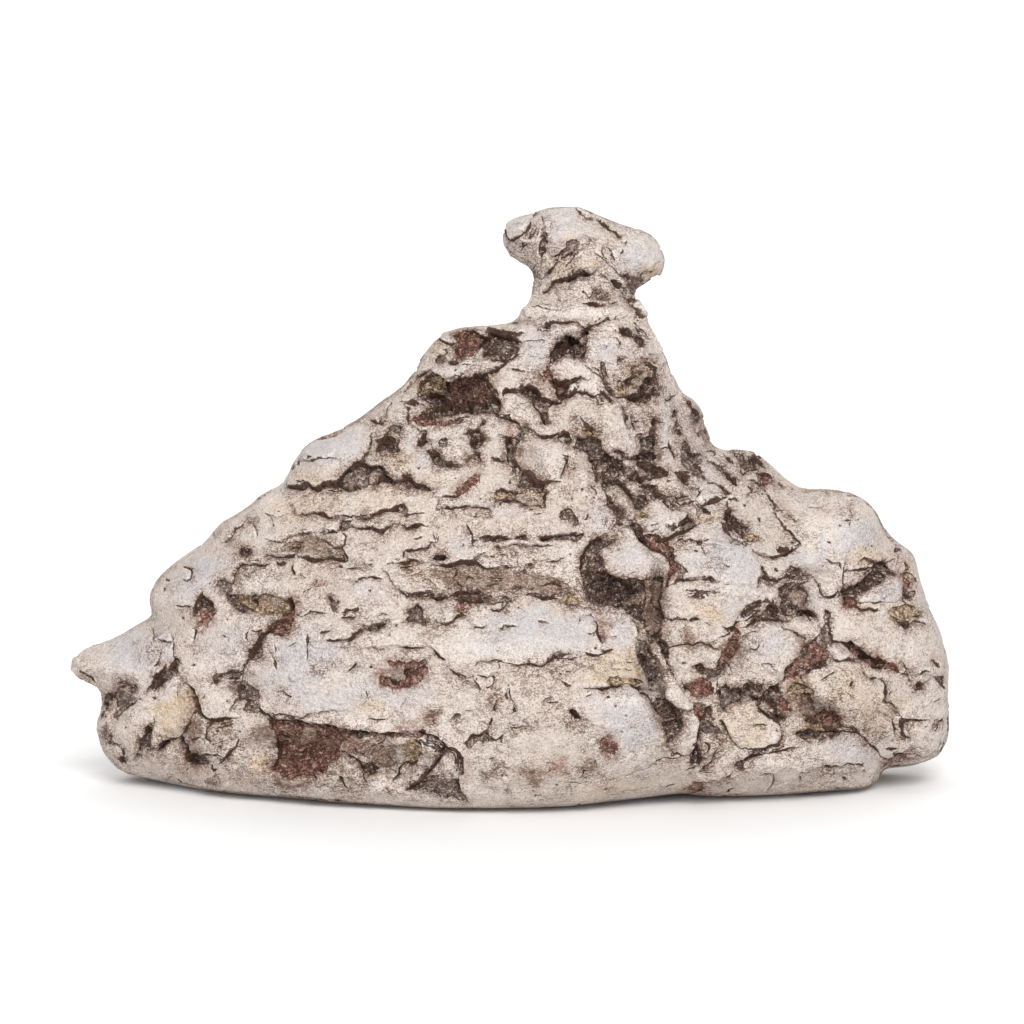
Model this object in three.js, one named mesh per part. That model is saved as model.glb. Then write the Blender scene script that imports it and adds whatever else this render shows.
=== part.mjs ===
// Iron meteorite: one natural piece, a craggy wedge-shaped mass with a narrow neck and a knob on top.
// Millimetres, +Z up, +X to the right of the broad face, +Y to the back. The flat underside lies on z = 0,
// and the origin is under the middle of the bounding box.
//
// The mass is an implicit solid: a rounded intersection of its outline, drawn on a plane that leans back by
// LEAN_DEG, with a front and a back surface whose depths are given at points. Broad hollows and swells are
// added to the front and the back, and the whole is cut flat at the underside.
// It is then sampled on a regular grid and skinned with one vertex for each cell that the surface crosses.
import * as THREE from "three";

// Driving dimensions
const CELL = 2.6; // sampling step of the skin
const LEAN_DEG = 8; // lean of the outline's plane
const ROUND_EDGE = 9; // rounding between the outline and the front and back surfaces
const ROUND_KNOB = 6.5; // the same, on the neck and knob
const KNOB_FROM = 54; // height on the outline's plane where the neck begins
const ROUND_BASE = 1.6; // rounding around the flat underside
const REACH = 5.2; // how far each depth point reaches
const CENTRE = [0.65, 0.41]; // the drawing's x and y under the middle of the bounding box

// The outline [x, up], clockwise from the top left of the knob
const OUTLINE = [
  [0.75, 70.62], [2.38, 71], [4.25, 71.62], [6.12, 71.88], [8, 71.88], [9.38, 71.38], [11.12, 70.62], [13.62, 69.62],
  [16.12, 68.88], [18, 67.75], [19, 66.25], [19.25, 64.62], [18.75, 63.12], [17.38, 62.38], [16.12, 61.62], [15.38, 60.75],
  [16.25, 59.88], [16.88, 58.62], [16.75, 57.5], [17.75, 56.12], [18.88, 54], [20.12, 51.25], [21.38, 48.75], [22.62, 48.12],
  [24, 46.5], [24.62, 44.25], [25.62, 41.88], [28.62, 41.88], [30.75, 41.5], [32.38, 40], [34.25, 38], [36.12, 36.75],
  [38.62, 36.62], [41.88, 36.25], [44.38, 35.25], [45.88, 33.5], [46.88, 31.38], [48.12, 30.12], [50.12, 28.62], [50.75, 26.75],
  [51.25, 24.75], [52.12, 22.5], [53.25, 20], [54.25, 17.12], [54.88, 14.25], [54.75, 11.5], [54.62, 8.75], [54.38, 6.62],
  [53.88, 4.62], [53, 3.12], [51.5, 2.38], [49.25, 1.88], [46.62, 1.62], [45.88, 0], [44.25, -1.38], [41.12, -1.88],
  [33.62, -2.25], [27.38, -2.38], [23.88, -2], [21.12, -1.38], [17.38, -1.88], [11.12, -2.75], [6.12, -3.38], [-1.38, -3.75],
  [-8.88, -3.88], [-13.88, -3.62], [-20.12, -3.25], [-26.38, -2.62], [-32.62, -2.38], [-37.62, -2], [-41.38, -1.38], [-44.5, -0.5],
  [-47.62, 0.5], [-49.88, 1.88], [-51.25, 4], [-51.88, 7.12], [-51.5, 9.5], [-51.75, 11.12], [-53.25, 11.88], [-54.62, 13.25],
  [-55, 15], [-54.5, 16.38], [-52.88, 17.38], [-51, 17.88], [-49.12, 18.62], [-47, 19.75], [-44.88, 20.88], [-45.38, 22.25],
  [-45.12, 24], [-44.12, 25.5], [-42.62, 26.88], [-40.75, 28.38], [-38.88, 29.62], [-37.38, 31.12], [-36.12, 32.5], [-34.5, 33.38],
  [-32.62, 34.62], [-31.62, 35.62], [-30.12, 36.62], [-28.5, 37.38], [-27.5, 39.5], [-26, 41.62], [-24.12, 43], [-22, 43.88],
  [-19.5, 45], [-17.62, 46.25], [-15.75, 47.75], [-13.88, 48.88], [-12.5, 50.5], [-11.38, 52.75], [-10.12, 54.62], [-8.88, 55.88],
  [-7, 56.75], [-3.88, 57.12], [-0.12, 57.62], [1.38, 59], [2.38, 60.5], [3, 62.62], [2.12, 64.25], [0.5, 64.88],
  [-0.75, 65.88], [-1.25, 67.75], [-0.88, 69.5],
];

// Depth of the front surface [x, up, y]
const FRONT = [
  [9, 67.75, -8], [1.12, 68, -5.5], [17.38, 65.88, -5.5], [9.88, 61.5, -6], [8.62, 58, -9], [-3.88, 54.62, -9],
  [11.12, 52.75, -12], [16.12, 50.25, -11], [-7, 47.75, -10], [4.88, 47.75, -14], [13.62, 44, -15], [-22.62, 40.88, -10],
  [-13.88, 41.5, -13], [-5.12, 41.5, -16], [3.62, 39, -18.5], [11.12, 37.75, -17], [17.38, 37.75, -15], [23.62, 39, -9],
  [31.12, 39, -4], [23.62, 45.88, -2], [-31.38, 34, -11], [-22.62, 32.75, -17], [-11.38, 32.75, -20], [-1.38, 32.75, -21.5],
  [7.38, 31.5, -21.5], [13.62, 30.25, -18], [21.12, 27.75, -20], [27.38, 27.75, -19.5], [34.88, 32.75, -15], [42.38, 32.75, -11],
  [44.88, 27.75, -12], [-41.38, 25.25, -8], [-35.12, 24, -13], [-26.38, 24, -19.5], [-13.88, 24, -23], [-1.38, 24, -23.5],
  [7.38, 25.25, -23], [13.62, 22.75, -20.5], [-50.12, 15.88, -6], [-42.62, 16.5, -11], [-36.38, 16.5, -16], [-28.88, 15.25, -22],
  [-20.12, 15.25, -25], [-7.62, 15.25, -27], [4.88, 15.25, -28], [13.62, 12.75, -27.5], [17.38, 10.25, -23.5], [23.62, 20.25, -22],
  [26.12, 17.75, -20.5], [32.38, 15.25, -18.5], [42.38, 22.75, -14.5], [48.62, 20.25, -10], [42.38, 12.75, -18], [51.12, 11.5, -9],
  [-50.12, 7.75, -6], [-43.88, 7.75, -13], [-35.12, 7.75, -18], [-26.38, 5.25, -22], [-16.38, 4, -23.5], [-7.62, 5.25, -27],
  [4.88, 5.25, -29], [13.62, 4, -28], [23.62, 2.75, -22.5], [28.62, 7.75, -20.5], [36.12, 2.75, -19.5], [43.62, 2.75, -15],
  [49.88, 5.25, -9.5], [-45.12, 0.88, -9], [-32.62, -1, -18], [-20.12, -1.62, -24], [-8.88, -2.25, -27], [4.88, -2.25, -26.5],
  [17.38, -1, -20], [29.88, -1, -18], [42.38, -1, -14],
];

// Depth of the back surface [x, up, y]
const BACK = [
  [9, 67.75, 8.5], [1.12, 68, 6], [17.38, 65.88, 6], [9.88, 61.5, 6.5], [8.62, 58, 9], [-3.88, 54.62, 9],
  [13.62, 51.5, 12.5], [-7, 47.75, 11], [4.88, 47.75, 15], [16.12, 42.75, 14], [-22.62, 40.88, 9], [-11.38, 40.25, 14],
  [1.12, 39, 19], [13.62, 35.25, 19], [23.62, 39, 11], [31.12, 37.75, 6], [-31.38, 34, 9], [-16.38, 31.5, 18],
  [-1.38, 30.25, 23], [11.12, 27.75, 25], [23.62, 27.75, 20], [36.12, 32.75, 11], [44.88, 27.75, 9], [-41.38, 25.25, 7],
  [-28.88, 22.75, 16], [-13.88, 21.5, 24], [1.12, 20.25, 28], [16.12, 19, 28.5], [28.62, 20.25, 23], [39.88, 22.75, 15],
  [48.62, 20.25, 9], [-50.12, 15.88, 5], [-40.12, 15.25, 12], [-26.38, 14, 21], [-11.38, 11.5, 27], [6.12, 10.25, 29],
  [23.62, 10.25, 27], [36.12, 11.5, 20], [51.12, 11.5, 8], [-50.12, 7.75, 5], [-41.38, 5.25, 13], [-26.38, 4, 23],
  [-7.62, 2.75, 27], [11.12, 2.75, 28], [27.38, 2.75, 24], [41.12, 4, 15], [49.88, 5.25, 8],
];

// Broad hollows in the front [x, up, half width, half height, turn in degrees, depth]; a swell has a negative depth
const HOLLOWS = [
  [-3.88, 54.88, 4.25, 1.62, 0, 2.4], [-7, 48, 5.5, 2.5, 5, 4.2], [7, 54.5, 2.5, 1.88, -40, 2.6], [16.12, 49.62, 3.25, 1.75, 10, 1.4],
  [-17, 38, 6.25, 1, -2, 1.6], [2.38, 40, 1.75, 4.5, -25, 2.2], [11.12, 39.62, 2.75, 4.5, -50, 2.2], [16.75, 40.88, 2.75, 2.75, 0, 2],
  [-26.38, 4.25, 9, 3, 3, 4.2], [-13.88, 2.5, 6.5, 3, 0, 2.8], [17.38, 11.5, 1.75, 8.25, -25, 3.2], [13.38, 23.75, 4.75, 2, 0, 3.2],
  [18, 24, 1.25, 5.75, 0, 2.8], [37.38, 9.25, 5.5, 1.75, 20, 3.2], [28.62, 11.5, 2.25, 1.75, 0, 2.4], [27.38, 15.88, 1.5, 3.75, 25, 2],
  [36.12, 25.88, 5.25, 1.5, 5, 1.6], [34.88, 21.25, 5, 1.12, -5, 1.6], [44.88, 25.25, 4.25, 1.12, -35, 1.8], [43.62, 15.88, 6.88, 1.12, 28, 1.8],
  [-40.12, 4.62, 3.75, 2, 50, 2], [-48.88, 10.25, 1.5, 3.75, 10, 1.6], [-32, 22.75, 4.5, 1.25, 8, 1.8], [-33.88, 12.75, 4.75, 2, -10, 2],
  [-13.25, 13.75, 3, 1.62, 0, 1.4], [-22.62, 40.88, 4.75, 2.75, -25, -1.2], [-10.12, 17.75, 23.75, 4.75, 3, -1.4], [6.12, 10.25, 13.75, 7.5, 10, -1.2],
  [41.12, 30.25, 7.5, 5, 0, -1.2], [42.38, 11.5, 6.25, 5, 0, -1.4], [-42.62, 17.75, 5, 3.25, -20, -1], [34.88, 2.75, 11.25, 3, -5, -1.2],
  [26.12, 25.88, 6.25, 6, 0, -1.4], [-41.38, 24, 4.25, 4, 0, -1],
];

// Hollows and swells of the back, in the same form
const BACK_HOLLOWS = [
  [-22, 34, 7, 3.2, -20, 2.2], [-8, 45, 5, 3, 30, 2], [12, 38, 6, 4.5, 10, 2.6], [24, 30, 4, 7, 20, 2.4],
  [-34, 20, 6, 3.5, -35, 2.2], [-16, 18, 9, 3, 5, 2.6], [4, 22, 4, 8, -20, 2.6], [20, 12, 8, 3.4, 10, 2.8],
  [36, 14, 4, 7, 0, 2.4], [-28, 6, 8, 3.4, 8, 2.6], [-4, 6, 9, 3.2, -6, 3], [40, 26, 5, 3, 30, 1.8],
  [-12, 30, 9, 6, 10, -1.4], [6, 12, 10, 7, 0, -1.2], [-40, 14, 6, 5, 0, -1.2], [30, 20, 7, 6, 20, -1.4], [14, 50, 5, 4, 0, -1],
];

const sin = Math.sin(THREE.MathUtils.degToRad(LEAN_DEG));
const cos = Math.cos(THREE.MathUtils.degToRad(LEAN_DEG));

// The outline as a smooth closed curve
const ring = new THREE.CatmullRomCurve3(OUTLINE.map(([x, u]) => new THREE.Vector3(x, u, 0)), true, "catmullrom", 0.4)
  .getPoints(OUTLINE.length * 3)
  .slice(0, -1);

// Signed distance to the outline, negative inside
function outlineDistance(x, u) {
  let best = Infinity,
    inside = false;
  for (let i = 0, j = ring.length - 1; i < ring.length; j = i++) {
    const a = ring[j],
      b = ring[i];
    const ex = b.x - a.x,
      ey = b.y - a.y,
      wx = x - a.x,
      wy = u - a.y;
    const t = THREE.MathUtils.clamp((wx * ex + wy * ey) / (ex * ex + ey * ey || 1), 0, 1);
    const dx = wx - t * ex,
      dy = wy - t * ey;
    best = Math.min(best, dx * dx + dy * dy);
    if (a.y > u !== b.y > u && x < ((b.x - a.x) * (u - a.y)) / (b.y - a.y) + a.x) inside = !inside;
  }
  return (inside ? -1 : 1) * Math.sqrt(best);
}

// Depth at a place, blended from the points around it
function depthAt(points, x, u) {
  let sum = 0,
    total = 0;
  for (const [px, pu, y] of points) {
    const r2 = ((x - px) ** 2 + (u - pu) ** 2) / (2 * REACH * REACH);
    const w = Math.exp(-r2) + 1e-6 / (1 + r2);
    sum += w * y;
    total += w;
  }
  return sum / total;
}

// Sum of the hollows at a place
function hollowAt(list, x, u) {
  let sum = 0;
  for (const [px, pu, rx, ru, turn, depth] of list) {
    const t = THREE.MathUtils.degToRad(turn);
    const dx = x - px,
      du = u - pu;
    const a = (dx * Math.cos(t) - du * Math.sin(t)) / rx,
      b = (dx * Math.sin(t) + du * Math.cos(t)) / ru;
    const r2 = a * a + b * b;
    if (r2 < 1) sum += depth * (1 - r2) ** 2;
  }
  return sum;
}

// Intersection of two solids with a rounded edge
function roundMax(a, b, r) {
  const p = Math.max(a + r, 0),
    q = Math.max(b + r, 0);
  return p > 0 && q > 0 ? Math.hypot(p, q) - r : Math.max(a, b);
}

// Negative inside the meteorite, in millimetres near its surface
function solid(x, y, z) {
  const u = z * cos + y * sin;
  const outline = outlineDistance(x, u);
  const front = depthAt(FRONT, x, u) + hollowAt(HOLLOWS, x, u) - y;
  const back = y - (depthAt(BACK, x, u) - hollowAt(BACK_HOLLOWS, x, u));
  const k = THREE.MathUtils.smoothstep(u, KNOB_FROM - 5, KNOB_FROM + 2);
  const r = ROUND_EDGE + (ROUND_KNOB - ROUND_EDGE) * k;
  return roundMax(roundMax(outline, Math.max(front, back), r), -z, ROUND_BASE);
}

// One vertex in each cell that the surface crosses, one quad across each grid edge that it crosses
function skin() {
  const lo = [-58.3, -33.4, -1.5 * CELL],
    n = [Math.ceil(117 / CELL), Math.ceil(67.5 / CELL), Math.ceil(79 / CELL)];
  const at = (i, j, k) => i + (n[0] + 1) * (j + (n[1] + 1) * k);
  const value = new Float64Array((n[0] + 1) * (n[1] + 1) * (n[2] + 1));
  for (let k = 0; k <= n[2]; k++)
    for (let j = 0; j <= n[1]; j++)
      for (let i = 0; i <= n[0]; i++) {
        const v = solid(lo[0] + i * CELL, lo[1] + j * CELL, lo[2] + k * CELL);
        value[at(i, j, k)] = Math.abs(v) < 1e-6 ? 1e-6 : v;
      }
  // Where only opposite corners of a grid face are inside, the corner nearest the surface is taken in too, so that the skin is never pinched to a line
  for (let changed = true; changed; ) {
    changed = false;
    for (let k = 0; k < n[2]; k++)
      for (let j = 0; j < n[1]; j++)
        for (let i = 0; i < n[0]; i++)
          for (let axis = 0; axis < 3; axis++) {
            const face = [[0, 0], [1, 0], [1, 1], [0, 1]].map(([p, q]) => {
              const c = [i, j, k];
              c[(axis + 1) % 3] += p;
              c[(axis + 2) % 3] += q;
              return at(c[0], c[1], c[2]);
            });
            const inside = face.map((f) => value[f] < 0);
            if (inside[0] !== inside[2] || inside[1] !== inside[3] || inside[0] === inside[1]) continue;
            const out = face.filter((f, m) => !inside[m]).sort((a, b) => value[a] - value[b])[0];
            value[out] = -1e-3;
            changed = true;
          }
  }
  const cell = new Map();
  const position = [];
  for (let k = 0; k < n[2]; k++)
    for (let j = 0; j < n[1]; j++)
      for (let i = 0; i < n[0]; i++) {
        const sum = [0, 0, 0];
        let count = 0;
        for (let axis = 0; axis < 3; axis++) {
          const e = [0, 0, 0];
          e[axis] = 1;
          const o1 = (axis + 1) % 3,
            o2 = (axis + 2) % 3;
          for (let s = 0; s < 4; s++) {
            const c = [i, j, k];
            c[o1] += s & 1;
            c[o2] += s >> 1;
            const va = value[at(c[0], c[1], c[2])],
              vb = value[at(c[0] + e[0], c[1] + e[1], c[2] + e[2])];
            if (va < 0 === vb < 0) continue;
            const t = va / (va - vb);
            for (let m = 0; m < 3; m++) sum[m] += c[m] + t * e[m];
            count++;
          }
        }
        if (!count) continue;
        cell.set(at(i, j, k), position.length / 3);
        position.push(
          lo[0] + (sum[0] / count) * CELL - CENTRE[0],
          lo[1] + (sum[1] / count) * CELL - CENTRE[1],
          lo[2] + (sum[2] / count) * CELL,
        );
      }
  const index = [];
  for (let k = 1; k < n[2]; k++)
    for (let j = 1; j < n[1]; j++)
      for (let i = 1; i < n[0]; i++)
        for (let axis = 0; axis < 3; axis++) {
          const e = [0, 0, 0];
          e[axis] = 1;
          const va = value[at(i, j, k)],
            vb = value[at(i + e[0], j + e[1], k + e[2])];
          if (va < 0 === vb < 0) continue;
          const o1 = (axis + 1) % 3,
            o2 = (axis + 2) % 3;
          const corner = (p, q) => {
            const c = [i, j, k];
            c[o1] -= p;
            c[o2] -= q;
            return cell.get(at(c[0], c[1], c[2]));
          };
          const quad = [corner(1, 1), corner(0, 1), corner(0, 0), corner(1, 0)];
          if (va > 0) quad.reverse();
          index.push(quad[0], quad[1], quad[2], quad[0], quad[2], quad[3]);
        }
  return new THREE.BufferGeometry()
    .setAttribute("position", new THREE.BufferAttribute(new Float32Array(position), 3))
    .setIndex(index);
}

const geometry = skin();
geometry.computeVertexNormals();

const crust = new THREE.MeshStandardMaterial({ color: 0xc9bfb4, roughness: 0.72, metalness: 0.2 });

const meteorite = new THREE.Mesh(geometry, crust);
meteorite.name = "meteorite";

const part = new THREE.Group();
part.add(meteorite);

export default part;
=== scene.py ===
"""Iron meteorite: one piece, its crust cobbled, cracked and pitted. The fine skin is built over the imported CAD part."""

import math
import time

import bpy
import numpy as np
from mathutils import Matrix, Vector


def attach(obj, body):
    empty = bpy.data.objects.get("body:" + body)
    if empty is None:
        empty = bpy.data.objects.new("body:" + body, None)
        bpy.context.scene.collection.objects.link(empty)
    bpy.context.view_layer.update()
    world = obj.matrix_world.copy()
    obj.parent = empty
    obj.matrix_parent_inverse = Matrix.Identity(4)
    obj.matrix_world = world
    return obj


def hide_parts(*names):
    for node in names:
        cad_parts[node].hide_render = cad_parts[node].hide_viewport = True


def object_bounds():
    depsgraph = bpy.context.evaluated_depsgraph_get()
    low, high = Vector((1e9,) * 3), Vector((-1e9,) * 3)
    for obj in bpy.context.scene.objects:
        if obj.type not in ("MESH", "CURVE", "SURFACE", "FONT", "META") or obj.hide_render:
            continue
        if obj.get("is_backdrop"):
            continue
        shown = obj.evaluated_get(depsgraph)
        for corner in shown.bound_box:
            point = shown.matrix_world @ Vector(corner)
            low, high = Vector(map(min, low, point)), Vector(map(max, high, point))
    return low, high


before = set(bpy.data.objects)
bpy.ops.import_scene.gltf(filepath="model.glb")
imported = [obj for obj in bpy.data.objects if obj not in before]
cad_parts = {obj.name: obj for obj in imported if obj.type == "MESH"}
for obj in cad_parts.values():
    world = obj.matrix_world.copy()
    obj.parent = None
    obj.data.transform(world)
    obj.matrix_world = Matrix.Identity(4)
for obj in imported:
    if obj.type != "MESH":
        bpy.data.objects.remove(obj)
lo0, hi0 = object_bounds()

# ---------------------------------------------------------------- the CAD part's own tables, in mm of its drawing frame
# the outline seen from the front: x, u (u is measured up the drawing, which leans back 8 degrees)
OUTLINE = [
  [0.75, 70.62], [2.38, 71], [4.25, 71.62], [6.12, 71.88], [8, 71.88], [9.38, 71.38], [11.12, 70.62], [13.62, 69.62],
  [16.12, 68.88], [18, 67.75], [19, 66.25], [19.25, 64.62], [18.75, 63.12], [17.38, 62.38], [16.12, 61.62], [15.38, 60.75],
  [16.25, 59.88], [16.88, 58.62], [16.75, 57.5], [17.75, 56.12], [18.88, 54], [20.12, 51.25], [21.38, 48.75], [22.62, 48.12],
  [24, 46.5], [24.62, 44.25], [25.62, 41.88], [28.62, 41.88], [30.75, 41.5], [32.38, 40], [34.25, 38], [36.12, 36.75],
  [38.62, 36.62], [41.88, 36.25], [44.38, 35.25], [45.88, 33.5], [46.88, 31.38], [48.12, 30.12], [50.12, 28.62], [50.75, 26.75],
  [51.25, 24.75], [52.12, 22.5], [53.25, 20], [54.25, 17.12], [54.88, 14.25], [54.75, 11.5], [54.62, 8.75], [54.38, 6.62],
  [53.88, 4.62], [53, 3.12], [51.5, 2.38], [49.25, 1.88], [46.62, 1.62], [45.88, 0], [44.25, -1.38], [41.12, -1.88],
  [33.62, -2.25], [27.38, -2.38], [23.88, -2], [21.12, -1.38], [17.38, -1.88], [11.12, -2.75], [6.12, -3.38], [-1.38, -3.75],
  [-8.88, -3.88], [-13.88, -3.62], [-20.12, -3.25], [-26.38, -2.62], [-32.62, -2.38], [-37.62, -2], [-41.38, -1.38], [-44.5, -0.5],
  [-47.62, 0.5], [-49.88, 1.88], [-51.25, 4], [-51.88, 7.12], [-51.5, 9.5], [-51.75, 11.12], [-53.25, 11.88], [-54.62, 13.25],
  [-55, 15], [-54.5, 16.38], [-52.88, 17.38], [-51, 17.88], [-49.12, 18.62], [-47, 19.75], [-44.88, 20.88], [-45.38, 22.25],
  [-45.12, 24], [-44.12, 25.5], [-42.62, 26.88], [-40.75, 28.38], [-38.88, 29.62], [-37.38, 31.12], [-36.12, 32.5], [-34.5, 33.38],
  [-32.62, 34.62], [-31.62, 35.62], [-30.12, 36.62], [-28.5, 37.38], [-27.5, 39.5], [-26, 41.62], [-24.12, 43], [-22, 43.88],
  [-19.5, 45], [-17.62, 46.25], [-15.75, 47.75], [-13.88, 48.88], [-12.5, 50.5], [-11.38, 52.75], [-10.12, 54.62], [-8.88, 55.88],
  [-7, 56.75], [-3.88, 57.12], [-0.12, 57.62], [1.38, 59], [2.38, 60.5], [3, 62.62], [2.12, 64.25], [0.5, 64.88],
  [-0.75, 65.88], [-1.25, 67.75], [-0.88, 69.5],
]
# how far forward the front face stands: x, u, y
FRONT = [
  [9, 67.75, -8], [1.12, 68, -5.5], [17.38, 65.88, -5.5], [9.88, 61.5, -6], [8.62, 58, -9], [-3.88, 54.62, -9],
  [11.12, 52.75, -12], [16.12, 50.25, -11], [-7, 47.75, -10], [4.88, 47.75, -14], [13.62, 44, -15], [-22.62, 40.88, -10],
  [-13.88, 41.5, -13], [-5.12, 41.5, -16], [3.62, 39, -18.5], [11.12, 37.75, -17], [17.38, 37.75, -15], [23.62, 39, -9],
  [31.12, 39, -4], [23.62, 45.88, -2], [-31.38, 34, -11], [-22.62, 32.75, -17], [-11.38, 32.75, -20], [-1.38, 32.75, -21.5],
  [7.38, 31.5, -21.5], [13.62, 30.25, -18], [21.12, 27.75, -20], [27.38, 27.75, -19.5], [34.88, 32.75, -15], [42.38, 32.75, -11],
  [44.88, 27.75, -12], [-41.38, 25.25, -8], [-35.12, 24, -13], [-26.38, 24, -19.5], [-13.88, 24, -23], [-1.38, 24, -23.5],
  [7.38, 25.25, -23], [13.62, 22.75, -20.5], [-50.12, 15.88, -6], [-42.62, 16.5, -11], [-36.38, 16.5, -16], [-28.88, 15.25, -22],
  [-20.12, 15.25, -25], [-7.62, 15.25, -27], [4.88, 15.25, -28], [13.62, 12.75, -27.5], [17.38, 10.25, -23.5], [23.62, 20.25, -22],
  [26.12, 17.75, -20.5], [32.38, 15.25, -18.5], [42.38, 22.75, -14.5], [48.62, 20.25, -10], [42.38, 12.75, -18], [51.12, 11.5, -9],
  [-50.12, 7.75, -6], [-43.88, 7.75, -13], [-35.12, 7.75, -18], [-26.38, 5.25, -22], [-16.38, 4, -23.5], [-7.62, 5.25, -27],
  [4.88, 5.25, -29], [13.62, 4, -28], [23.62, 2.75, -22.5], [28.62, 7.75, -20.5], [36.12, 2.75, -19.5], [43.62, 2.75, -15],
  [49.88, 5.25, -9.5], [-45.12, 0.88, -9], [-32.62, -1, -18], [-20.12, -1.62, -24], [-8.88, -2.25, -27], [4.88, -2.25, -26.5],
  [17.38, -1, -20], [29.88, -1, -18], [42.38, -1, -14],
]
# and the back face
BACK = [
  [9, 67.75, 8.5], [1.12, 68, 6], [17.38, 65.88, 6], [9.88, 61.5, 6.5], [8.62, 58, 9], [-3.88, 54.62, 9],
  [13.62, 51.5, 12.5], [-7, 47.75, 11], [4.88, 47.75, 15], [16.12, 42.75, 14], [-22.62, 40.88, 9], [-11.38, 40.25, 14],
  [1.12, 39, 19], [13.62, 35.25, 19], [23.62, 39, 11], [31.12, 37.75, 6], [-31.38, 34, 9], [-16.38, 31.5, 18],
  [-1.38, 30.25, 23], [11.12, 27.75, 25], [23.62, 27.75, 20], [36.12, 32.75, 11], [44.88, 27.75, 9], [-41.38, 25.25, 7],
  [-28.88, 22.75, 16], [-13.88, 21.5, 24], [1.12, 20.25, 28], [16.12, 19, 28.5], [28.62, 20.25, 23], [39.88, 22.75, 15],
  [48.62, 20.25, 9], [-50.12, 15.88, 5], [-40.12, 15.25, 12], [-26.38, 14, 21], [-11.38, 11.5, 27], [6.12, 10.25, 29],
  [23.62, 10.25, 27], [36.12, 11.5, 20], [51.12, 11.5, 8], [-50.12, 7.75, 5], [-41.38, 5.25, 13], [-26.38, 4, 23],
  [-7.62, 2.75, 27], [11.12, 2.75, 28], [27.38, 2.75, 24], [41.12, 4, 15], [49.88, 5.25, 8],
]
# hollows in the front face: x, u, x radius, u radius, turn in degrees, depth
HOLLOWS = [
  [-3.88, 54.88, 4.25, 1.62, 0, 2.4], [-7, 48, 5.5, 2.5, 5, 4.2], [7, 54.5, 2.5, 1.88, -40, 2.6], [16.12, 49.62, 3.25, 1.75, 10, 1.4],
  [-17, 38, 6.25, 1, -2, 1.6], [2.38, 40, 1.75, 4.5, -25, 2.2], [11.12, 39.62, 2.75, 4.5, -50, 2.2], [16.75, 40.88, 2.75, 2.75, 0, 2],
  [-26.38, 4.25, 9, 3, 3, 4.2], [-13.88, 2.5, 6.5, 3, 0, 2.8], [17.38, 11.5, 1.75, 8.25, -25, 3.2], [13.38, 23.75, 4.75, 2, 0, 3.2],
  [18, 24, 1.25, 5.75, 0, 2.8], [37.38, 9.25, 5.5, 1.75, 20, 3.2], [28.62, 11.5, 2.25, 1.75, 0, 2.4], [27.38, 15.88, 1.5, 3.75, 25, 2],
  [36.12, 25.88, 5.25, 1.5, 5, 1.6], [34.88, 21.25, 5, 1.12, -5, 1.6], [44.88, 25.25, 4.25, 1.12, -35, 1.8], [43.62, 15.88, 6.88, 1.12, 28, 1.8],
  [-40.12, 4.62, 3.75, 2, 50, 2], [-48.88, 10.25, 1.5, 3.75, 10, 1.6], [-32, 22.75, 4.5, 1.25, 8, 1.8], [-33.88, 12.75, 4.75, 2, -10, 2],
  [-13.25, 13.75, 3, 1.62, 0, 1.4], [-22.62, 40.88, 4.75, 2.75, -25, -1.2], [-10.12, 17.75, 23.75, 4.75, 3, -1.4], [6.12, 10.25, 13.75, 7.5, 10, -1.2],
  [41.12, 30.25, 7.5, 5, 0, -1.2], [42.38, 11.5, 6.25, 5, 0, -1.4], [-42.62, 17.75, 5, 3.25, -20, -1], [34.88, 2.75, 11.25, 3, -5, -1.2],
  [26.12, 25.88, 6.25, 6, 0, -1.4], [-41.38, 24, 4.25, 4, 0, -1],
]
BACK_HOLLOWS = [
  [-22,34,7,3.2,-20,2.2],[-8,45,5,3,30,2],[12,38,6,4.5,10,2.6],[24,30,4,7,20,2.4],[-34,20,6,3.5,-35,2.2],[-16,18,9,3,5,2.6],[4,22,4,8,-20,2.6],[20,12,8,3.4,10,2.8],[36,14,4,7,0,2.4],[-28,6,8,3.4,8,2.6],[-4,6,9,3.2,-6,3],[40,26,5,3,30,1.8],[-12,30,9,6,10,-1.4],[6,12,10,7,0,-1.2],[-40,14,6,5,0,-1.2],[30,20,7,6,20,-1.4],[14,50,5,4,0,-1]
]

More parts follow.
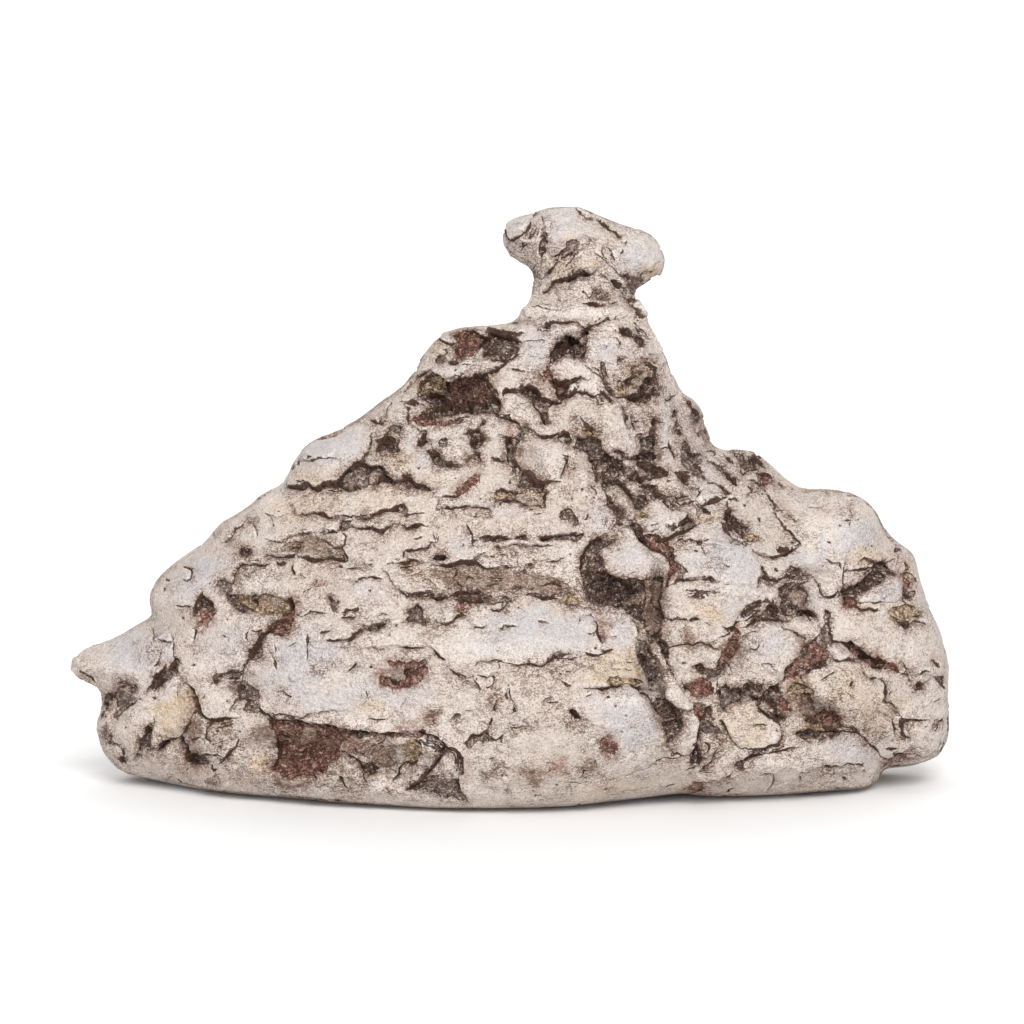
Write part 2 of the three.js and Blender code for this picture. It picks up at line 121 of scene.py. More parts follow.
# ---------------------------------------------------------------- the front's relief, in drawing units, 8 to the mm, x right and y down
# half width, depth, points
CRACKS = [
 (1.0,2,[(300,457),(310,462),(316,458),(326,457),(336,458)]),(1.3,4,[(371,430),(370,440),(367,450),(364,458),(362,463)]),
 (1.0,3,[(374,438),(380,440),(386,436),(391,430)]),(1.4,4,[(366,420),(374,421),(380,421),(386,421)]),(1.2,4,[(377,420),(382,417),(387,413)]),
 (2.2,4,[(275,560),(280,563),(286,562)]),(1.4,4,[(246,564),(255,564),(263,564),(269,561)]),(1.1,4,[(291,563),(293,570),(296,575)]),
 (0.9,2,[(300,572),(305,578)]),(2.2,6,[(246,562),(240,564),(236,568),(234,575),(233,583),(231,591)]),
 (1.4,5,[(220,541),(228,538),(234,531),(240,526),(243,521)]),(1.1,4,[(341,578),(350,578),(356,580),(362,576),(372,578),(384,580)]),
 (1.3,4,[(345,567),(355,568),(365,566),(375,563)]),(1.6,3,[(363,562),(365,566)]),
 (1.1,4,[(430,621),(437,620),(445,624),(452,620),(455,616),(465,614),(471,612)]),(1.5,3,[(496,625),(501,627),(506,624),(518,625)]),
 (0.9,2,[(473,626),(480,628),(488,625)]),(0.8,2,[(538,620),(545,621),(550,622)]),(1.7,5,[(491,606),(497,610),(504,608),(511,606)]),
 (1.2,4,[(560,599),(566,602),(574,606),(583,606)]),(1.1,3,[(341,612),(348,610),(356,611),(358,606)]),(1.1,3,[(341,617),(350,618),(358,617)]),
 (1.4,3,[(372,616),(380,614),(388,614)]),(1.1,3,[(300,616),(308,614),(312,611),(320,611),(326,612)]),(0.9,2,[(302,594),(304,590),(310,588)]),
 (1.8,7,[(583,590),(583,578),(582,566),(584,554),(589,546),(597,540)]),(1.1,3,[(680,579),(690,580),(700,578),(712,578),(722,582)]),
 (1.2,3,[(682,566),(688,573)]),(0.8,1.5,[(686,590),(698,592),(710,591),(720,594)]),(0.8,1.5,[(684,595),(696,598),(708,598)]),
 (1.1,3,[(250,629),(256,630),(261,631)]),(0.9,2,[(248,630),(244,636),(248,640)]),(1.4,4,[(325,640),(338,639),(350,639),(356,633),(362,629),(369,627)]),
 (1.3,3,[(318,634),(326,631),(332,628)]),(1.1,2,[(310,632),(308,640),(307,650),(308,660)]),(1.0,2,[(287,646),(296,641)]),(1.0,2,[(275,643),(275,652)]),
 (1.0,3,[(372,645),(380,650),(387,649)]),(1.2,3,[(183,568),(190,569),(191,575),(188,579),(181,580)]),
 (1.4,4,[(737,763),(745,761),(752,757),(758,754),(765,752)]),
 (1.5,4,[(752,693),(757,702),(762,710),(768,716),(774,720),(780,723),(782,730),(781,738),(776,744),(768,746),(757,749),(748,753)]),
 (1.1,3,[(750,727),(760,725),(769,726)]),(1.2,3,[(768,754),(780,750),(790,749),(801,749)]),(1.4,3,[(760,776),(766,774),(774,772),(780,769),(788,767)]),
 (1.0,2,[(798,776),(801,783)]),(0.9,2,[(774,774),(775,782),(770,786),(765,790)]),(1.6,4,[(740,762),(748,759),(755,754),(760,750)]),
 (1.0,3,[(384,414),(388,407),(394,404)]),(1.0,2,[(176,606),(184,606),(192,608)]),(0.8,2,[(168,631),(172,640),(171,650),(174,660)]),
 (1.2,3,[(191,628),(196,629),(194,640)]),(0.9,3,[(150,624),(152,632),(154,641)]),(1.0,3,[(157,640),(164,641),(171,640)]),
 (1.0,2.5,[(161,650),(158,660),(154,668)]),(1.2,3,[(140,699),(133,703),(127,709),(122,717),(119,725)]),
 (1.2,3,[(97,700),(101,706),(104,712),(103,720)]),(1.4,4,[(110,716),(109,724),(112,733),(117,741),(122,750),(125,760)]),
 (1.6,4,[(139,751),(137,757),(134,760)]),(1.2,3,[(141,753),(142,760)]),(1.6,5,[(148,749),(154,748),(159,749),(163,745)]),
 (1.2,4,[(167,738),(173,736),(179,735)]),(1.7,5,[(184,681),(190,688),(195,696),(199,705),(201,712),(206,718),(212,720),(222,719),(234,718),(240,716)]),
 (1.4,4,[(213,721),(209,727),(208,735),(210,745)]),(1.9,5,[(181,736),(184,742),(187,749),(190,756)]),(1.2,3,[(184,738),(192,740),(200,739)]),
 (1.2,4,[(200,758),(208,755),(218,754),(223,757),(230,753),(236,748),(238,741)]),(0.8,2,[(214,730),(224,727),(236,724)]),
 (0.8,2,[(212,745),(222,741),(232,738)]),(1.2,3,[(236,700),(232,708),(230,714)]),(0.8,2,[(220,634),(226,639)]),
 (0.8,2,[(178,673),(182,680),(180,690),(181,697)]),(0.8,2,[(76,669),(80,675),(84,680)]),(0.9,2,[(85,668),(92,676),(99,684)]),
 (0.9,2,[(78,680),(86,687)]),(0.9,2,[(163,779),(170,777),(176,779),(182,783),(174,784)]),(1.5,3,[(212,765),(214,770),(218,772)]),
 (1.3,3,[(225,757),(222,762),(219,766)]),(1.2,3,[(241,665),(245,668),(252,673),(257,677)]),(1.4,4,[(248,660),(244,665),(242,672),(242,678)]),
 (1.2,3,[(246,680),(250,685),(257,689)]),(1.2,3,[(258,690),(259,696),(257,702)]),(1.0,3,[(240,700),(250,700),(256,699)]),
 (1.9,5,[(256,706),(262,712),(270,717),(275,719)]),(0.9,3,[(270,712),(276,714),(285,714),(292,715),(300,716),(310,713),(320,712),(332,710),(344,709)]),
 (1.9,5,[(270,720),(285,721),(300,723),(320,726),(340,728),(360,732),(380,733),(400,732),(415,734)]),(0.9,3,[(368,752),(374,746),(381,742),(386,737)]),
 (0.9,3,[(372,757),(379,752),(384,745)]),(0.9,3,[(363,748),(368,741),(373,736)]),(1.1,3,[(386,745),(394,746),(402,744)]),
 (1.8,5,[(343,752),(350,756),(356,760),(361,765),(366,770)]),(1.2,3,[(362,772),(364,778),(367,783)]),(1.6,4,[(337,777),(341,782),(346,788),(351,792)]),
 (1.4,4,[(306,774),(312,775),(317,779)]),(1.3,3,[(385,788),(388,792),(391,794)]),(1.4,4,[(420,758),(412,762),(405,764),(401,768),(397,776),(391,784)]),
 (1.0,3,[(384,772),(390,770),(396,771)]),(1.3,3,[(277,691),(284,693),(294,696)]),(1.1,3,[(279,688),(284,687)]),(1.2,3,[(347,673),(352,668),(358,662)]),
 (0.9,2,[(362,692),(361,696),(365,699),(369,696),(368,691)]),(1.0,2,[(405,698),(404,704),(399,708)]),(0.9,2.5,[(366,718),(380,719),(390,720)]),
 (0.8,2,[(307,655),(308,650)]),(1.0,2,[(288,676),(290,682)]),(0.8,2,[(240,690),(252,693)]),(0.9,2,[(268,650),(273,660),(275,670)]),
 (0.8,2,[(286,734),(296,738),(304,736)]),(0.8,2,[(288,752),(300,754),(312,750)]),(0.8,2,[(282,742),(290,745)]),(0.8,2,[(322,740),(330,745),(336,742)]),
 (0.8,2,[(296,764),(308,762),(318,765)]),(0.8,2,[(354,744),(358,752),(364,757)]),(0.8,2,[(388,756),(394,762)]),
 (1.3,3,[(400,646),(410,647),(420,647),(434,649)]),(1.8,4,[(432,648),(437,655),(441,658),(446,662)]),
 (1.4,3,[(448,665),(450,670),(454,674),(460,676),(468,678),(475,677)]),(1.4,3,[(475,668),(477,664),(482,662),(488,661),(494,660),(500,661),(504,663)]),
 (0.9,2,[(478,674),(483,677),(490,677),(495,676)]),(0.9,2,[(495,677),(495,682),(491,686),(484,688)]),(1.3,3,[(473,679),(476,684),(480,690)]),
 (1.2,3,[(504,663),(512,664),(520,664),(527,663),(534,665),(541,665),(547,662),(553,659),(558,656)]),(0.8,2,[(560,659),(572,659),(580,658)]),
 (1.4,2,[(566,687),(571,687),(574,686)]),(0.8,2,[(507,688),(510,692),(512,698),(514,703)]),(0.9,2,[(505,690),(510,689)]),(1.0,2,[(519,690),(527,690)]),
 (1.2,2.5,[(501,697),(498,700),(497,705),(494,708),(496,713)]),(0.9,2,[(456,727),(459,731),(465,731)]),
 (0.7,1.5,[(464,713),(468,710),(473,713),(471,718)]),(1.2,3,[(490,716),(491,722),(489,728),(488,734)]),
 (1.9,4,[(468,740),(472,736),(478,735),(484,732),(488,729)]),(1.0,2.5,[(489,735),(492,739),(498,739),(502,737),(505,733)]),
 (0.9,2,[(500,739),(503,744)]),(1.1,2,[(513,729),(519,727),(527,725),(532,727)]),(1.6,2.5,[(541,721),(545,718),(548,720)]),
 (0.8,2,[(540,703),(546,699),(553,697)]),(1.6,2.5,[(547,702),(554,702),(561,702)]),(1.2,2,[(488,759),(495,758)]),
 (0.8,2,[(500,765),(506,767),(510,768)]),(1.3,4,[(417,740),(420,746),(421,753),(418,757)]),
 (1.9,5,[(418,733),(430,735),(443,741),(452,746),(459,753),(462,762),(462,773),(459,779)]),(0.9,2.5,[(425,737),(433,744),(440,748)]),
 (0.8,2,[(420,739),(428,746),(436,750)]),(0.9,2.5,[(446,745),(452,752),(456,760),(458,770)]),(0.8,2,[(447,768),(454,776)]),
 (1.8,5,[(458,780),(458,788),(463,795),(470,801)]),(1.6,4,[(404,791),(410,787),(418,782)]),(1.6,4,[(588,571),(596,570),(602,572),(606,576),(612,580)]),
 (1.4,3,[(607,588),(616,587),(622,589),(628,592),(635,592)]),(1.2,4,[(632,621),(637,628),(639,636),(640,645),(640,655),(641,665),(642,673)]),
 (1.3,4,[(656,645),(661,653),(665,661),(668,668),(672,673),(677,679)]),(1.1,3,[(668,648),(668,660)]),(1.3,4,[(640,690),(647,697),(652,706),(656,715)]),
 (1.1,2.5,[(580,626),(581,618),(587,614),(593,616)]),(1.8,3,[(591,616),(596,622),(597,630),(599,637),(601,643)]),(1.3,2,[(609,636),(617,636)]),
 (1.4,2.5,[(584,652),(590,655),(596,655),(604,654)]),(1.2,2.5,[(600,649),(606,651),(612,649)]),(1.5,3,[(556,655),(565,655)]),
 (1.3,4,[(585,688),(600,688),(615,686),(628,685),(640,688),(652,690)]),(0.6,1.5,[(600,672),(615,669),(630,671)]),
 (0.6,1.5,[(605,664),(620,661),(634,664)]),(0.8,2,[(585,696),(592,694)]),(1.6,4,[(570,710),(576,714),(582,718)]),
 (1.0,2,[(561,681),(568,685),(573,687)]),(1.0,3,[(560,602),(570,605),(584,606)]),
 (1.0,3,[(664,584),(672,584),(680,580),(690,581),(700,580),(712,580),(720,583)]),(0.6,1.5,[(684,592),(696,590),(710,592)]),
 (0.6,1.5,[(688,598),(700,594),(716,594)]),(1.2,3,[(662,619),(670,619),(680,620),(690,620),(702,619)]),(0.9,2,[(706,622),(714,626)]),
 (1.3,4,[(669,649),(675,645),(684,644),(692,645),(702,641),(708,644),(714,648),(722,647)]),(1.4,4,[(686,684),(692,685),(696,681)]),
 (1.6,4,[(681,680),(684,686),(689,690)]),(0.9,2,[(721,672),(724,666),(728,664),(730,669)]),(1.0,2.5,[(730,662),(731,670),(733,676)]),
 (0.8,2,[(716,680),(717,690),(714,695)]),(1.1,2.5,[(680,710),(690,710),(697,706)]),(1.3,4,[(740,622),(734,627),(730,632)]),
 (1.3,3,[(750,546),(754,550),(760,554),(768,556),(778,556),(786,554),(792,551),(797,548),(800,544)]),(0.9,2.5,[(757,576),(759,583),(756,588)]),
 (1.4,3,[(764,574),(770,579),(780,579),(786,576)]),(1.1,3,[(781,578),(792,578),(804,578),(814,577)]),(1.3,3,[(784,585),(792,583),(802,582),(812,580)]),
 (1.4,4,[(812,575),(817,578),(820,583),(822,590),(823,595),(829,597),(835,596),(839,592)]),(0.9,2,[(820,592),(826,590)]),
 (1.0,3,[(741,618),(746,613),(754,609),(762,606)]),(0.9,2,[(744,621),(752,616),(760,611)]),
 (2.0,5,[(742,628),(752,624),(762,621),(772,619),(784,619),(794,618)]),(1.0,3,[(741,638),(746,634),(752,632),(758,633)]),
 (1.0,2.5,[(757,638),(758,646),(754,650),(748,649),(742,651)]),(0.9,2,[(748,640),(752,643),(756,642)]),
 (1.2,3,[(793,630),(798,634),(803,639),(805,643)]),(1.0,2.5,[(783,626),(790,628),(796,632)]),(1.3,3,[(800,616),(806,613),(812,614),(818,616)]),
 (0.8,2,[(808,617),(810,622)]),(1.4,3,[(808,646),(812,640),(816,638)]),(1.3,4,[(832,634),(836,642),(844,643),(852,644)]),
 (1.3,3,[(828,650),(832,655),(838,659),(845,660),(853,659),(859,661)]),(1.1,3,[(859,661),(863,667),(864,674),(869,678),(882,679)]),
 (1.4,4,[(854,606),(862,609),(870,609),(880,610)]),(0.9,3,[(845,572),(856,570),(868,569),(880,569)]),(1.2,3,[(856,561),(864,559),(872,562),(880,566)]),
 (0.6,1.5,[(844,560),(845,570),(844,580),(845,590)]),(0.8,2,[(826,559),(832,562),(840,564),(843,570)]),(0.7,1.5,[(700,591),(708,593),(718,595)]),
 (0.9,2,[(737,597),(742,596)]),(0.8,2,[(720,627),(726,630),(730,628)]),(0.8,2,[(799,640),(806,636),(812,637)]),
 (1.0,2.5,[(771,665),(774,669),(778,670)]),(0.8,1.5,[(762,662),(768,664),(776,663)]),(0.9,2,[(820,680),(828,676),(836,670)]),
 (1.0,2,[(850,686),(853,682)]),(0.7,1.5,[(822,655),(826,651),(829,655)]),(1.3,4,[(782,684),(786,676),(791,670),(797,664)]),
 (1.0,2.5,[(700,642),(708,643),(716,641)]),(1.6,5,[(645,694),(652,704),(657,714),(661,724),(665,736),(669,746)]),
 (0.9,2,[(668,748),(672,752),(671,758)]),(0.9,2,[(661,758),(668,758),(676,760),(682,756)]),(1.7,5,[(700,726),(699,738),(696,746),(693,756),(692,762)]),
 (1.5,4,[(720,746),(716,752),(712,758),(708,764),(700,770)]),(1.2,3.5,[(716,722),(722,722),(728,732),(734,741),(741,748)]),
 (0.9,2,[(700,773),(706,771),(714,772)]),(2.0,6,[(694,782),(704,781),(714,780),(722,778),(731,774)]),(0.7,1.5,[(600,781),(612,780),(620,778)]),
 (1.5,3,[(603,792),(608,789),(614,788)]),(0.8,1.5,[(626,776),(634,773),(641,770),(646,767)]),(0.7,1.2,[(562,781),(578,783),(590,781)]),
 (0.9,2,[(645,768),(654,763),(662,758)]),(0.9,2,[(686,773),(692,769),(697,766)]),(1.0,2,[(724,797),(730,791),(737,789)]),
 (0.7,1.2,[(610,797),(630,791),(650,788)]),(0.6,1.2,[(655,787),(668,785),(678,783)]),(1.1,2.5,[(580,778),(584,773),(590,770)]),
 (1.2,3,[(716,736),(720,742),(718,748)]),(0.9,2,[(703,741),(708,746),(706,752)]),(1.0,2.5,[(724,686),(722,692),(724,698)]),
 (1.7,5,[(284,487),(298,487),(307,484),(314,489)]),(2.3,6,[(304,482),(310,487),(317,488),(325,485),(334,483),(342,484),(350,487),(360,486),(368,484)]),
 (1.2,4,[(369,440),(367,447),(364,455),(362,461)]),(1.5,4,[(294,508),(299,512),(306,513),(314,512),(320,514),(332,516),(342,515),(352,517)]),
 (1.3,3.5,[(366,517),(374,514),(380,511),(392,509),(400,508)]),(1.0,3,[(341,521),(348,521),(352,521)]),
 (1.7,4.5,[(341,531),(346,528),(352,526),(360,528),(368,528),(376,529),(382,530),(388,527),(398,524),(410,525),(420,525),(430,524)]),
 (0.8,2,[(341,519),(341,530)]),(1.0,2.5,[(325,522),(326,528),(324,534),(331,532),(338,531)]),
 (1.2,3.5,[(265,538),(272,540),(280,540),(288,537),(296,534),(306,534),(318,534),(326,531)]),(1.2,3,[(323,538),(328,543),(334,547)]),
 (1.0,2.5,[(334,548),(342,546),(344,540),(346,536),(342,534)]),(0.8,2,[(310,541),(318,543),(324,540)]),
 (2.2,6,[(262,553),(276,555),(288,555),(298,553)]),(2.4,6,[(298,556),(312,558),(324,558),(334,557),(347,559)]),(1.5,4,[(341,545),(344,550),(347,558)]),
 (1.1,2.5,[(254,524),(257,530),(256,537)]),(1.0,2,[(264,513),(270,516),(274,523)]),(0.8,2,[(325,490),(333,491),(338,489)]),
 (1.1,2.5,[(338,491),(343,489)]),(0.7,1.5,[(300,459),(308,462),(313,458)]),(0.6,1.2,[(328,457),(336,458),(346,459)]),(1.0,2.5,[(306,455),(311,456)]),
 (1.0,2.5,[(352,463),(354,466)]),(0.9,2,[(290,462),(294,466),(292,470)]),(0.9,2,[(299,465),(297,460)]),(0.9,2,[(296,479),(304,480),(303,485)]),
 (0.9,2,[(284,480),(288,484)]),(0.7,1.5,[(300,494),(306,493)]),(1.0,2,[(358,502),(362,501),(362,504)]),(1.3,2.5,[(372,548),(376,546)]),
 (0.7,1.5,[(266,514),(280,516),(290,513)]),(0.9,2,[(284,543),(292,541),(304,543)]),(0.8,2,[(286,549),(300,547),(314,549)]),
 (0.8,2,[(316,551),(326,551),(336,553)]),(0.7,1.5,[(300,528),(306,531)]),(1.2,4,[(426,450),(430,453),(436,454)]),
 (1.4,4,[(446,467),(454,464),(462,464)]),(1.4,4,[(490,457),(496,459),(503,460),(509,461)]),(1.3,3,[(540,484),(548,483),(556,482),(562,481)]),
 (1.4,4,[(563,458),(567,462),(566,467),(563,474),(561,478)]),(1.4,4,[(566,467),(572,467),(577,466)]),
 (1.0,3,[(436,496),(443,497),(450,498),(458,496),(464,492)]),(1.0,2.5,[(436,496),(437,503),(436,508)]),
 (1.4,3.5,[(434,510),(444,507),(452,508),(458,507),(466,506),(474,507),(480,508),(488,507),(493,504)]),
 (2.0,5,[(493,507),(496,501),(504,501),(514,500),(522,503),(532,505),(540,506),(548,507)]),(1.3,3,[(496,493),(502,490),(510,491),(516,490)]),
 (1.4,3,[(546,491),(544,498),(545,506)]),(1.2,3,[(545,495),(550,490)]),(0.8,2,[(498,502),(500,506)]),(0.8,2,[(511,501),(511,505)]),
 (0.9,2,[(512,495),(520,493),(528,496)]),(0.9,2,[(524,500),(532,498),(540,501)]),(1.2,2,[(530,516),(536,514),(543,512)]),
 (1.3,3.5,[(479,537),(492,536),(504,537),(513,538)]),(1.3,3.5,[(514,539),(520,536),(526,537)]),
 (1.5,4,[(541,539),(552,536),(562,536),(574,535),(582,534)]),(1.2,3,[(467,522),(469,528),(472,534),(472,540),(473,545),(478,548)]),
 (1.2,3,[(472,541),(479,541)]),(1.4,4,[(496,546),(506,545),(520,545),(530,545),(541,546),(553,545)]),(1.2,3,[(500,553),(506,554),(508,558),(506,560)]),
 (0.8,2,[(475,557),(480,554),(487,553)]),(1.1,3,[(546,561),(556,560),(562,558),(566,556)]),(1.5,4,[(402,552),(410,551),(420,549),(427,547),(430,543)]),
 (1.0,3,[(402,552),(403,557)]),(0.8,2,[(433,531),(434,540)]),(0.8,2,[(428,542),(436,540),(438,536)]),(1.3,4,[(400,562),(412,561),(420,562)]),
 (1.9,5,[(430,567),(438,564),(448,565),(460,563),(470,562),(477,562),(484,566),(494,567),(506,567),(520,568)]),(1.0,2,[(488,577),(498,577),(507,578)]),
 (0.8,2,[(484,586),(492,583),(500,584)]),(1.0,2,[(514,577),(518,574),(526,571)]),(1.2,2.5,[(527,566),(534,566)]),
 (0.8,2,[(456,568),(454,574),(452,578)]),(0.9,2,[(466,582),(468,577),(476,579)]),(0.9,2,[(456,580),(462,586),(470,589)]),(0.9,2,[(444,588),(452,587)]),
 (1.8,5,[(400,592),(412,594),(424,594),(436,597),(450,596),(462,592),(474,594),(484,596),(496,598)]),
 (1.2,3,[(520,594),(534,594),(548,596),(560,594),(572,590)]),(1.0,2.5,[(540,586),(548,583),(556,584),(562,588)]),(1.0,2.5,[(526,590),(534,588)]),
 (0.9,2,[(420,578),(430,582),(436,590)]),(0.8,1.5,[(404,576),(414,575),(422,570)]),(1.0,3,[(400,569),(406,566),(414,568)]),
 (0.7,1.5,[(412,538),(424,536)]),(1.0,2,[(460,544),(464,543)]),(1.2,3,[(400,514),(414,514),(424,513)]),(0.8,2,[(400,528),(410,527)]),
 (1.4,4,[(532,216),(531,222),(529,228),(525,233),(521,236),(516,239),(511,240),(508,237),(506,230),(506,225),(509,222)]),(0.9,2,[(502,231),(506,232)]),
 (1.0,3,[(540,211),(535,213),(532,217)]),(0.9,2.5,[(540,213),(542,222),(541,232),(540,240)]),(1.0,2.5,[(550,219),(551,227),(549,234)]),
 (1.4,3.5,[(546,243),(545,250),(542,257),(541,263),(540,270)]),(1.0,2.5,[(543,238),(541,246),(540,254)]),(0.9,2,[(533,228),(530,234),(527,240)]),
 (0.8,2,[(538,226),(534,233),(530,240)]),(0.7,2,[(522,240),(522,250)]),(0.8,2,[(521,252),(524,247),(529,244)]),(0.7,1.5,[(505,248),(508,246)]),
 (1.0,2,[(510,253),(513,254)]),(1.0,3,[(540,268),(539,272),(536,280),(532,288),(529,298)]),(1.7,4,[(523,304),(521,308),(518,311)]),
 (0.9,2,[(534,264),(532,272),(532,280)]),(1.1,3,[(552,258),(558,256),(562,252),(565,248)]),(1.1,3,[(560,260),(566,257),(571,254),(575,252)]),
 (1.3,3,[(541,281),(546,275),(551,270),(556,265),(561,262)]),(1.5,3,[(545,272),(550,269),(555,268)]),(0.8,2,[(565,268),(570,263),(572,258)]),
 (1.2,2,[(572,268),(575,269)]),(2.0,6,[(540,294),(546,289),(551,284),(556,281),(562,280),(568,279),(574,277),(580,275),(586,274),(592,273),(597,271)]),
 (0.8,2,[(574,282),(582,280),(590,278),(596,274)]),(0.8,2.5,[(592,250),(600,257),(608,265),(616,272),(620,277)]),
 (0.9,2.5,[(598,272),(604,276),(609,280),(613,282)]),(2.0,5,[(612,280),(615,284),(618,289)]),(1.1,3,[(602,244),(602,250),(603,256),(606,260)]),
 (1.0,2,[(610,254),(612,258),(615,261)]),(1.3,2,[(624,243),(628,241)]),(1.3,2,[(620,252),(624,250)]),
 (1.4,3.5,[(574,208),(579,212),(583,215),(590,217),(598,219),(604,223),(611,229),(617,233),(621,238)]),
 (0.6,1.5,[(638,230),(648,234),(655,240),(660,246)]),(1.4,4,[(619,291),(625,297),(630,301),(634,303)]),(0.9,2,[(650,273),(655,266),(659,262)]),
 (1.3,3,[(640,275),(646,272),(652,270)]),(1.0,2.5,[(640,284),(645,284)]),(1.6,4,[(582,305),(590,304),(598,304),(606,304),(613,303),(619,300)]),
 (0.5,1,[(540,303),(556,306),(575,308)]),(0.5,1,[(530,309),(550,311),(570,311)]),(1.2,3,[(509,322),(514,321),(519,320)]),
 (1.4,4,[(543,327),(548,323),(554,321),(564,321),(574,321),(580,324),(586,327),(592,325),(600,322),(606,321)]),
 (1.1,2.5,[(602,321),(608,319),(612,320)]),(1.0,2,[(614,317),(618,318)]),(1.1,3,[(626,298),(631,304),(636,311),(641,318)]),
 (0.9,2,[(636,322),(638,328)]),(0.7,1.5,[(584,232),(588,238),(594,243)]),(0.6,1.2,[(580,290),(586,296),(590,300)]),
 (0.7,1.5,[(555,300),(562,302),(566,301)]),(0.7,1.5,[(606,246),(610,250),(613,256)]),(1.7,4.5,[(480,357),(486,352),(492,350),(498,345),(500,344)]),
 (1.4,3,[(490,341),(493,346)]),(2.0,5,[(488,335),(494,334),(500,335),(508,337),(516,339),(524,341)]),
 (1.6,4,[(484,330),(490,328),(496,329),(504,331),(512,333),(520,335)]),(1.1,3,[(490,359),(500,361),(508,362)]),
 (0.7,1.5,[(504,341),(510,344),(516,345)]),(0.7,1.5,[(502,346),(508,348),(514,350)]),(0.7,1.5,[(492,353),(500,353),(510,354)]),
 (0.9,2,[(514,344),(517,350),(514,356)]),(1.3,3.5,[(433,338),(440,339),(446,342),(452,344),(456,343)]),(1.0,2,[(441,349),(445,353),(442,357)]),
 (1.5,3.5,[(448,362),(453,364),(458,361)]),
 (2.4,9,[(428,372),(436,375),(441,379),(447,381),(458,381),(466,379),(476,376),(484,375),(492,371),(498,368),(505,364)]),
 (1.6,5,[(402,396),(406,389),(411,383),(417,378),(424,373),(432,369)]),(1.5,4,[(488,380),(492,386),(496,391),(500,395)]),
 (1.0,3,[(493,390),(495,398),(493,404)]),(1.3,3,[(499,400),(499,408)]),(1.0,3,[(430,392),(422,394),(416,398)]),
 (1.0,2.5,[(421,386),(424,382),(430,381)]),(0.9,2,[(420,404),(428,406),(436,405)]),(1.9,4,[(410,413),(409,418),(409,424)]),
 (1.3,3.5,[(411,424),(418,429),(424,431),(428,430)]),(1.6,4,[(428,430),(426,436),(423,441),(419,446)]),(1.4,4,[(477,429),(482,424),(488,420)]),
 (1.5,4,[(500,417),(508,418),(514,422),(519,426),(521,432)]),(1.7,4,[(480,417),(482,421),(478,426),(476,431)]),
 (1.4,4,[(503,397),(508,392),(514,391),(520,392)]),(1.6,5,[(532,404),(538,410),(543,417),(546,424),(550,428)]),
 (2.2,6,[(524,427),(530,428),(536,431),(541,435),(548,436),(556,434),(562,433)]),(1.5,4,[(545,372),(547,366),(550,362),(556,359)]),
 (0.9,2,[(524,341),(534,341),(544,341),(548,340)]),(1.1,3,[(504,392),(512,389),(520,389)]),(0.8,2,[(508,368),(516,370),(524,371)]),
 (1.1,3,[(538,373),(542,378),(546,383)]),(1.0,2.5,[(400,402),(408,402),(414,404)]),(1.0,2,[(403,428),(400,432)]),(1.0,2.5,[(400,437),(402,440)]),
 (0.9,2,[(404,406),(410,409),(408,414)]),(0.7,1.5,[(418,388),(416,393),(418,397)]),(0.9,2,[(508,362),(512,358),(516,354)]),
 (0.6,1.5,[(460,366),(476,366),(490,364)]),(0.8,2,[(442,375),(452,377),(464,376)]),(0.9,2.5,[(452,421),(460,418),(470,416)]),
 (0.9,2.5,[(448,424),(458,422),(464,420)]),(1.0,2,[(470,429),(466,434),(462,436)]),(0.9,2,[(524,376),(530,373),(536,373)]),
 (0.9,2,[(522,382),(520,388)]),(0.8,2,[(518,333),(526,332)]),(0.9,2,[(536,328),(544,330),(550,331)]),(1.9,5,[(588,330),(584,333),(580,336),(578,338)]),
 (1.4,4,[(565,336),(569,339),(572,345)]),(1.2,3,[(586,330),(590,326),(598,323),(606,321)]),(0.9,2.5,[(584,366),(590,369),(596,372),(601,378)]),
 (0.9,2,[(594,366),(600,371)]),(1.6,4,[(548,378),(554,382),(560,382),(566,381),(571,382)]),(1.2,3,[(567,384),(572,382),(576,379),(580,378),(586,377)]),
 (1.4,4,[(562,398),(568,396),(574,393),(582,392),(588,394),(593,397),(597,396)]),(1.3,3.5,[(601,362),(602,370),(604,378)]),
 (1.0,2.5,[(600,374),(603,382),(606,388),(610,394)]),(1.5,4,[(600,391),(604,396),(609,400),(613,404)]),(1.0,3,[(596,398),(600,404),(606,405)]),
 (0.9,2,[(605,364),(606,371),(610,379)]),(1.0,2.5,[(619,360),(620,364),(618,366)]),(0.9,2,[(620,383),(621,390)]),(0.9,2,[(625,382),(625,392)]),
 (0.9,2,[(616,385),(618,393)]),(1.3,3.5,[(606,396),(616,398),(626,397),(636,397),(644,396)]),
 (1.4,4,[(614,384),(620,381),(628,379),(636,378),(644,379)]),(0.9,2,[(646,366),(652,365),(657,368),(659,373),(656,378)]),
 (0.8,2,[(650,370),(654,369),(655,374)]),(1.0,2.5,[(641,356),(646,358),(650,357)]),(1.0,2.5,[(650,352),(656,353)]),(0.9,2,[(646,362),(652,361)]),
 (1.0,2,[(660,384),(664,387),(662,392)]),(0.9,2,[(656,394),(660,396)]),(1.1,3,[(664,398),(668,399),(672,397),(675,395)]),
 (1.0,2.5,[(668,391),(671,395)]),(0.9,2,[(655,420),(660,422),(666,422)]),(0.9,2,[(633,420),(638,420),(643,420)]),
 (1.5,3,[(636,438),(637,435),(641,434),(644,436)]),(0.9,2,[(583,431),(588,430),(593,432),(594,436),(590,437),(587,434)]),
 (1.2,3,[(578,436),(584,440),(592,438),(600,439)]),(1.1,3,[(594,430),(599,431),(603,429)]),(1.1,3,[(573,422),(578,426),(582,430)]),
 (0.9,2,[(580,416),(584,422),(587,427)]),(0.8,2,[(622,405),(626,415),(627,425),(629,435)]),(0.7,2,[(625,410),(629,420)]),
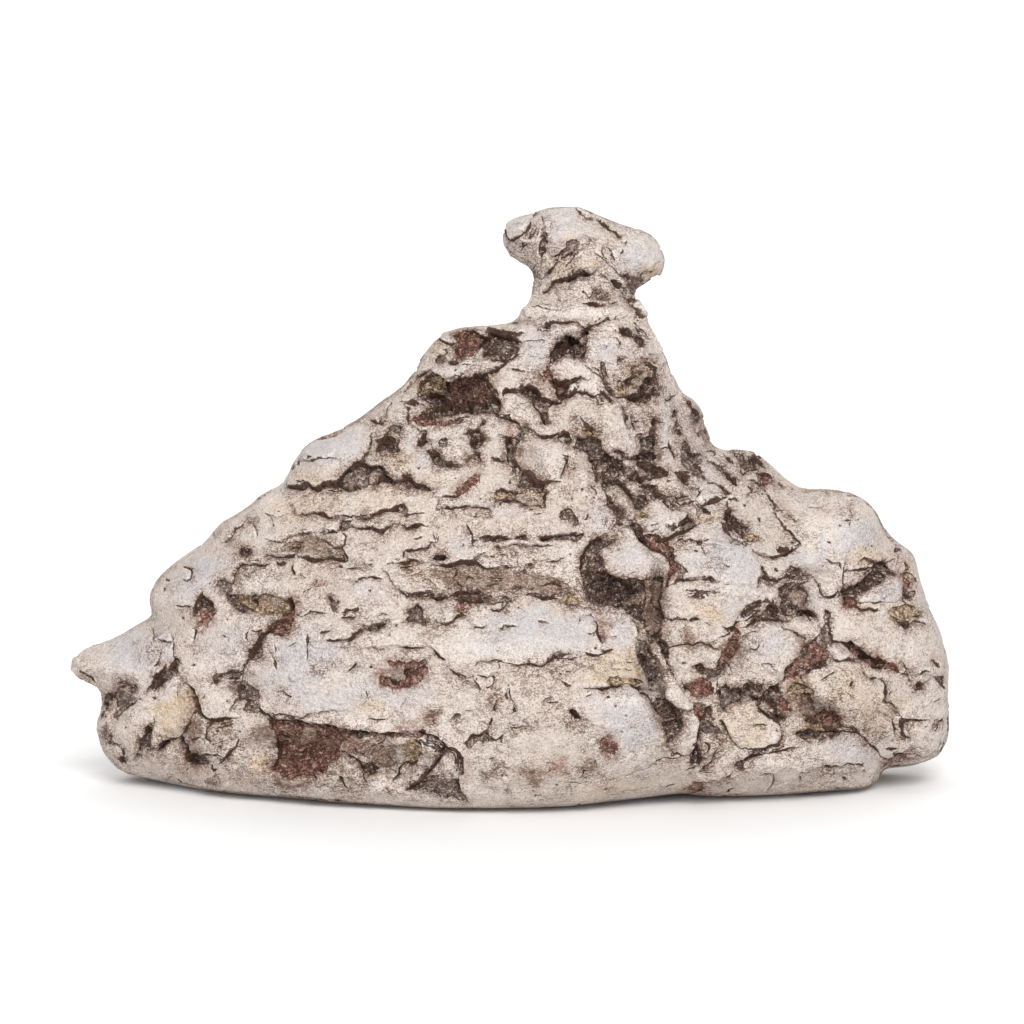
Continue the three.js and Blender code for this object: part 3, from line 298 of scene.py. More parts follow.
 (1.8,5,[(682,397),(686,406),(690,414),(694,422),(697,430),(700,438)]),(1.3,3,[(619,327),(624,332),(630,336),(636,341),(641,346),(645,345)]),
 (1.0,2,[(636,327),(638,332),(642,337)]),(0.8,2,[(640,328),(646,334),(650,339)]),(0.8,2,[(646,341),(650,341)]),
 (1.1,2,[(615,338),(619,341),(620,344),(623,342)]),(0.9,2,[(613,329),(617,331)]),(1.1,3,[(541,327),(546,323),(551,320)]),(0.9,2,[(545,327),(550,329)]),
 (0.8,1.5,[(632,366),(636,370),(634,375)]),(1.1,2,[(638,364),(640,368)]),(0.8,2,[(640,372),(644,376)]),(2.1,6,[(601,452),(608,457),(614,459)]),
 (1.4,4,[(630,494),(634,498),(635,504),(638,509)]),(1.7,4,[(662,502),(668,506),(676,508),(684,511)]),(1.5,4,[(672,497),(680,497),(686,496),(691,498)]),
 (1.1,2.5,[(682,494),(684,497)]),(1.9,5,[(620,485),(627,491),(632,496),(636,500)]),(2.1,6,[(616,523),(622,524),(628,525),(634,527)]),
 (1.9,6,[(634,528),(640,536),(647,544),(655,550),(663,555),(668,562)]),(1.9,5,[(654,539),(664,538),(672,535),(682,531),(692,526),(702,522)]),
 (1.4,4,[(697,500),(700,505),(706,509),(710,514)]),(1.0,3,[(695,502),(697,510),(695,516)]),(1.2,3,[(704,505),(710,502),(716,499),(722,498)]),
 (2.0,6,[(728,521),(735,527),(742,536)]),(0.9,2,[(722,522),(728,530),(736,540)]),(0.9,2,[(726,522),(732,530),(740,538)]),
 (2.0,6,[(698,460),(698,468),(702,474),(708,480)]),(1.6,4,[(706,459),(712,463),(718,465),(722,468),(724,472)]),
 (1.7,5,[(722,468),(726,474),(732,480),(736,484)]),(1.5,4,[(720,484),(725,489),(730,495)]),(1.1,3,[(722,452),(728,458),(736,464)]),
 (1.1,2.5,[(706,452),(712,450),(716,454),(712,456)]),(1.7,5,[(676,474),(682,479),(688,483),(694,486),(700,487)]),
 (1.2,3,[(675,473),(680,473),(684,477),(690,481)]),(1.0,3,[(703,486),(710,483),(718,484),(724,490),(727,498)]),
 (1.0,2.5,[(591,483),(594,489),(597,494)]),(0.8,2,[(594,484),(592,490)]),(1.4,4,[(602,486),(606,492),(610,498),(609,502)]),
 (1.0,2.5,[(602,504),(608,506),(613,511),(615,518),(614,526),(609,532),(602,536)]),(0.9,2,[(590,512),(589,518),(586,522)]),
 (1.0,2,[(585,497),(589,497)]),(1.5,4,[(600,540),(606,537),(612,538),(620,540)]),(1.1,2.5,[(602,535),(612,535),(620,534)]),
 (1.7,5,[(583,552),(588,545),(594,541),(602,538),(612,538)]),(1.0,3,[(674,545),(680,540),(688,539),(694,540)]),
 (0.9,2.5,[(702,546),(703,552),(704,558)]),(0.7,1.5,[(704,545),(712,546),(720,545)]),(1.3,3,[(668,545),(672,550),(670,558),(674,562),(677,568)]),
 (1.7,5,[(668,562),(669,570)]),(1.2,3.5,[(595,461),(594,468),(596,478),(599,484)]),(1.3,4,[(576,436),(577,447),(584,449)]),
 (1.3,3.5,[(583,449),(588,454),(592,460),(594,467)]),(1.1,3,[(668,440),(670,447),(673,454),(674,460)]),(0.9,2,[(659,450),(664,447),(668,448)]),
 (1.1,3,[(637,460),(644,458),(652,462),(655,467),(662,470)]),(1.1,3,[(646,478),(656,478),(664,476),(668,472)]),
 (0.9,2.5,[(672,500),(680,503),(690,502),(696,500)]),(1.0,2.5,[(622,524),(628,520),(636,522)]),(0.9,2,[(648,526),(655,526),(660,524)]),
 (0.9,2,[(666,526),(672,526),(674,532)]),(0.9,2,[(700,486),(700,492),(698,498)]),(0.9,2,[(562,455),(568,458)]),
 (1.0,2.5,[(641,452),(648,453),(654,452)]),(1.3,3,[(752,457),(758,461),(762,465),(767,468)]),(1.4,4,[(741,466),(743,471),(748,470)]),
 (1.0,3,[(749,470),(756,470),(760,469)]),(1.0,2,[(750,454),(754,455),(757,452)]),(1.1,3,[(746,484),(749,488),(750,492),(746,499)]),
 (1.0,2.5,[(748,476),(752,481),(756,486)]),(1.2,3,[(776,481),(781,483),(786,485)]),(0.9,2,[(790,487),(796,486)]),
 (1.2,3,[(763,491),(767,496),(772,500),(775,505),(777,511)]),(1.3,3,[(780,521),(784,525),(787,530),(791,534),(796,537)]),
 (0.8,2,[(791,520),(795,523),(798,519)]),(0.7,1.5,[(772,506),(777,516),(781,524)]),(1.0,3,[(792,535),(797,539),(800,543),(803,546)]),
 (0.8,2,[(791,544),(795,541)]),(1.1,3,[(742,541),(748,542),(756,541),(763,541)]),(1.2,3,[(721,522),(725,530),(732,536),(740,541),(746,545)]),
 (0.8,2,[(740,524),(748,525)]),(1.1,3,[(728,499),(734,499),(738,503)]),(0.8,2,[(727,502),(728,509),(729,514)]),
 (0.8,1.5,[(757,521),(760,520),(761,518)]),(0.9,2,[(848,508),(849,513),(853,516)]),(0.8,2,[(844,520),(850,519),(853,521)]),
 (0.9,2,[(849,524),(851,526)]),(0.6,1.2,[(808,506),(816,508),(824,507)]),(1.3,2,[(864,551),(867,548)]),
 (1.0,2.5,[(895,542),(898,546),(896,551),(901,549),(903,553)]),(0.9,2,[(897,541),(900,546),(903,551)]),(1.0,2.5,[(899,554),(899,560),(898,566)]),
 (1.4,4,[(866,560),(872,562),(877,564),(884,564),(889,563)]),(1.0,3,[(889,563),(893,560),(896,558)]),(1.2,3,[(900,574),(905,573),(911,573)]),
 (0.9,2.5,[(904,597),(904,602)]),(1.0,2,[(909,592),(913,590),(914,595)]),(1.0,2.5,[(906,561),(906,567),(904,571)]),
 (0.9,2,[(911,570),(913,576),(917,583)]),(0.9,2,[(908,563),(909,569)]),
 (1.9,5,[(888,611),(892,616),(898,620),(904,625),(909,628),(912,624),(917,621),(923,623),(929,626)]),(1.2,3,[(888,610),(893,607),(900,606)]),
 (1.0,2.5,[(911,620),(916,616),(922,615),(924,617)]),(1.5,4,[(858,656),(868,659),(880,660),(892,660)]),
 (1.2,3,[(878,678),(882,681),(884,688),(884,696)]),(1.2,3,[(898,662),(903,664),(906,669),(904,672)]),(1.3,4,[(901,673),(906,675),(909,679),(912,681)]),
 (1.2,3,[(916,675),(921,672),(927,672),(931,675),(936,677)]),(1.2,3,[(926,683),(930,679),(934,677)]),(1.1,3,[(943,684),(946,690)]),
 (1.1,3,[(933,659),(936,664),(938,668)]),(1.0,2,[(926,656),(929,654)]),(1.6,4,[(838,720),(842,726),(850,727),(858,729)]),
 (1.5,5,[(828,731),(842,731),(852,731),(860,734),(868,741),(875,747),(880,755),(882,758)]),
 (2.0,5,[(800,774),(808,771),(816,769),(826,768),(836,767),(841,769)]),(1.0,3,[(841,766),(850,764),(858,766),(863,768)]),
 (0.9,2.5,[(862,770),(866,772)]),(1.3,3,[(801,775),(802,780)]),(1.0,2,[(846,788),(847,790)]),(0.9,2,[(860,763),(863,764)]),
 (1.2,3,[(884,690),(885,696),(883,702)]),(1.1,3,[(880,704),(884,701),(890,704),(895,709),(897,714),(899,717)]),
 (1.4,4,[(890,700),(894,706),(898,712),(902,718)]),(1.2,3,[(893,720),(895,728),(896,738)]),(1.5,4,[(901,720),(902,728),(904,736),(909,739),(914,739)]),
 (1.3,3,[(901,720),(910,721),(920,720),(926,719)]),(1.1,3,[(926,732),(930,725),(933,720),(938,718)]),(1.5,4,[(941,716),(936,722),(934,728),(933,734)]),
 (1.0,2.5,[(921,740),(923,736)]),(1.4,3,[(885,749),(892,748),(898,749)]),(1.9,5,[(883,759),(890,758),(896,756),(902,753),(908,751),(918,748)]),
 (1.4,4,[(903,761),(908,759),(914,756),(920,758),(923,760)]),(0.8,2,[(881,713),(886,715),(890,716)]),(0.9,2,[(870,716),(875,713),(877,709)]),
 (0.8,1.5,[(882,728),(888,727)]),(1.3,2.5,[(852,682),(850,687)]),(0.8,2,[(846,692),(852,697),(856,700)]),(0.9,2.5,[(934,704),(938,701),(942,698)]),
 (1.6,5,[(800,698),(806,696),(812,698)]),(0.7,1.5,[(848,712),(856,710),(862,712)]),
 (1.3,3.5,[(751.5,546.5),(756.5,551),(765,554.2),(772,556.2),(778,555.4),(784,554.2),(791,552.4),(796,550),(798,547)]),
 (1.4,4,[(861,663),(863,668.5),(865,674),(868.3,677),(873.6,677.6),(878,678.7)]),(0.9,3,[(380,564.7),(394,563.3),(408,561.9),(421,561.9),(432,564)]),
 (0.9,2.5,[(493,566.8),(507,566.8),(521,567.5)]),
 (1.2,4,[(382,567.5),(388.5,574.6),(395.5,585),(402.6,593.6),(412.4,595.7),(422.3,596.4),(436.4,596.4),(450.5,597.1),(464.6,600),(478.7,602),(490,602),(501.3,602.8),(511,604.2)]),
 (1.3,3.5,[(521,597),(528,594.5),(542,596.5),(556,599),(563,602),(572,605),(583,606.3),(596,608.5)]),
]
# depth, floor (0 grey-brown, 1 rust, 2 ochre, 3 near black, 4 stippled bed), outline
# the dark floors, near black most of all, are partly painted shade deep in the hollows and under overhangs such as the
# knobs' undersides; the stippled beds go into the dirt and shade mask as painted shade on recessed bands and under
# bosses
PITS = [
 (5,0,[(391,427),(395,426),(402,429),(400,434),(402,439),(397,437),(394,433),(390,430)]),
 (7,3,[(380,443),(385,441),(391,438),(396,439),(400,441),(398,446),(398,451),(390,452),(382,452),(376,452),(380,448)]),
 (5,2,[(228,595),(240,595),(250,595),(262,594),(272,594),(280,597),(288,600),(292,605),(290,611),(280,614),(265,614),(250,613),(240,608),(233,601)]),
 (8,1,[(288,598),(294,600),(295,610),(294,622),(290,632),(280,634),(268,630),(272,622),(282,614),(288,610)]),
 (0.8,1,[(313,583),(318,580),(325,581),(328,585),(320,587),(313,586)]),(4,0,[(328,598),(331,596),(335,600),(340,602),(336,608),(333,610),(329,603)]),
 (5,0,[(360,625),(370,623),(380,624),(388,622),(386,627),(375,630),(364,628)]),
 (6,0,[(408,610),(412,608),(416,604),(420,606),(422,612),(425,617),(430,620),(428,622),(420,622),(410,621),(410,615)]),
 (1,1,[(448,610),(455,605),(465,603),(470,606),(466,612),(456,614)]),
 (12,3,[(596,540),(606,538),(618,540),(610,545),(603,548),(600,556),(604,560),(605,568),(610,575),(617,579),(625,580),(640,579),(655,579),(662,578),(661,585),(660,600),(662,612),(661,622),(660,632),(663,640),(668,648),(665,655),(660,648),(655,645),(648,646),(647,640),(645,630),(641,622),(635,616),(625,610),(615,608),(600,607),(590,604),(586,596),(583,585),(582,572),(583,558),(588,547)]),
 (4,1,[(667,552),(672,556),(675,563),(678,568),(675,575),(670,578),(668,585),(664,584),(668,574),(669,564)]),
 (7,0,[(282,620),(290,625),(290,632),(278,632),(270,633),(268,638),(264,645),(263,652),(262,658),(255,660),(249,660),(251,653),(254,647),(259,641),(261,636),(268,631),(274,624)]),
 (8,3,[(765,694),(768,688),(773,686),(779,688),(780,694),(777,702),(775,712),(780,718),(786,714),(783,722),(778,720),(772,708),(766,700),(760,702),(762,697)]),
 (3,1,[(778,690),(786,697),(790,705),(788,712),(780,716),(776,708),(778,700)]),
 (5,3,[(203,592),(206,597),(211,602),(214,606),(210,612),(204,604),(200,608),(196,616),(193,617),(195,608),(198,601),(201,597)]),
 (3,1,[(201,606),(207,603),(214,605),(216,610),(213,619),(208,624),(201,628),(197,624),(200,617),(199,611)]),
 (5,0,[(218,578),(232,580),(233,590),(228,595),(221,591),(216,587)]),
 (6,3,[(227,594),(236,594),(242,600),(250,606),(256,612),(246,612),(240,612),(234,604),(229,599)]),
 (5,0,[(163,668),(165,664),(167,669),(171,674),(168,679),(164,683),(158,689),(160,682),(161,675)]),
 (5,0,[(172,663),(174,660),(178,664),(177,672),(173,671),(170,668)]),(4,3,[(157,676),(159,681),(155,687),(151,690),(150,688),(154,682)]),
 (6,3,[(120,680),(124,682),(128,679),(130,684),(134,685),(138,690),(134,694),(130,692),(127,687),(122,689),(118,690),(120,685)]),
 (3,0,[(116,692),(122,689),(128,693),(136,696),(140,697),(133,703),(127,710),(121,719),(119,724),(117,716),(119,706),(117,700),(114,697)]),
 (4,3,[(104,697),(109,695),(114,694),(113,700),(107,702),(103,701)]),(6,3,[(103,706),(108,704),(111,707),(110,714),(105,716),(102,713)]),
 (4,0,[(103,730),(108,727),(111,734),(115,740),(119,744),(115,746),(109,742),(105,736)]),(4,3,[(121,757),(125,758),(124,763),(121,763)]),
 (7,0,[(142,737),(147,728),(151,727),(150,735),(151,745),(147,748),(143,753),(139,752),(139,745)]),
 (6,3,[(160,743),(167,738),(168,743),(163,746),(159,748)]),(6,3,[(190,756),(195,754),(200,757),(205,760),(208,764),(200,764),(193,762),(189,760)]),
 (3,0,[(213,681),(216,676),(224,673),(234,671),(240,672),(238,677),(228,678),(221,683),(216,686)]),
 (3,4,[(227,687),(230,682),(240,681),(240,691),(232,690)]),(2,4,[(206,782),(210,777),(217,776),(218,783),(214,787),(208,787)]),
 (1.5,4,[(186,722),(194,716),(202,724),(206,732),(202,738),(193,738),(187,733)]),(5,0,[(251,648),(263,650),(262,656),(258,659),(250,660),(248,657)]),
 (6,0,[(238,686),(246,684),(252,688),(258,689),(259,694),(254,698),(246,699),(238,699)]),
 (3,0,[(244,708),(250,705),(258,706),(260,710),(252,712),(245,711)]),
 (7,1,[(268,722),(275,720),(290,722),(305,724),(320,727),(340,729),(352,731),(348,738),(342,746),(341,753),(336,758),(330,762),(326,768),(322,772),(312,774),(305,774),(298,778),(290,780),(282,776),(276,770),(270,767),(278,760),(280,752),(277,745),(276,738),(270,730)]),
 (6,3,[(357,731),(366,732),(368,735),(362,740),(358,738)]),(3,2,[(404,742),(410,738),(416,739),(420,744),(420,756),(414,760),(406,758),(402,750)]),
 (3,1,[(388,734),(396,732),(404,733),(412,735),(406,739),(397,739),(391,738)]),
 (6,3,[(364,766),(368,763),(374,765),(378,770),(373,773),(368,774),(364,771)]),(5,3,[(407,790),(410,785),(416,782),(424,779),(424,789),(412,789)]),
 (1,4,[(262,724),(268,726),(274,736),(275,744),(268,742),(258,742),(250,736),(254,728)]),
 (2,4,[(344,742),(352,734),(360,741),(372,735),(388,735),(398,742),(396,752),(398,764),(390,770),(380,764),(372,760),(362,758),(352,752)]),
 (2,4,[(330,762),(336,760),(344,766),(350,772),(344,775),(336,770)]),
 (1,4,[(276,772),(290,782),(300,780),(308,776),(312,782),(304,790),(292,794),(280,790),(272,782)]),
 (3,1,[(386,661),(400,660),(416,661),(427,661),(424,667),(412,668),(404,667),(390,668)]),
 (5,1,[(406,671),(412,669),(420,670),(425,668),(426,674),(422,679),(414,684),(404,688),(392,686),(381,684),(379,676),(386,676),(396,681),(403,682)]),
 (2.5,0,[(461,680),(467,680),(472,684),(476,688),(480,690),(474,689),(468,686)]),
 (5,3,[(553,658),(557,653),(562,655),(568,655),(563,657),(560,660),(556,659)]),(4,3,[(513,705),(516,708),(517,711),(514,711),(512,708)]),
 (1.2,4,[(424,713),(430,710),(437,708),(441,712),(437,720),(431,725),(424,722)]),(2.5,0,[(452,719),(457,715),(461,717),(458,722),(456,727),(453,724)]),
 (3,0,[(468,741),(474,738),(480,736),(487,733),(489,738),(484,741),(476,742),(472,745),(468,745)]),
 (4,3,[(573,711),(578,714),(582,718),(583,721),(577,719),(575,716)]),
 (1.2,4,[(520,768),(528,768),(537,770),(542,776),(538,786),(530,785),(524,778),(519,773)]),
 (2,4,[(482,777),(488,773),(495,768),(500,766),(499,772),(497,778),(490,779),(487,783)]),(1.5,0,[(505,788),(509,787),(512,792),(511,796),(506,795)]),
 (2.5,1,[(400,733),(410,734),(418,733),(424,728),(426,733),(418,737),(408,738),(400,737)]),
 (7,3,[(440,750),(445,745),(447,751),(444,756),(440,760),(437,764),(434,769),(430,774),(426,779),(421,780),(424,775),(429,767),(434,760),(438,755)]),
 (4,0,[(408,786),(414,783),(421,781),(428,777),(436,774),(441,775),(450,780),(457,784),(458,790),(464,796),(468,800),(458,800),(450,799),(440,795),(430,792),(420,790),(410,789)]),
 (5,3,[(622,607),(628,606),(636,611),(642,614),(645,620),(640,621),(634,618),(628,613)]),
 (4,1,[(645,582),(653,580),(660,582),(660,594),(656,600),(647,601),(643,596),(645,588)]),
 (4,1,[(642,604),(648,602),(656,601),(657,612),(655,619),(647,619),(641,614)]),
 (3,2,[(646,620),(656,619),(661,625),(662,636),(660,645),(652,642),(647,636),(645,628)]),
 (6,0,[(641,640),(646,641),(649,648),(653,655),(658,662),(662,671),(661,677),(655,680),(653,686),(649,684),(645,677),(642,670),(640,660),(640,648)]),
 (5,3,[(661,650),(665,648),(667,653),(667,662),(669,668),(665,664),(662,657)]),
 (3,4,[(655,681),(662,679),(664,688),(666,696),(668,700),(660,700),(656,694)]),
 (5,3,[(652,697),(660,699),(668,702),(674,706),(680,711),(678,716),(670,718),(660,718),(656,712),(653,704)]),
 (1.2,4,[(597,620),(604,619),(614,621),(612,626),(604,627),(605,634),(603,642),(598,640),(597,630)]),
 (2.5,2,[(606,681),(612,677),(620,677),(630,679),(640,683),(636,686),(626,686),(614,686),(607,684)]),
 (3,2,[(561,600),(567,594),(574,593),(580,598),(583,604),(576,605),(568,604)]),(2,4,[(585,560),(600,560),(604,566),(602,571),(592,570),(586,570)]),
 (1.5,4,[(667,562),(674,560),(680,564),(684,572),(680,580),(672,582),(664,584),(664,574)]),
 (1.2,4,[(682,634),(688,628),(693,632),(694,640),(689,646),(683,642)]),
 (4,1,[(716,668),(720,660),(723,652),(728,647),(732,640),(737,632),(740,640),(738,650),(732,657),(727,663),(722,668)]),
 (5,3,[(694,668),(698,664),(704,666),(712,669),(722,668),(720,674),(712,676),(702,674)]),
 (3,1,[(700,675),(706,676),(710,683),(711,691),(706,696),(700,698),(692,694),(686,688),(683,682),(690,684),(697,680)]),
 (6,0,[(721,692),(726,686),(732,688),(740,688),(740,700),(733,702),(727,706),(725,711),(721,708),(720,700)]),
 (2.5,1,[(693,706),(700,702),(706,706),(712,708),(710,716),(702,720),(694,716)]),
 (3,0,[(761,566),(765,573),(770,578),(778,579),(777,584),(772,587),(766,585),(762,578)]),
 (4,3,[(784,575),(787,568),(793,567),(800,570),(806,574),(812,576),(804,578),(794,578),(786,578)]),
 (7,3,[(781,586),(790,584),(800,584),(806,588),(808,596),(806,604),(800,608),(808,611),(814,615),(806,617),(796,616),(788,617),(781,613),(780,604),(779,594)]),
 (2,2,[(740,613),(743,608),(749,603),(756,600),(761,603),(758,607),(752,609),(746,612),(742,616)]),
 (6,3,[(760,614),(766,608),(772,605),(777,609),(778,616),(772,618),(764,620),(757,622),(752,623),(754,620)]),
 (3,0,[(825,610),(829,611),(830,620),(832,630),(833,640),(830,646),(824,644),(822,638),(825,628),(824,618)]),
 (4,1,[(802,650),(806,646),(812,640),(816,642),(820,646),(828,644),(830,652),(828,660),(822,666),(814,668),(806,672),(798,676),(790,680),(785,676),(787,668),(793,662),(799,657)]),
 (6,3,[(799,652),(803,648),(808,646),(809,652),(806,660),(800,660)]),
 (4,3,[(800,676),(808,670),(816,664),(822,661),(826,662),(818,668),(808,674),(801,679)]),
 (4,1,[(846,644),(854,646),(860,652),(868,657),(882,659),(884,667),(872,667),(866,662),(858,658),(850,650)]),
 (7,3,[(880,570),(882,582),(870,588),(860,593),(850,594),(844,598),(842,592),(850,588),(860,584),(868,576)]),
 (6,1,[(843,593),(849,594),(855,598),(854,606),(846,608),(844,602)]),(4,0,[(743,684),(750,684),(752,690),(746,690)]),
 (4,0,[(755,684),(762,682),(762,690),(756,691)]),(4,0,[(752,695),(760,697),(765,702),(754,702)]),
 (6,3,[(765,696),(769,688),(776,685),(781,690),(781,702),(768,703)]),
 (5,2,[(788,688),(796,683),(804,685),(812,689),(815,694),(806,699),(796,700),(788,697)]),
 (6,3,[(660,724),(668,722),(678,720),(683,724),(680,732),(673,738),(672,746),(668,746),(664,736)]),
 (5,0,[(702,718),(708,719),(713,724),(720,728),(718,733),(710,732),(703,730)]),(4,3,[(702,708),(708,705),(712,710),(712,720),(706,717)]),
 (5,3,[(696,746),(699,750),(700,760),(693,762),(694,754)]),(2.5,1,[(682,790),(692,784),(702,782),(712,781),(706,788),(698,794),(690,795)]),
 (1.2,1,[(602,740),(610,736),(620,742),(618,754),(608,759),(601,755)]),(1.0,4,[(582,766),(592,758),(600,760),(598,768),(590,773),(583,773)]),
 (4,3,[(736,765),(740,763),(742,769),(738,770)]),
 (8,0,[(362,460),(367,466),(374,469),(381,467),(385,473),(380,474),(372,473),(368,477),(369,483),(360,486),(352,488),(344,485),(338,484),(344,474),(352,467)]),
 (8,3,[(381,467),(385,473),(392,477),(400,479),(405,476),(412,478),(420,482),(428,487),(432,491),(420,490),(410,489),(400,485),(390,484),(384,484),(380,487),(374,487),(380,483),(384,478)]),
 (6,3,[(381,440),(385,446),(392,445),(396,441),(398,447),(396,452),(388,452),(380,453),(374,452),(378,446)]),
 (4,3,[(352,516),(360,516),(366,514),(371,518),(366,520),(360,519)]),(2.5,0,[(396,508),(403,505),(408,509),(406,512),(398,511)]),
 (2.5,3,[(290,504),(294,505),(296,510),(299,513),(294,512)]),(2.0,0,[(341,521),(350,521),(352,524),(344,530),(341,529)]),
 (2.5,4,[(284,540),(300,536),(318,536),(326,540),(334,546),(342,546),(345,556),(346,560),(330,559),(316,557),(300,555),(286,553),(264,554),(272,548),(282,543)]),
 (6,3,[(240,548),(247,546),(250,550),(247,556),(240,556)]),(1.5,4,[(244,519),(256,518),(256,524),(250,526),(245,524)]),
 (5,0,[(421,440),(428,440),(427,444),(423,447),(419,446)]),(3,0,[(441,442),(447,441),(449,445),(446,448),(441,447)]),
 (6,0,[(471,440),(486,439),(480,443),(478,448),(475,452),(472,447)]),
 (6,0,[(430,455),(438,454),(442,457),(446,463),(452,463),(458,464),(464,465),(458,467),(450,466),(446,468),(441,468),(436,466),(432,461)]),
 (6,3,[(464,460),(465,455),(472,454),(478,452),(480,456),(480,461),(472,460),(469,464),(465,462)]),
 (8,0,[(507,440),(511,440),(513,448),(516,452),(513,458),(516,464),(522,470),(530,475),(536,480),(544,483),(541,491),(530,490),(522,490),(517,488),(519,481),(514,474),(511,466),(508,458),(507,450)]),
 (2.5,1,[(478,474),(478,482),(472,486),(468,492),(460,494),(456,490),(462,484),(466,480),(472,474)]),
 (3,2,[(494,494),(500,491),(508,490),(516,491),(526,491),(536,491),(546,490),(545,498),(546,506),(540,505),(530,504),(520,500),(510,499),(500,501),(493,503)]),
 (2.5,0,[(480,537),(488,537),(500,536),(512,537),(511,540),(500,540),(490,541),(481,541)]),(4,3,[(518,538),(522,534),(527,536),(528,540),(520,540)]),
 (3.5,0,[(541,538),(550,535),(560,535),(572,535),(581,535),(580,539),(570,541),(562,540),(552,539),(545,540)]),
 (4,3,[(495,545),(501,545),(501,549),(504,553),(500,553),(496,550)]),(1.5,0,[(502,548),(514,547),(520,552),(524,551),(520,557),(510,559),(507,553)]),
 (1.5,0,[(481,555),(487,555),(489,558),(483,557)]),(5,3,[(431,560),(434,557),(439,555),(443,557),(445,560),(438,560)]),
 (2.2,4,[(430,568),(450,566),(476,565),(500,569),(530,573),(560,580),(575,590),(560,598),(530,597),(500,594),(470,592),(450,589),(436,580)]),
 (3,1,[(452,593),(462,590),(476,592),(482,591),(488,596),(496,600),(476,602),(460,600)]),(4,3,[(513,587),(517,585),(521,588),(519,592),(514,591)]),
 (3,0,[(561,515),(566,509),(572,510),(577,516),(580,522),(576,526),(570,520),(564,519)]),
 (3.5,3,[(425,590),(436,592),(446,594),(452,597),(440,599),(428,596)]),(4,3,[(544,232),(547,233),(548,239),(546,244),(544,240)]),
 (1.8,0,[(566,243),(572,241),(578,243),(580,248),(577,255),(570,256),(566,251)]),
 (3,3,[(562,280),(568,277),(574,273),(581,270),(588,272),(596,270),(598,272),(592,275),(584,277),(576,279),(568,281)]),
 (4,3,[(620,276),(630,276),(628,280),(623,280)]),(5,0,[(622,288),(628,282),(632,278),(640,276),(640,284),(636,290),(632,298),(628,297),(622,294)]),
 (2.5,3,[(595,286),(600,290),(608,292),(612,297),(606,302),(598,301),(592,298),(594,292)]),(3,3,[(585,326),(592,324),(592,330),(587,331)]),
 (3,3,[(543,325),(548,323),(550,327),(544,328)]),
 (5,1,[(452,336),(458,333),(466,331),(474,333),(480,335),(484,338),(480,342),(478,348),(476,354),(470,358),(462,359),(456,358),(453,352),(458,348),(456,342)]),
 (6,3,[(480,342),(488,338),(490,334),(496,334),(504,335),(512,337),(518,340),(508,340),(498,340),(492,342),(492,348),(486,352),(480,350)]),
 (3,0,[(492,338),(504,339),(514,342),(520,342),(519,350),(514,358),(508,362),(498,360),(488,359),(482,358),(488,352),(494,346)]),
 (3,3,[(501,357),(505,356),(505,359),(502,359)]),(3,0,[(436,360),(440,356),(444,358),(444,363),(438,364)]),
 (11,1,[(446,383),(458,382),(468,380),(478,376),(485,376),(489,382),(491,390),(492,398),(486,402),(476,400),(466,400),(456,401),(450,398),(447,391)]),
 (10,3,[(440,404),(450,401),(462,401),(476,401),(488,402),(494,398),(499,404),(499,412),(492,412),(494,416),(486,416),(478,414),(470,413),(460,415),(450,419),(440,421),(432,420),(428,414),(434,408)]),
 (6,2,[(420,384),(426,378),(434,377),(442,380),(447,384),(446,391),(438,392),(430,390),(424,393),(420,391)]),
 (7,3,[(422,396),(430,394),(438,396),(446,399),(450,401),(446,406),(438,405),(430,402),(423,401)]),
 (5,1,[(410,420),(416,417),(424,413),(430,416),(436,420),(444,422),(452,421),(448,425),(440,427),(430,427),(420,425),(412,422)]),
 (5,2,[(424,413),(428,406),(434,406),(438,412),(438,418),(430,416)]),(5,3,[(492,411),(497,413),(502,417),(494,415)]),
 (4,3,[(411,405),(416,402),(419,404),(415,407)]),(4,0,[(426,432),(428,436),(426,442),(421,446),(419,444),(423,438)]),
 (6,0,[(471,432),(476,430),(479,433),(484,439),(487,440),(480,444),(477,450),(474,449),(472,441)]),
 (9,3,[(519,391),(524,388),(530,388),(537,392),(543,398),(550,400),(561,401),(561,404),(550,406),(543,408),(537,406),(532,402),(526,396)]),
 (4,0,[(521,424),(526,422),(530,427),(528,432),(523,438),(520,444),(517,440),(519,432)]),
 (7,3,[(507,440),(511,439),(512,444),(512,450),(506,450),(505,445)]),(4,3,[(541,414),(546,412),(549,418),(552,424),(548,426),(543,422)]),
 (4,1,[(541,374),(547,370),(552,373),(551,380),(546,379)]),(5,1,[(551,382),(556,380),(563,384),(563,392),(556,388)]),
 (6,3,[(553,350),(557,346),(563,344),(563,356),(556,358),(552,362),(549,360)]),
 (8,3,[(585,330),(588,332),(587,345),(585,360),(578,360),(572,357),(567,357),(563,356),(560,358),(556,358),(556,350),(560,346),(564,346),(568,343),(570,338),(576,340),(580,334)]),
 (6,1,[(552,381),(558,383),(564,384),(566,388),(563,393),(566,396),(562,398),(558,394),(556,388)]),
 (5,3,[(560,393),(566,394),(568,397),(562,399),(559,398)]),
 (6,3,[(601,366),(604,374),(607,381),(611,386),(613,392),(616,398),(611,396),(607,390),(604,384),(602,376)]),
 (3,3,[(620,360),(623,358),(626,359),(623,361)]),(3,2,[(614,384),(620,381),(630,380),(631,386),(629,393),(628,396),(620,397),(615,392)]),
 (6,3,[(640,386),(646,386),(649,392),(650,398),(646,402),(640,402),(634,402),(630,400),(636,398),(643,396),(641,391)]),
 (5,3,[(646,380),(652,381),(658,379),(659,386),(656,393),(654,397),(651,392),(648,387)]),
 (1.5,4,[(630,363),(636,362),(640,366),(645,372),(644,378),(636,378),(632,372)]),
 (6,3,[(631,414),(633,418),(633,424),(636,430),(633,430),(631,424),(630,418)]),
 (6,3,[(650,420),(655,420),(655,426),(656,432),(654,436),(650,436),(650,430),(652,426)]),(4,3,[(672,412),(676,410),(678,414),(675,417),(673,416)]),
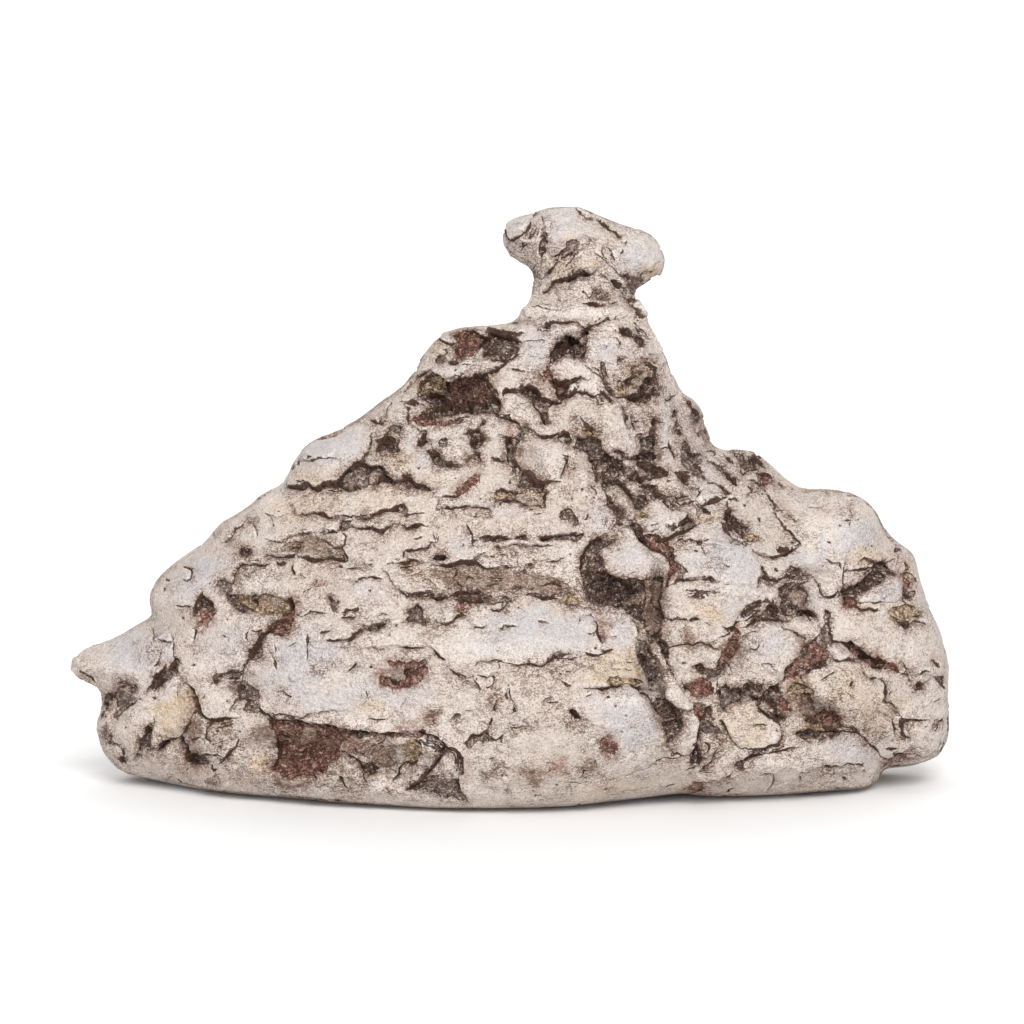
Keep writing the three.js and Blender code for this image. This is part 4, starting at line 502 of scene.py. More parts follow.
 (5,3,[(674,424),(680,422),(681,430),(680,436),(677,432),(674,430)]),(9,0,[(641,440),(646,438),(654,437),(655,446),(655,451),(642,451)]),
 (9,3,[(640,455),(646,453),(653,453),(656,457),(652,459),(645,460),(640,460)]),
 (8,0,[(577,437),(584,440),(592,440),(600,440),(600,447),(602,453),(606,458),(600,458),(592,456),(586,451),(580,448),(577,447)]),
 (6,0,[(558,438),(563,433),(567,435),(570,438),(570,443),(566,446),(560,443)]),
 (2,2,[(580,430),(588,427),(596,430),(602,434),(600,438),(590,438),(583,436)]),(1.2,4,[(571,416),(575,413),(578,417),(577,421),(573,420)]),
 (1.5,4,[(620,404),(626,408),(631,414),(631,424),(634,432),(632,440),(628,436),(624,426),(622,416)]),
 (6,0,[(684,401),(690,407),(696,413),(700,419),(700,425),(696,426),(691,419),(687,410)]),
 (3,1,[(700,432),(705,431),(707,438),(710,444),(706,446),(702,440)]),(4,0,[(621,329),(626,329),(630,332),(630,336),(625,334),(621,332)]),
 (4,0,[(634,337),(640,339),(645,341),(645,345),(641,347),(637,343)]),
 (8,3,[(594,460),(600,459),(606,458),(612,458),(614,462),(620,462),(621,466),(619,472),(618,478),(621,482),(624,488),(622,490),(616,487),(610,486),(606,489),(602,488),(600,484),(596,480),(595,472),(594,466)]),
 (5,3,[(613,452),(618,449),(624,451),(626,456),(630,459),(640,456),(638,460),(630,461),(624,460),(622,456),(616,454)]),
 (7,0,[(638,462),(645,461),(651,464),(658,467),(666,471),(664,475),(658,477),(652,477),(646,475),(641,470),(638,468)]),
 (6,3,[(634,472),(638,473),(640,477),(645,480),(640,482),(634,481),(630,480)]),
 (3,0,[(624,466),(630,464),(636,466),(636,472),(632,478),(626,480),(623,474)]),
 (4,0,[(639,485),(645,484),(652,486),(656,489),(655,493),(660,497),(655,499),(648,497),(643,492),(639,489)]),
 (5,3,[(655,493),(662,494),(670,497),(673,500),(664,499),(657,498)]),
 (5,3,[(635,496),(642,495),(648,499),(650,501),(645,505),(640,508),(636,505),(635,500)]),
 (3,2,[(636,514),(641,511),(647,512),(651,516),(650,519),(644,520),(638,518)]),
 (5,0,[(661,500),(668,501),(676,504),(682,508),(684,511),(676,509),(668,507),(663,504)]),
 (6,3,[(609,500),(613,502),(616,507),(620,508),(624,515),(621,521),(617,520),(615,513),(612,507)]),
 (7,3,[(632,525),(638,524),(644,529),(645,534),(648,540),(645,542),(640,538),(636,533)]),
 (4,1,[(646,532),(652,533),(657,537),(664,540),(668,546),(669,554),(666,556),(658,550),(650,544),(646,538)]),
 (6,0,[(684,520),(689,517),(693,520),(696,522),(690,527),(684,530),(681,526)]),
 (2.5,2,[(694,518),(700,516),(708,518),(714,519),(713,523),(704,522),(697,522)]),
 (7,3,[(722,520),(726,515),(730,512),(733,516),(738,522),(740,528),(734,526),(728,521)]),
 (6,0,[(682,442),(686,442),(690,450),(695,455),(700,457),(701,462),(697,466),(698,472),(700,478),(694,476),(688,472),(682,466),(681,456)]),
 (4,3,[(731,450),(737,449),(742,454),(742,460),(736,456)]),(4,3,[(682,474),(687,477),(692,482),(697,485),(691,485),(685,480)]),
 (3,3,[(621,532),(624,528),(627,529),(624,533)]),(3,3,[(695,543),(700,541),(703,544),(699,547)]),
 (5,3,[(728,449),(733,447),(738,450),(744,454),(748,458),(752,457),(757,460),(762,463),(766,468),(760,466),(756,464),(755,468),(751,471),(746,470),(744,466),(742,461),(738,458),(734,455),(730,452)]),
 (4,0,[(716,465),(720,466),(723,470),(728,474),(732,478),(736,482),(734,485),(730,481),(726,476),(722,471)]),
 (2.5,1,[(755,476),(760,474),(766,474),(772,477),(776,481),(774,484),(768,486),(762,484),(758,480)]),
 (4,3,[(757,485),(762,484),(766,487),(761,490),(757,488)]),
 (1.2,1,[(777,504),(781,509),(787,514),(794,516),(796,520),(789,521),(784,520),(780,515),(777,510)]),
 (6,3,[(738,521),(744,522),(748,525),(748,532),(746,537),(742,539),(738,534),(735,528)]),
 (2,2,[(743,538),(748,534),(755,536),(762,540),(755,541),(746,541)]),(2.5,1,[(779,549),(784,549),(788,551),(792,550),(788,554),(783,555),(780,553)]),
 (7,0,[(878,566),(885,563),(890,567),(896,572),(900,575),(897,576),(890,575),(884,578),(878,584),(870,589),(867,584),(870,577)]),
 (4,1,[(901,577),(906,577),(910,582),(908,588),(907,593),(910,597),(903,597),(902,590),(901,584)]),
 (4,3,[(903,590),(907,589),(909,594),(912,597),(904,597)]),
 (2.5,2,[(888,611),(894,607),(901,606),(908,605),(916,606),(922,611),(924,616),(919,619),(914,618),(910,622),(904,622),(898,619),(892,615)]),
 (4,3,[(901,621),(906,621),(911,624),(909,628),(905,628)]),
 (4,1,[(850,642),(856,646),(862,652),(870,657),(880,658),(890,661),(897,664),(898,672),(892,670),(884,667),(876,664),(868,662),(860,658),(852,652)]),
 (1.5,4,[(904,668),(910,666),(916,672),(914,677),(908,675)]),
 (5,3,[(908,682),(913,684),(918,681),(923,684),(926,683),(922,688),(917,689),(912,687),(907,684)]),
 (4,0,[(933,677),(938,676),(942,678),(945,684),(941,685),(937,681)]),
 (5,1,[(800,700),(806,698),(812,700),(814,708),(818,712),(826,713),(836,714),(843,718),(838,722),(832,724),(822,722),(814,717),(806,716),(800,712)]),
 (5,2,[(806,722),(812,718),(820,722),(828,722),(834,726),(828,730),(818,731),(808,729)]),
 (6,3,[(800,732),(808,731),(818,733),(828,731),(834,728),(838,731),(832,735),(826,738),(816,739),(808,739),(802,737)]),
 (5,3,[(883,762),(887,762),(891,766),(884,769),(882,768)]),(1.5,1,[(886,760),(896,758),(904,754),(908,757),(902,761),(896,765),(888,764)]),
 (2.5,3,[(456,592),(467.4,589.4),(481.5,590.8),(492.8,596.4),(507,596.4),(515.4,599.2),(511,604.9),(492.8,602.8),(478.7,602),(464.6,599.2),(456,596.4)]),
 (1.5,2,[(560.5,599.2),(571.8,594.3),(577.5,595.7),(583,604.5),(571.8,604.5),(562,600.6)]),
]
# height, rim width, outline
LUMPS = [
 (4,3,[(250,597),(262,596),(275,597),(285,602),(280,608),(268,608),(256,602)]),(2,2.5,[(368,619),(378,616),(386,617),(388,621),(380,622),(370,622)]),
 (4,4,[(492,601),(500,600),(508,602),(507,606),(499,607),(493,606)]),
 (7,5,[(645,582),(655,580),(660,585),(660,600),(658,612),(660,625),(655,632),(648,630),(648,615),(646,600)]),
 (6,2.5,[(630,595),(640,592),(638,600),(632,600)]),
 (3,8,[(676,560),(690,550),(704,541),(722,540),(742,548),(757,560),(760,575),(752,585),(735,585),(715,582),(700,577),(684,577)]),
 (3,8,[(665,588),(680,583),(700,581),(722,585),(745,587),(762,592),(766,600),(755,604),(742,608),(737,620),(730,632),(715,640),(700,641),(702,622),(690,617),(664,618)]),
 (3,3,[(760,702),(768,700),(773,708),(778,718),(772,716),(764,710)]),
 (3,10,[(722,716),(732,708),(748,700),(756,706),(766,716),(778,726),(779,738),(768,744),(748,748),(736,744),(726,734)]),
 (3,7,[(386,414),(390,407),(398,405),(406,408),(409,416),(406,423),(398,424),(390,420)]),
 (3,10,[(140,702),(148,704),(152,715),(154,728),(146,734),(139,744),(136,756),(130,755),(122,742),(118,730),(121,720),(128,709)]),
 (5,3,[(176,674),(182,682),(190,694),(196,706),(196,713),(190,722),(184,731),(179,736),(168,739),(160,744),(158,749),(153,738),(155,722),(160,705),(165,692),(170,682)]),
 (3,3,[(301,730),(307,728),(314,732),(316,740),(312,746),(304,745),(300,738)]),
 (3,8,[(162,750),(172,742),(181,742),(186,752),(190,764),(182,772),(170,774),(158,768),(150,758)]),
 (3,6,[(368,776),(376,774),(384,774),(390,780),(384,790),(376,796),(368,792),(366,784)]),
 (2.5,5,[(478,668),(482,664),(490,663),(497,664),(499,668),(497,674),(492,677),(484,677),(479,674)]),
 (3,3,[(422,742),(430,745),(438,750),(437,756),(430,757),(422,754)]),
 (3,6,[(401,768),(408,761),(416,757),(423,757),(425,764),(424,772),(418,779),(409,781),(403,778)]),
 (2.5,4,[(442,762),(448,758),(456,762),(458,772),(457,780),(450,778),(444,772)]),
 (3,2,[(628,593),(634,594),(640,592),(643,596),(642,601),(636,600),(630,598)]),(2,1,[(632,600),(636,606),(634,608),(630,602)]),
 (2,1.5,[(585,587),(588,584),(589,589),(586,592)]),
 (6,3,[(648,646),(652,644),(656,646),(660,652),(664,660),(668,668),(673,675),(677,684),(682,692),(688,699),(689,707),(685,711),(680,707),(673,704),(667,698),(666,690),(664,682),(662,674),(660,667),(656,660),(652,654)]),
 (2,5,[(581,620),(586,616),(592,616),(597,621),(596,628),(591,632),(584,630),(580,625)]),
 (3,6,[(669,650),(676,646),(688,645),(700,644),(708,648),(716,651),(721,650),(719,658),(715,664),(710,668),(703,667),(698,663),(692,666),(685,670),(680,670),(672,664),(669,658)]),
 (3,3,[(684,676),(688,672),(694,674),(696,679),(692,683),(686,682)]),
 (2.5,4,[(764,562),(772,560),(782,562),(786,566),(783,572),(778,577),(771,577),(766,572)]),
 (3,3,[(769,588),(777,586),(779,596),(778,606),(774,608),(770,603),(768,596)]),
 (6,5,[(791,591),(796,588),(803,589),(807,594),(806,601),(801,606),(796,606),(792,602),(789,597)]),(3,1.5,[(786,608),(789,606),(790,610),(787,612)]),
 (3,1,[(790,617),(795,612),(800,607),(799,610),(793,617)]),
 (4,10,[(758,629),(766,625),(776,624),(786,628),(795,635),(801,643),(800,653),(793,662),(786,668),(783,676),(780,684),(772,686),(764,682),(752,682),(744,676),(742,664),(744,654),(752,648),(757,640)]),
 (2,4,[(745,634),(752,633),(757,637),(757,644),(750,647),(744,644)]),
 (4,5,[(792,620),(800,616),(810,617),(818,622),(820,630),(817,638),(811,643),(805,640),(799,634),(794,627)]),
 (2,5,[(834,645),(842,644),(850,648),(857,656),(852,659),(844,660),(836,656)]),(3,6,[(784,588),(788,586),(792,588),(790,594),(786,596)]),
 (4,1.2,[(741,687),(747,690),(755,693),(762,694),(762,696),(754,696),(746,693),(741,690)]),
 (4,6,[(678,714),(686,710),(694,712),(699,720),(699,730),(696,742),(692,750),(684,756),(676,752),(674,742),(680,732),(684,724)]),
 (3,6,[(701,736),(708,732),(716,734),(720,742),(717,750),(710,756),(702,757),(698,750),(699,742)]),
 (4,3,[(347,477),(351,474),(355,479),(354,484),(348,483)]),(6,4,[(369,474),(376,472),(382,474),(384,480),(380,484),(372,484),(368,479)]),
 (2.5,3,[(366,461),(372,460),(378,461),(378,465),(372,467),(367,465)]),
 (3,5,[(383,464),(390,456),(400,456),(410,462),(412,470),(406,475),(398,477),(390,474),(385,470)]),
 (2,3,[(326,523),(334,521),(340,523),(340,530),(330,531),(326,528)]),(1.5,3,[(514,494),(524,493),(536,494),(543,497),(543,502),(532,502),(522,499)]),
 (1.5,2,[(483,540),(490,539),(497,540),(490,541)]),(2,2,[(521,592),(528,590),(534,592),(528,596),(522,595)]),
 (2,4,[(478,550),(490,549),(498,553),(502,557),(492,558),(480,557)]),(4,1.2,[(477,356),(482,351),(486,348),(487,350),(483,354),(478,358)]),
 (2,3,[(446,356),(450,354),(455,357),(455,361),(450,362),(446,360)]),
 (5,6,[(430,371),(440,367),(452,364),(464,361),(480,361),(494,361),(506,363),(500,367),(492,371),(484,374),(474,376),(464,379),(454,380),(444,379),(436,375)]),
 (5,1.5,[(429,391),(434,391),(440,393),(448,396),(449,397),(443,398),(436,395),(430,393)]),(5,1.5,[(452,401),(455,401),(455,405),(452,405)]),
 (4,1.2,[(459,405),(462,402),(465,401),(463,404)]),(4,1.2,[(448,407),(452,406),(452,409),(449,409)]),(4,1.5,[(480,386),(484,385),(485,389),(481,390)]),
 (4,1.5,[(482,391),(485,391),(485,395),(482,396)]),(3,1.2,[(472,390),(475,389),(475,394),(472,395)]),
 (3,1.2,[(442,418),(446,414),(450,411),(449,415),(444,419)]),
 (4,8,[(503,402),(506,395),(514,393),(522,396),(531,403),(538,411),(541,419),(540,425),(530,422),(522,424),(514,420),(506,415),(501,412)]),
 (4,1.5,[(513,440),(517,440),(516,447),(514,449),(512,446)]),(3,5,[(428,434),(434,430),(440,431),(442,436),(438,439),(430,441),(427,438)]),
 (4,8,[(432,442),(440,437),(450,436),(460,432),(468,434),(471,442),(470,450),(464,456),(456,462),(448,462),(440,456),(434,450)]),
 (4,7,[(479,428),(486,421),(496,418),(506,419),(514,424),(517,432),(512,438),(500,438),(490,438),(482,434)]),
 (3,4,[(633,303),(640,303),(644,309),(645,316),(641,318),(636,311)]),
 (2.5,6,[(507,226),(512,221),(520,219),(528,219),(530,224),(526,231),(520,235),(512,238),(508,234)]),
 (3,4,[(604,262),(612,268),(619,276),(624,284),(621,288),(614,280),(606,272)]),(5,1.5,[(571,346),(575,344),(577,349),(573,351)]),
 (5,1.5,[(576,339),(580,338),(580,343),(577,344)]),(5,1.5,[(565,352),(570,351),(571,356),(566,356)]),(4,1.2,[(579,350),(582,348),(583,353),(580,354)]),
 (4,7,[(551,372),(554,365),(560,361),(570,360),(580,362),(588,366),(592,372),(590,378),(580,378),(570,379),(560,382),(553,380)]),
 (3,3,[(566,388),(572,384),(576,382),(578,388),(573,393),(567,393)]),(3,5,[(581,384),(588,380),(596,381),(600,387),(599,394),(592,395),(585,391)]),
 (3,1.5,[(604,390),(608,395),(613,401),(616,404),(612,402),(606,397)]),(5,2,[(650,388),(654,385),(655,391),(652,395),(649,392)]),
 (4,3,[(632,394),(635,388),(640,384),(642,387),(638,393),(634,396)]),
 (3,6,[(601,442),(610,440),(622,440),(634,441),(641,445),(641,452),(636,457),(629,457),(624,451),(616,450),(608,453),(602,450)]),
 (3,2,[(602,466),(607,463),(610,467),(606,470),(602,470)]),(4,1.5,[(614,456),(617,455),(617,461),(614,461)]),
 (4,2,[(618,455),(621,453),(624,457),(622,461),(619,460)]),(4,3,[(617,478),(619,470),(623,469),(623,476),(628,482),(622,483)]),
 (4,2.5,[(623,483),(628,483),(634,488),(637,492),(633,494),(627,489)]),(3,2,[(637,469),(642,472),(646,477),(643,478),(638,474)]),
 (4,8,[(643,510),(648,503),(656,500),(662,504),(670,508),(680,511),(688,512),(692,516),(688,520),(680,524),(674,528),(668,527),(660,522),(652,518)]),
 (5,6,[(610,494),(614,489),(620,489),(626,494),(631,499),(634,507),(636,515),(634,521),(628,522),(622,516),(618,508),(612,501)]),
 (3,5,[(646,480),(656,480),(668,478),(676,482),(680,490),(674,496),(664,493),(656,488),(648,484)]),
 (3,4,[(681,470),(688,471),(694,476),(697,482),(690,480),(684,474)]),
 (3,5,[(703,489),(712,485),(720,487),(725,494),(722,499),(712,500),(704,504),(698,498)]),(2.5,1.5,[(669,549),(673,547),(674,552),(670,553)]),
 (3,3,[(572,438),(576,437),(576,446),(571,447)]),(3,3,[(637,421),(643,421),(646,428),(645,435),(639,432)]),
 (3,6,[(705,506),(712,503),(722,501),(727,508),(724,514),(716,518),(708,513)]),(2.5,4,[(641,520),(650,519),(658,524),(658,529),(650,530),(643,527)]),
 (3,2,[(638,495),(643,492),(647,496),(643,499)]),(2.5,3,[(749,485),(755,484),(758,487),(755,491),(750,491)]),
 (4,8,[(884,577),(890,575),(896,576),(900,580),(902,588),(902,598),(894,602),(880,602),(868,602),(858,600),(866,594),(874,589),(880,583)]),
 (3,2,[(916,676),(922,675),(927,679),(924,683),(918,683)]),(3,4,[(800,704),(808,702),(814,706),(815,712),(808,716),(801,714)]),
 (2,4,[(884,703),(890,705),(895,711),(896,717),(890,716),(884,712),(882,707)]),
]
# height, reach, points: the raised side is on the left going along, seen with y down
STEPS = [
 (5,14,[(512,319),(530,319),(550,318),(575,319),(595,321),(615,318),(632,316)]),
 (6,12,[(266,716),(290,720),(320,723),(350,729),(380,732),(405,731),(425,732),(445,741),(458,752),(462,768),(460,785)]),
 (5,16,[(582,688),(605,686),(630,686),(648,688)]),(5,16,[(672,752),(666,738),(658,716),(652,700),(645,690)]),
 (5,16,[(646,676),(638,662),(638,640),(633,622),(622,612),(600,607)]),
 (4,12,[(376,562),(390,576),(400,592),(420,597),(450,597),(475,602),(505,601),(515,595),(530,590)]),
 (3,10,[(290,503),(300,513),(330,516),(365,516),(385,509),(405,507)]),(3,10,[(262,540),(290,535),(315,533),(340,530),(352,525),(380,527),(397,524)]),
 (3,10,[(262,553),(290,555),(311,556),(346,558)]),(3,9,[(400,562),(440,564),(472,561),(490,567),(521,568)]),
 (3,9,[(478,537),(510,536),(545,538),(578,539)]),(3,9,[(497,545),(525,544),(553,545)]),(4,12,[(283,487),(300,487),(330,484),(350,486),(365,485)]),
 (4,10,[(436,507),(463,505),(491,506),(510,500),(532,506),(545,506)]),(4,14,[(540,296),(550,285),(570,279),(590,272),(600,270)]),
 (4,12,[(696,780),(715,778),(732,773)]),(4,12,[(881,757),(870,741),(858,728),(842,728),(830,733),(812,738),(799,731)]),
 (3,12,[(300,641),(325,640),(350,639),(362,629),(390,622),(430,621),(455,616),(471,612)]),(3,10,[(325,645),(360,647),(400,646),(430,646),(445,662)]),
 (3,10,[(500,664),(537,665),(554,658)]),(3,10,[(740,762),(758,752),(800,749)]),(3,10,[(760,775),(790,768),(808,771),(841,767),(868,772)]),
]
# half width, height, points
# each ridge also paints a cream highlight along its crest
RIDGES = [
 (3,4,[(596,252),(606,262),(614,273),(620,284),(626,293),(634,305),(646,322),(656,342),(664,360),(672,378),(682,398),(692,420),(700,438)]),
 (3.5,4,[(514,317),(530,311),(550,309),(575,309),(600,310),(622,311),(634,312)]),(1.6,3,[(600,388),(606,395),(613,401),(619,406)]),
 (2,3,[(586,358),(590,365),(596,371)]),(1.5,3,[(452,407),(446,413),(440,418),(432,422)]),(2,2.5,[(112,700),(110,716),(114,732),(122,746)]),
 (2,2,[(150,700),(152,716),(152,734),(156,746)]),(1.6,2.5,[(620,470),(622,479),(630,484),(638,490),(646,494)]),
 (1.6,2.5,[(682,472),(690,477),(700,484),(708,487)]),(1.4,2,[(720,462),(728,470),(736,476)]),
 (2.2,3,[(530,335),(531,310),(536,290),(540,272),(546,250)]),
]
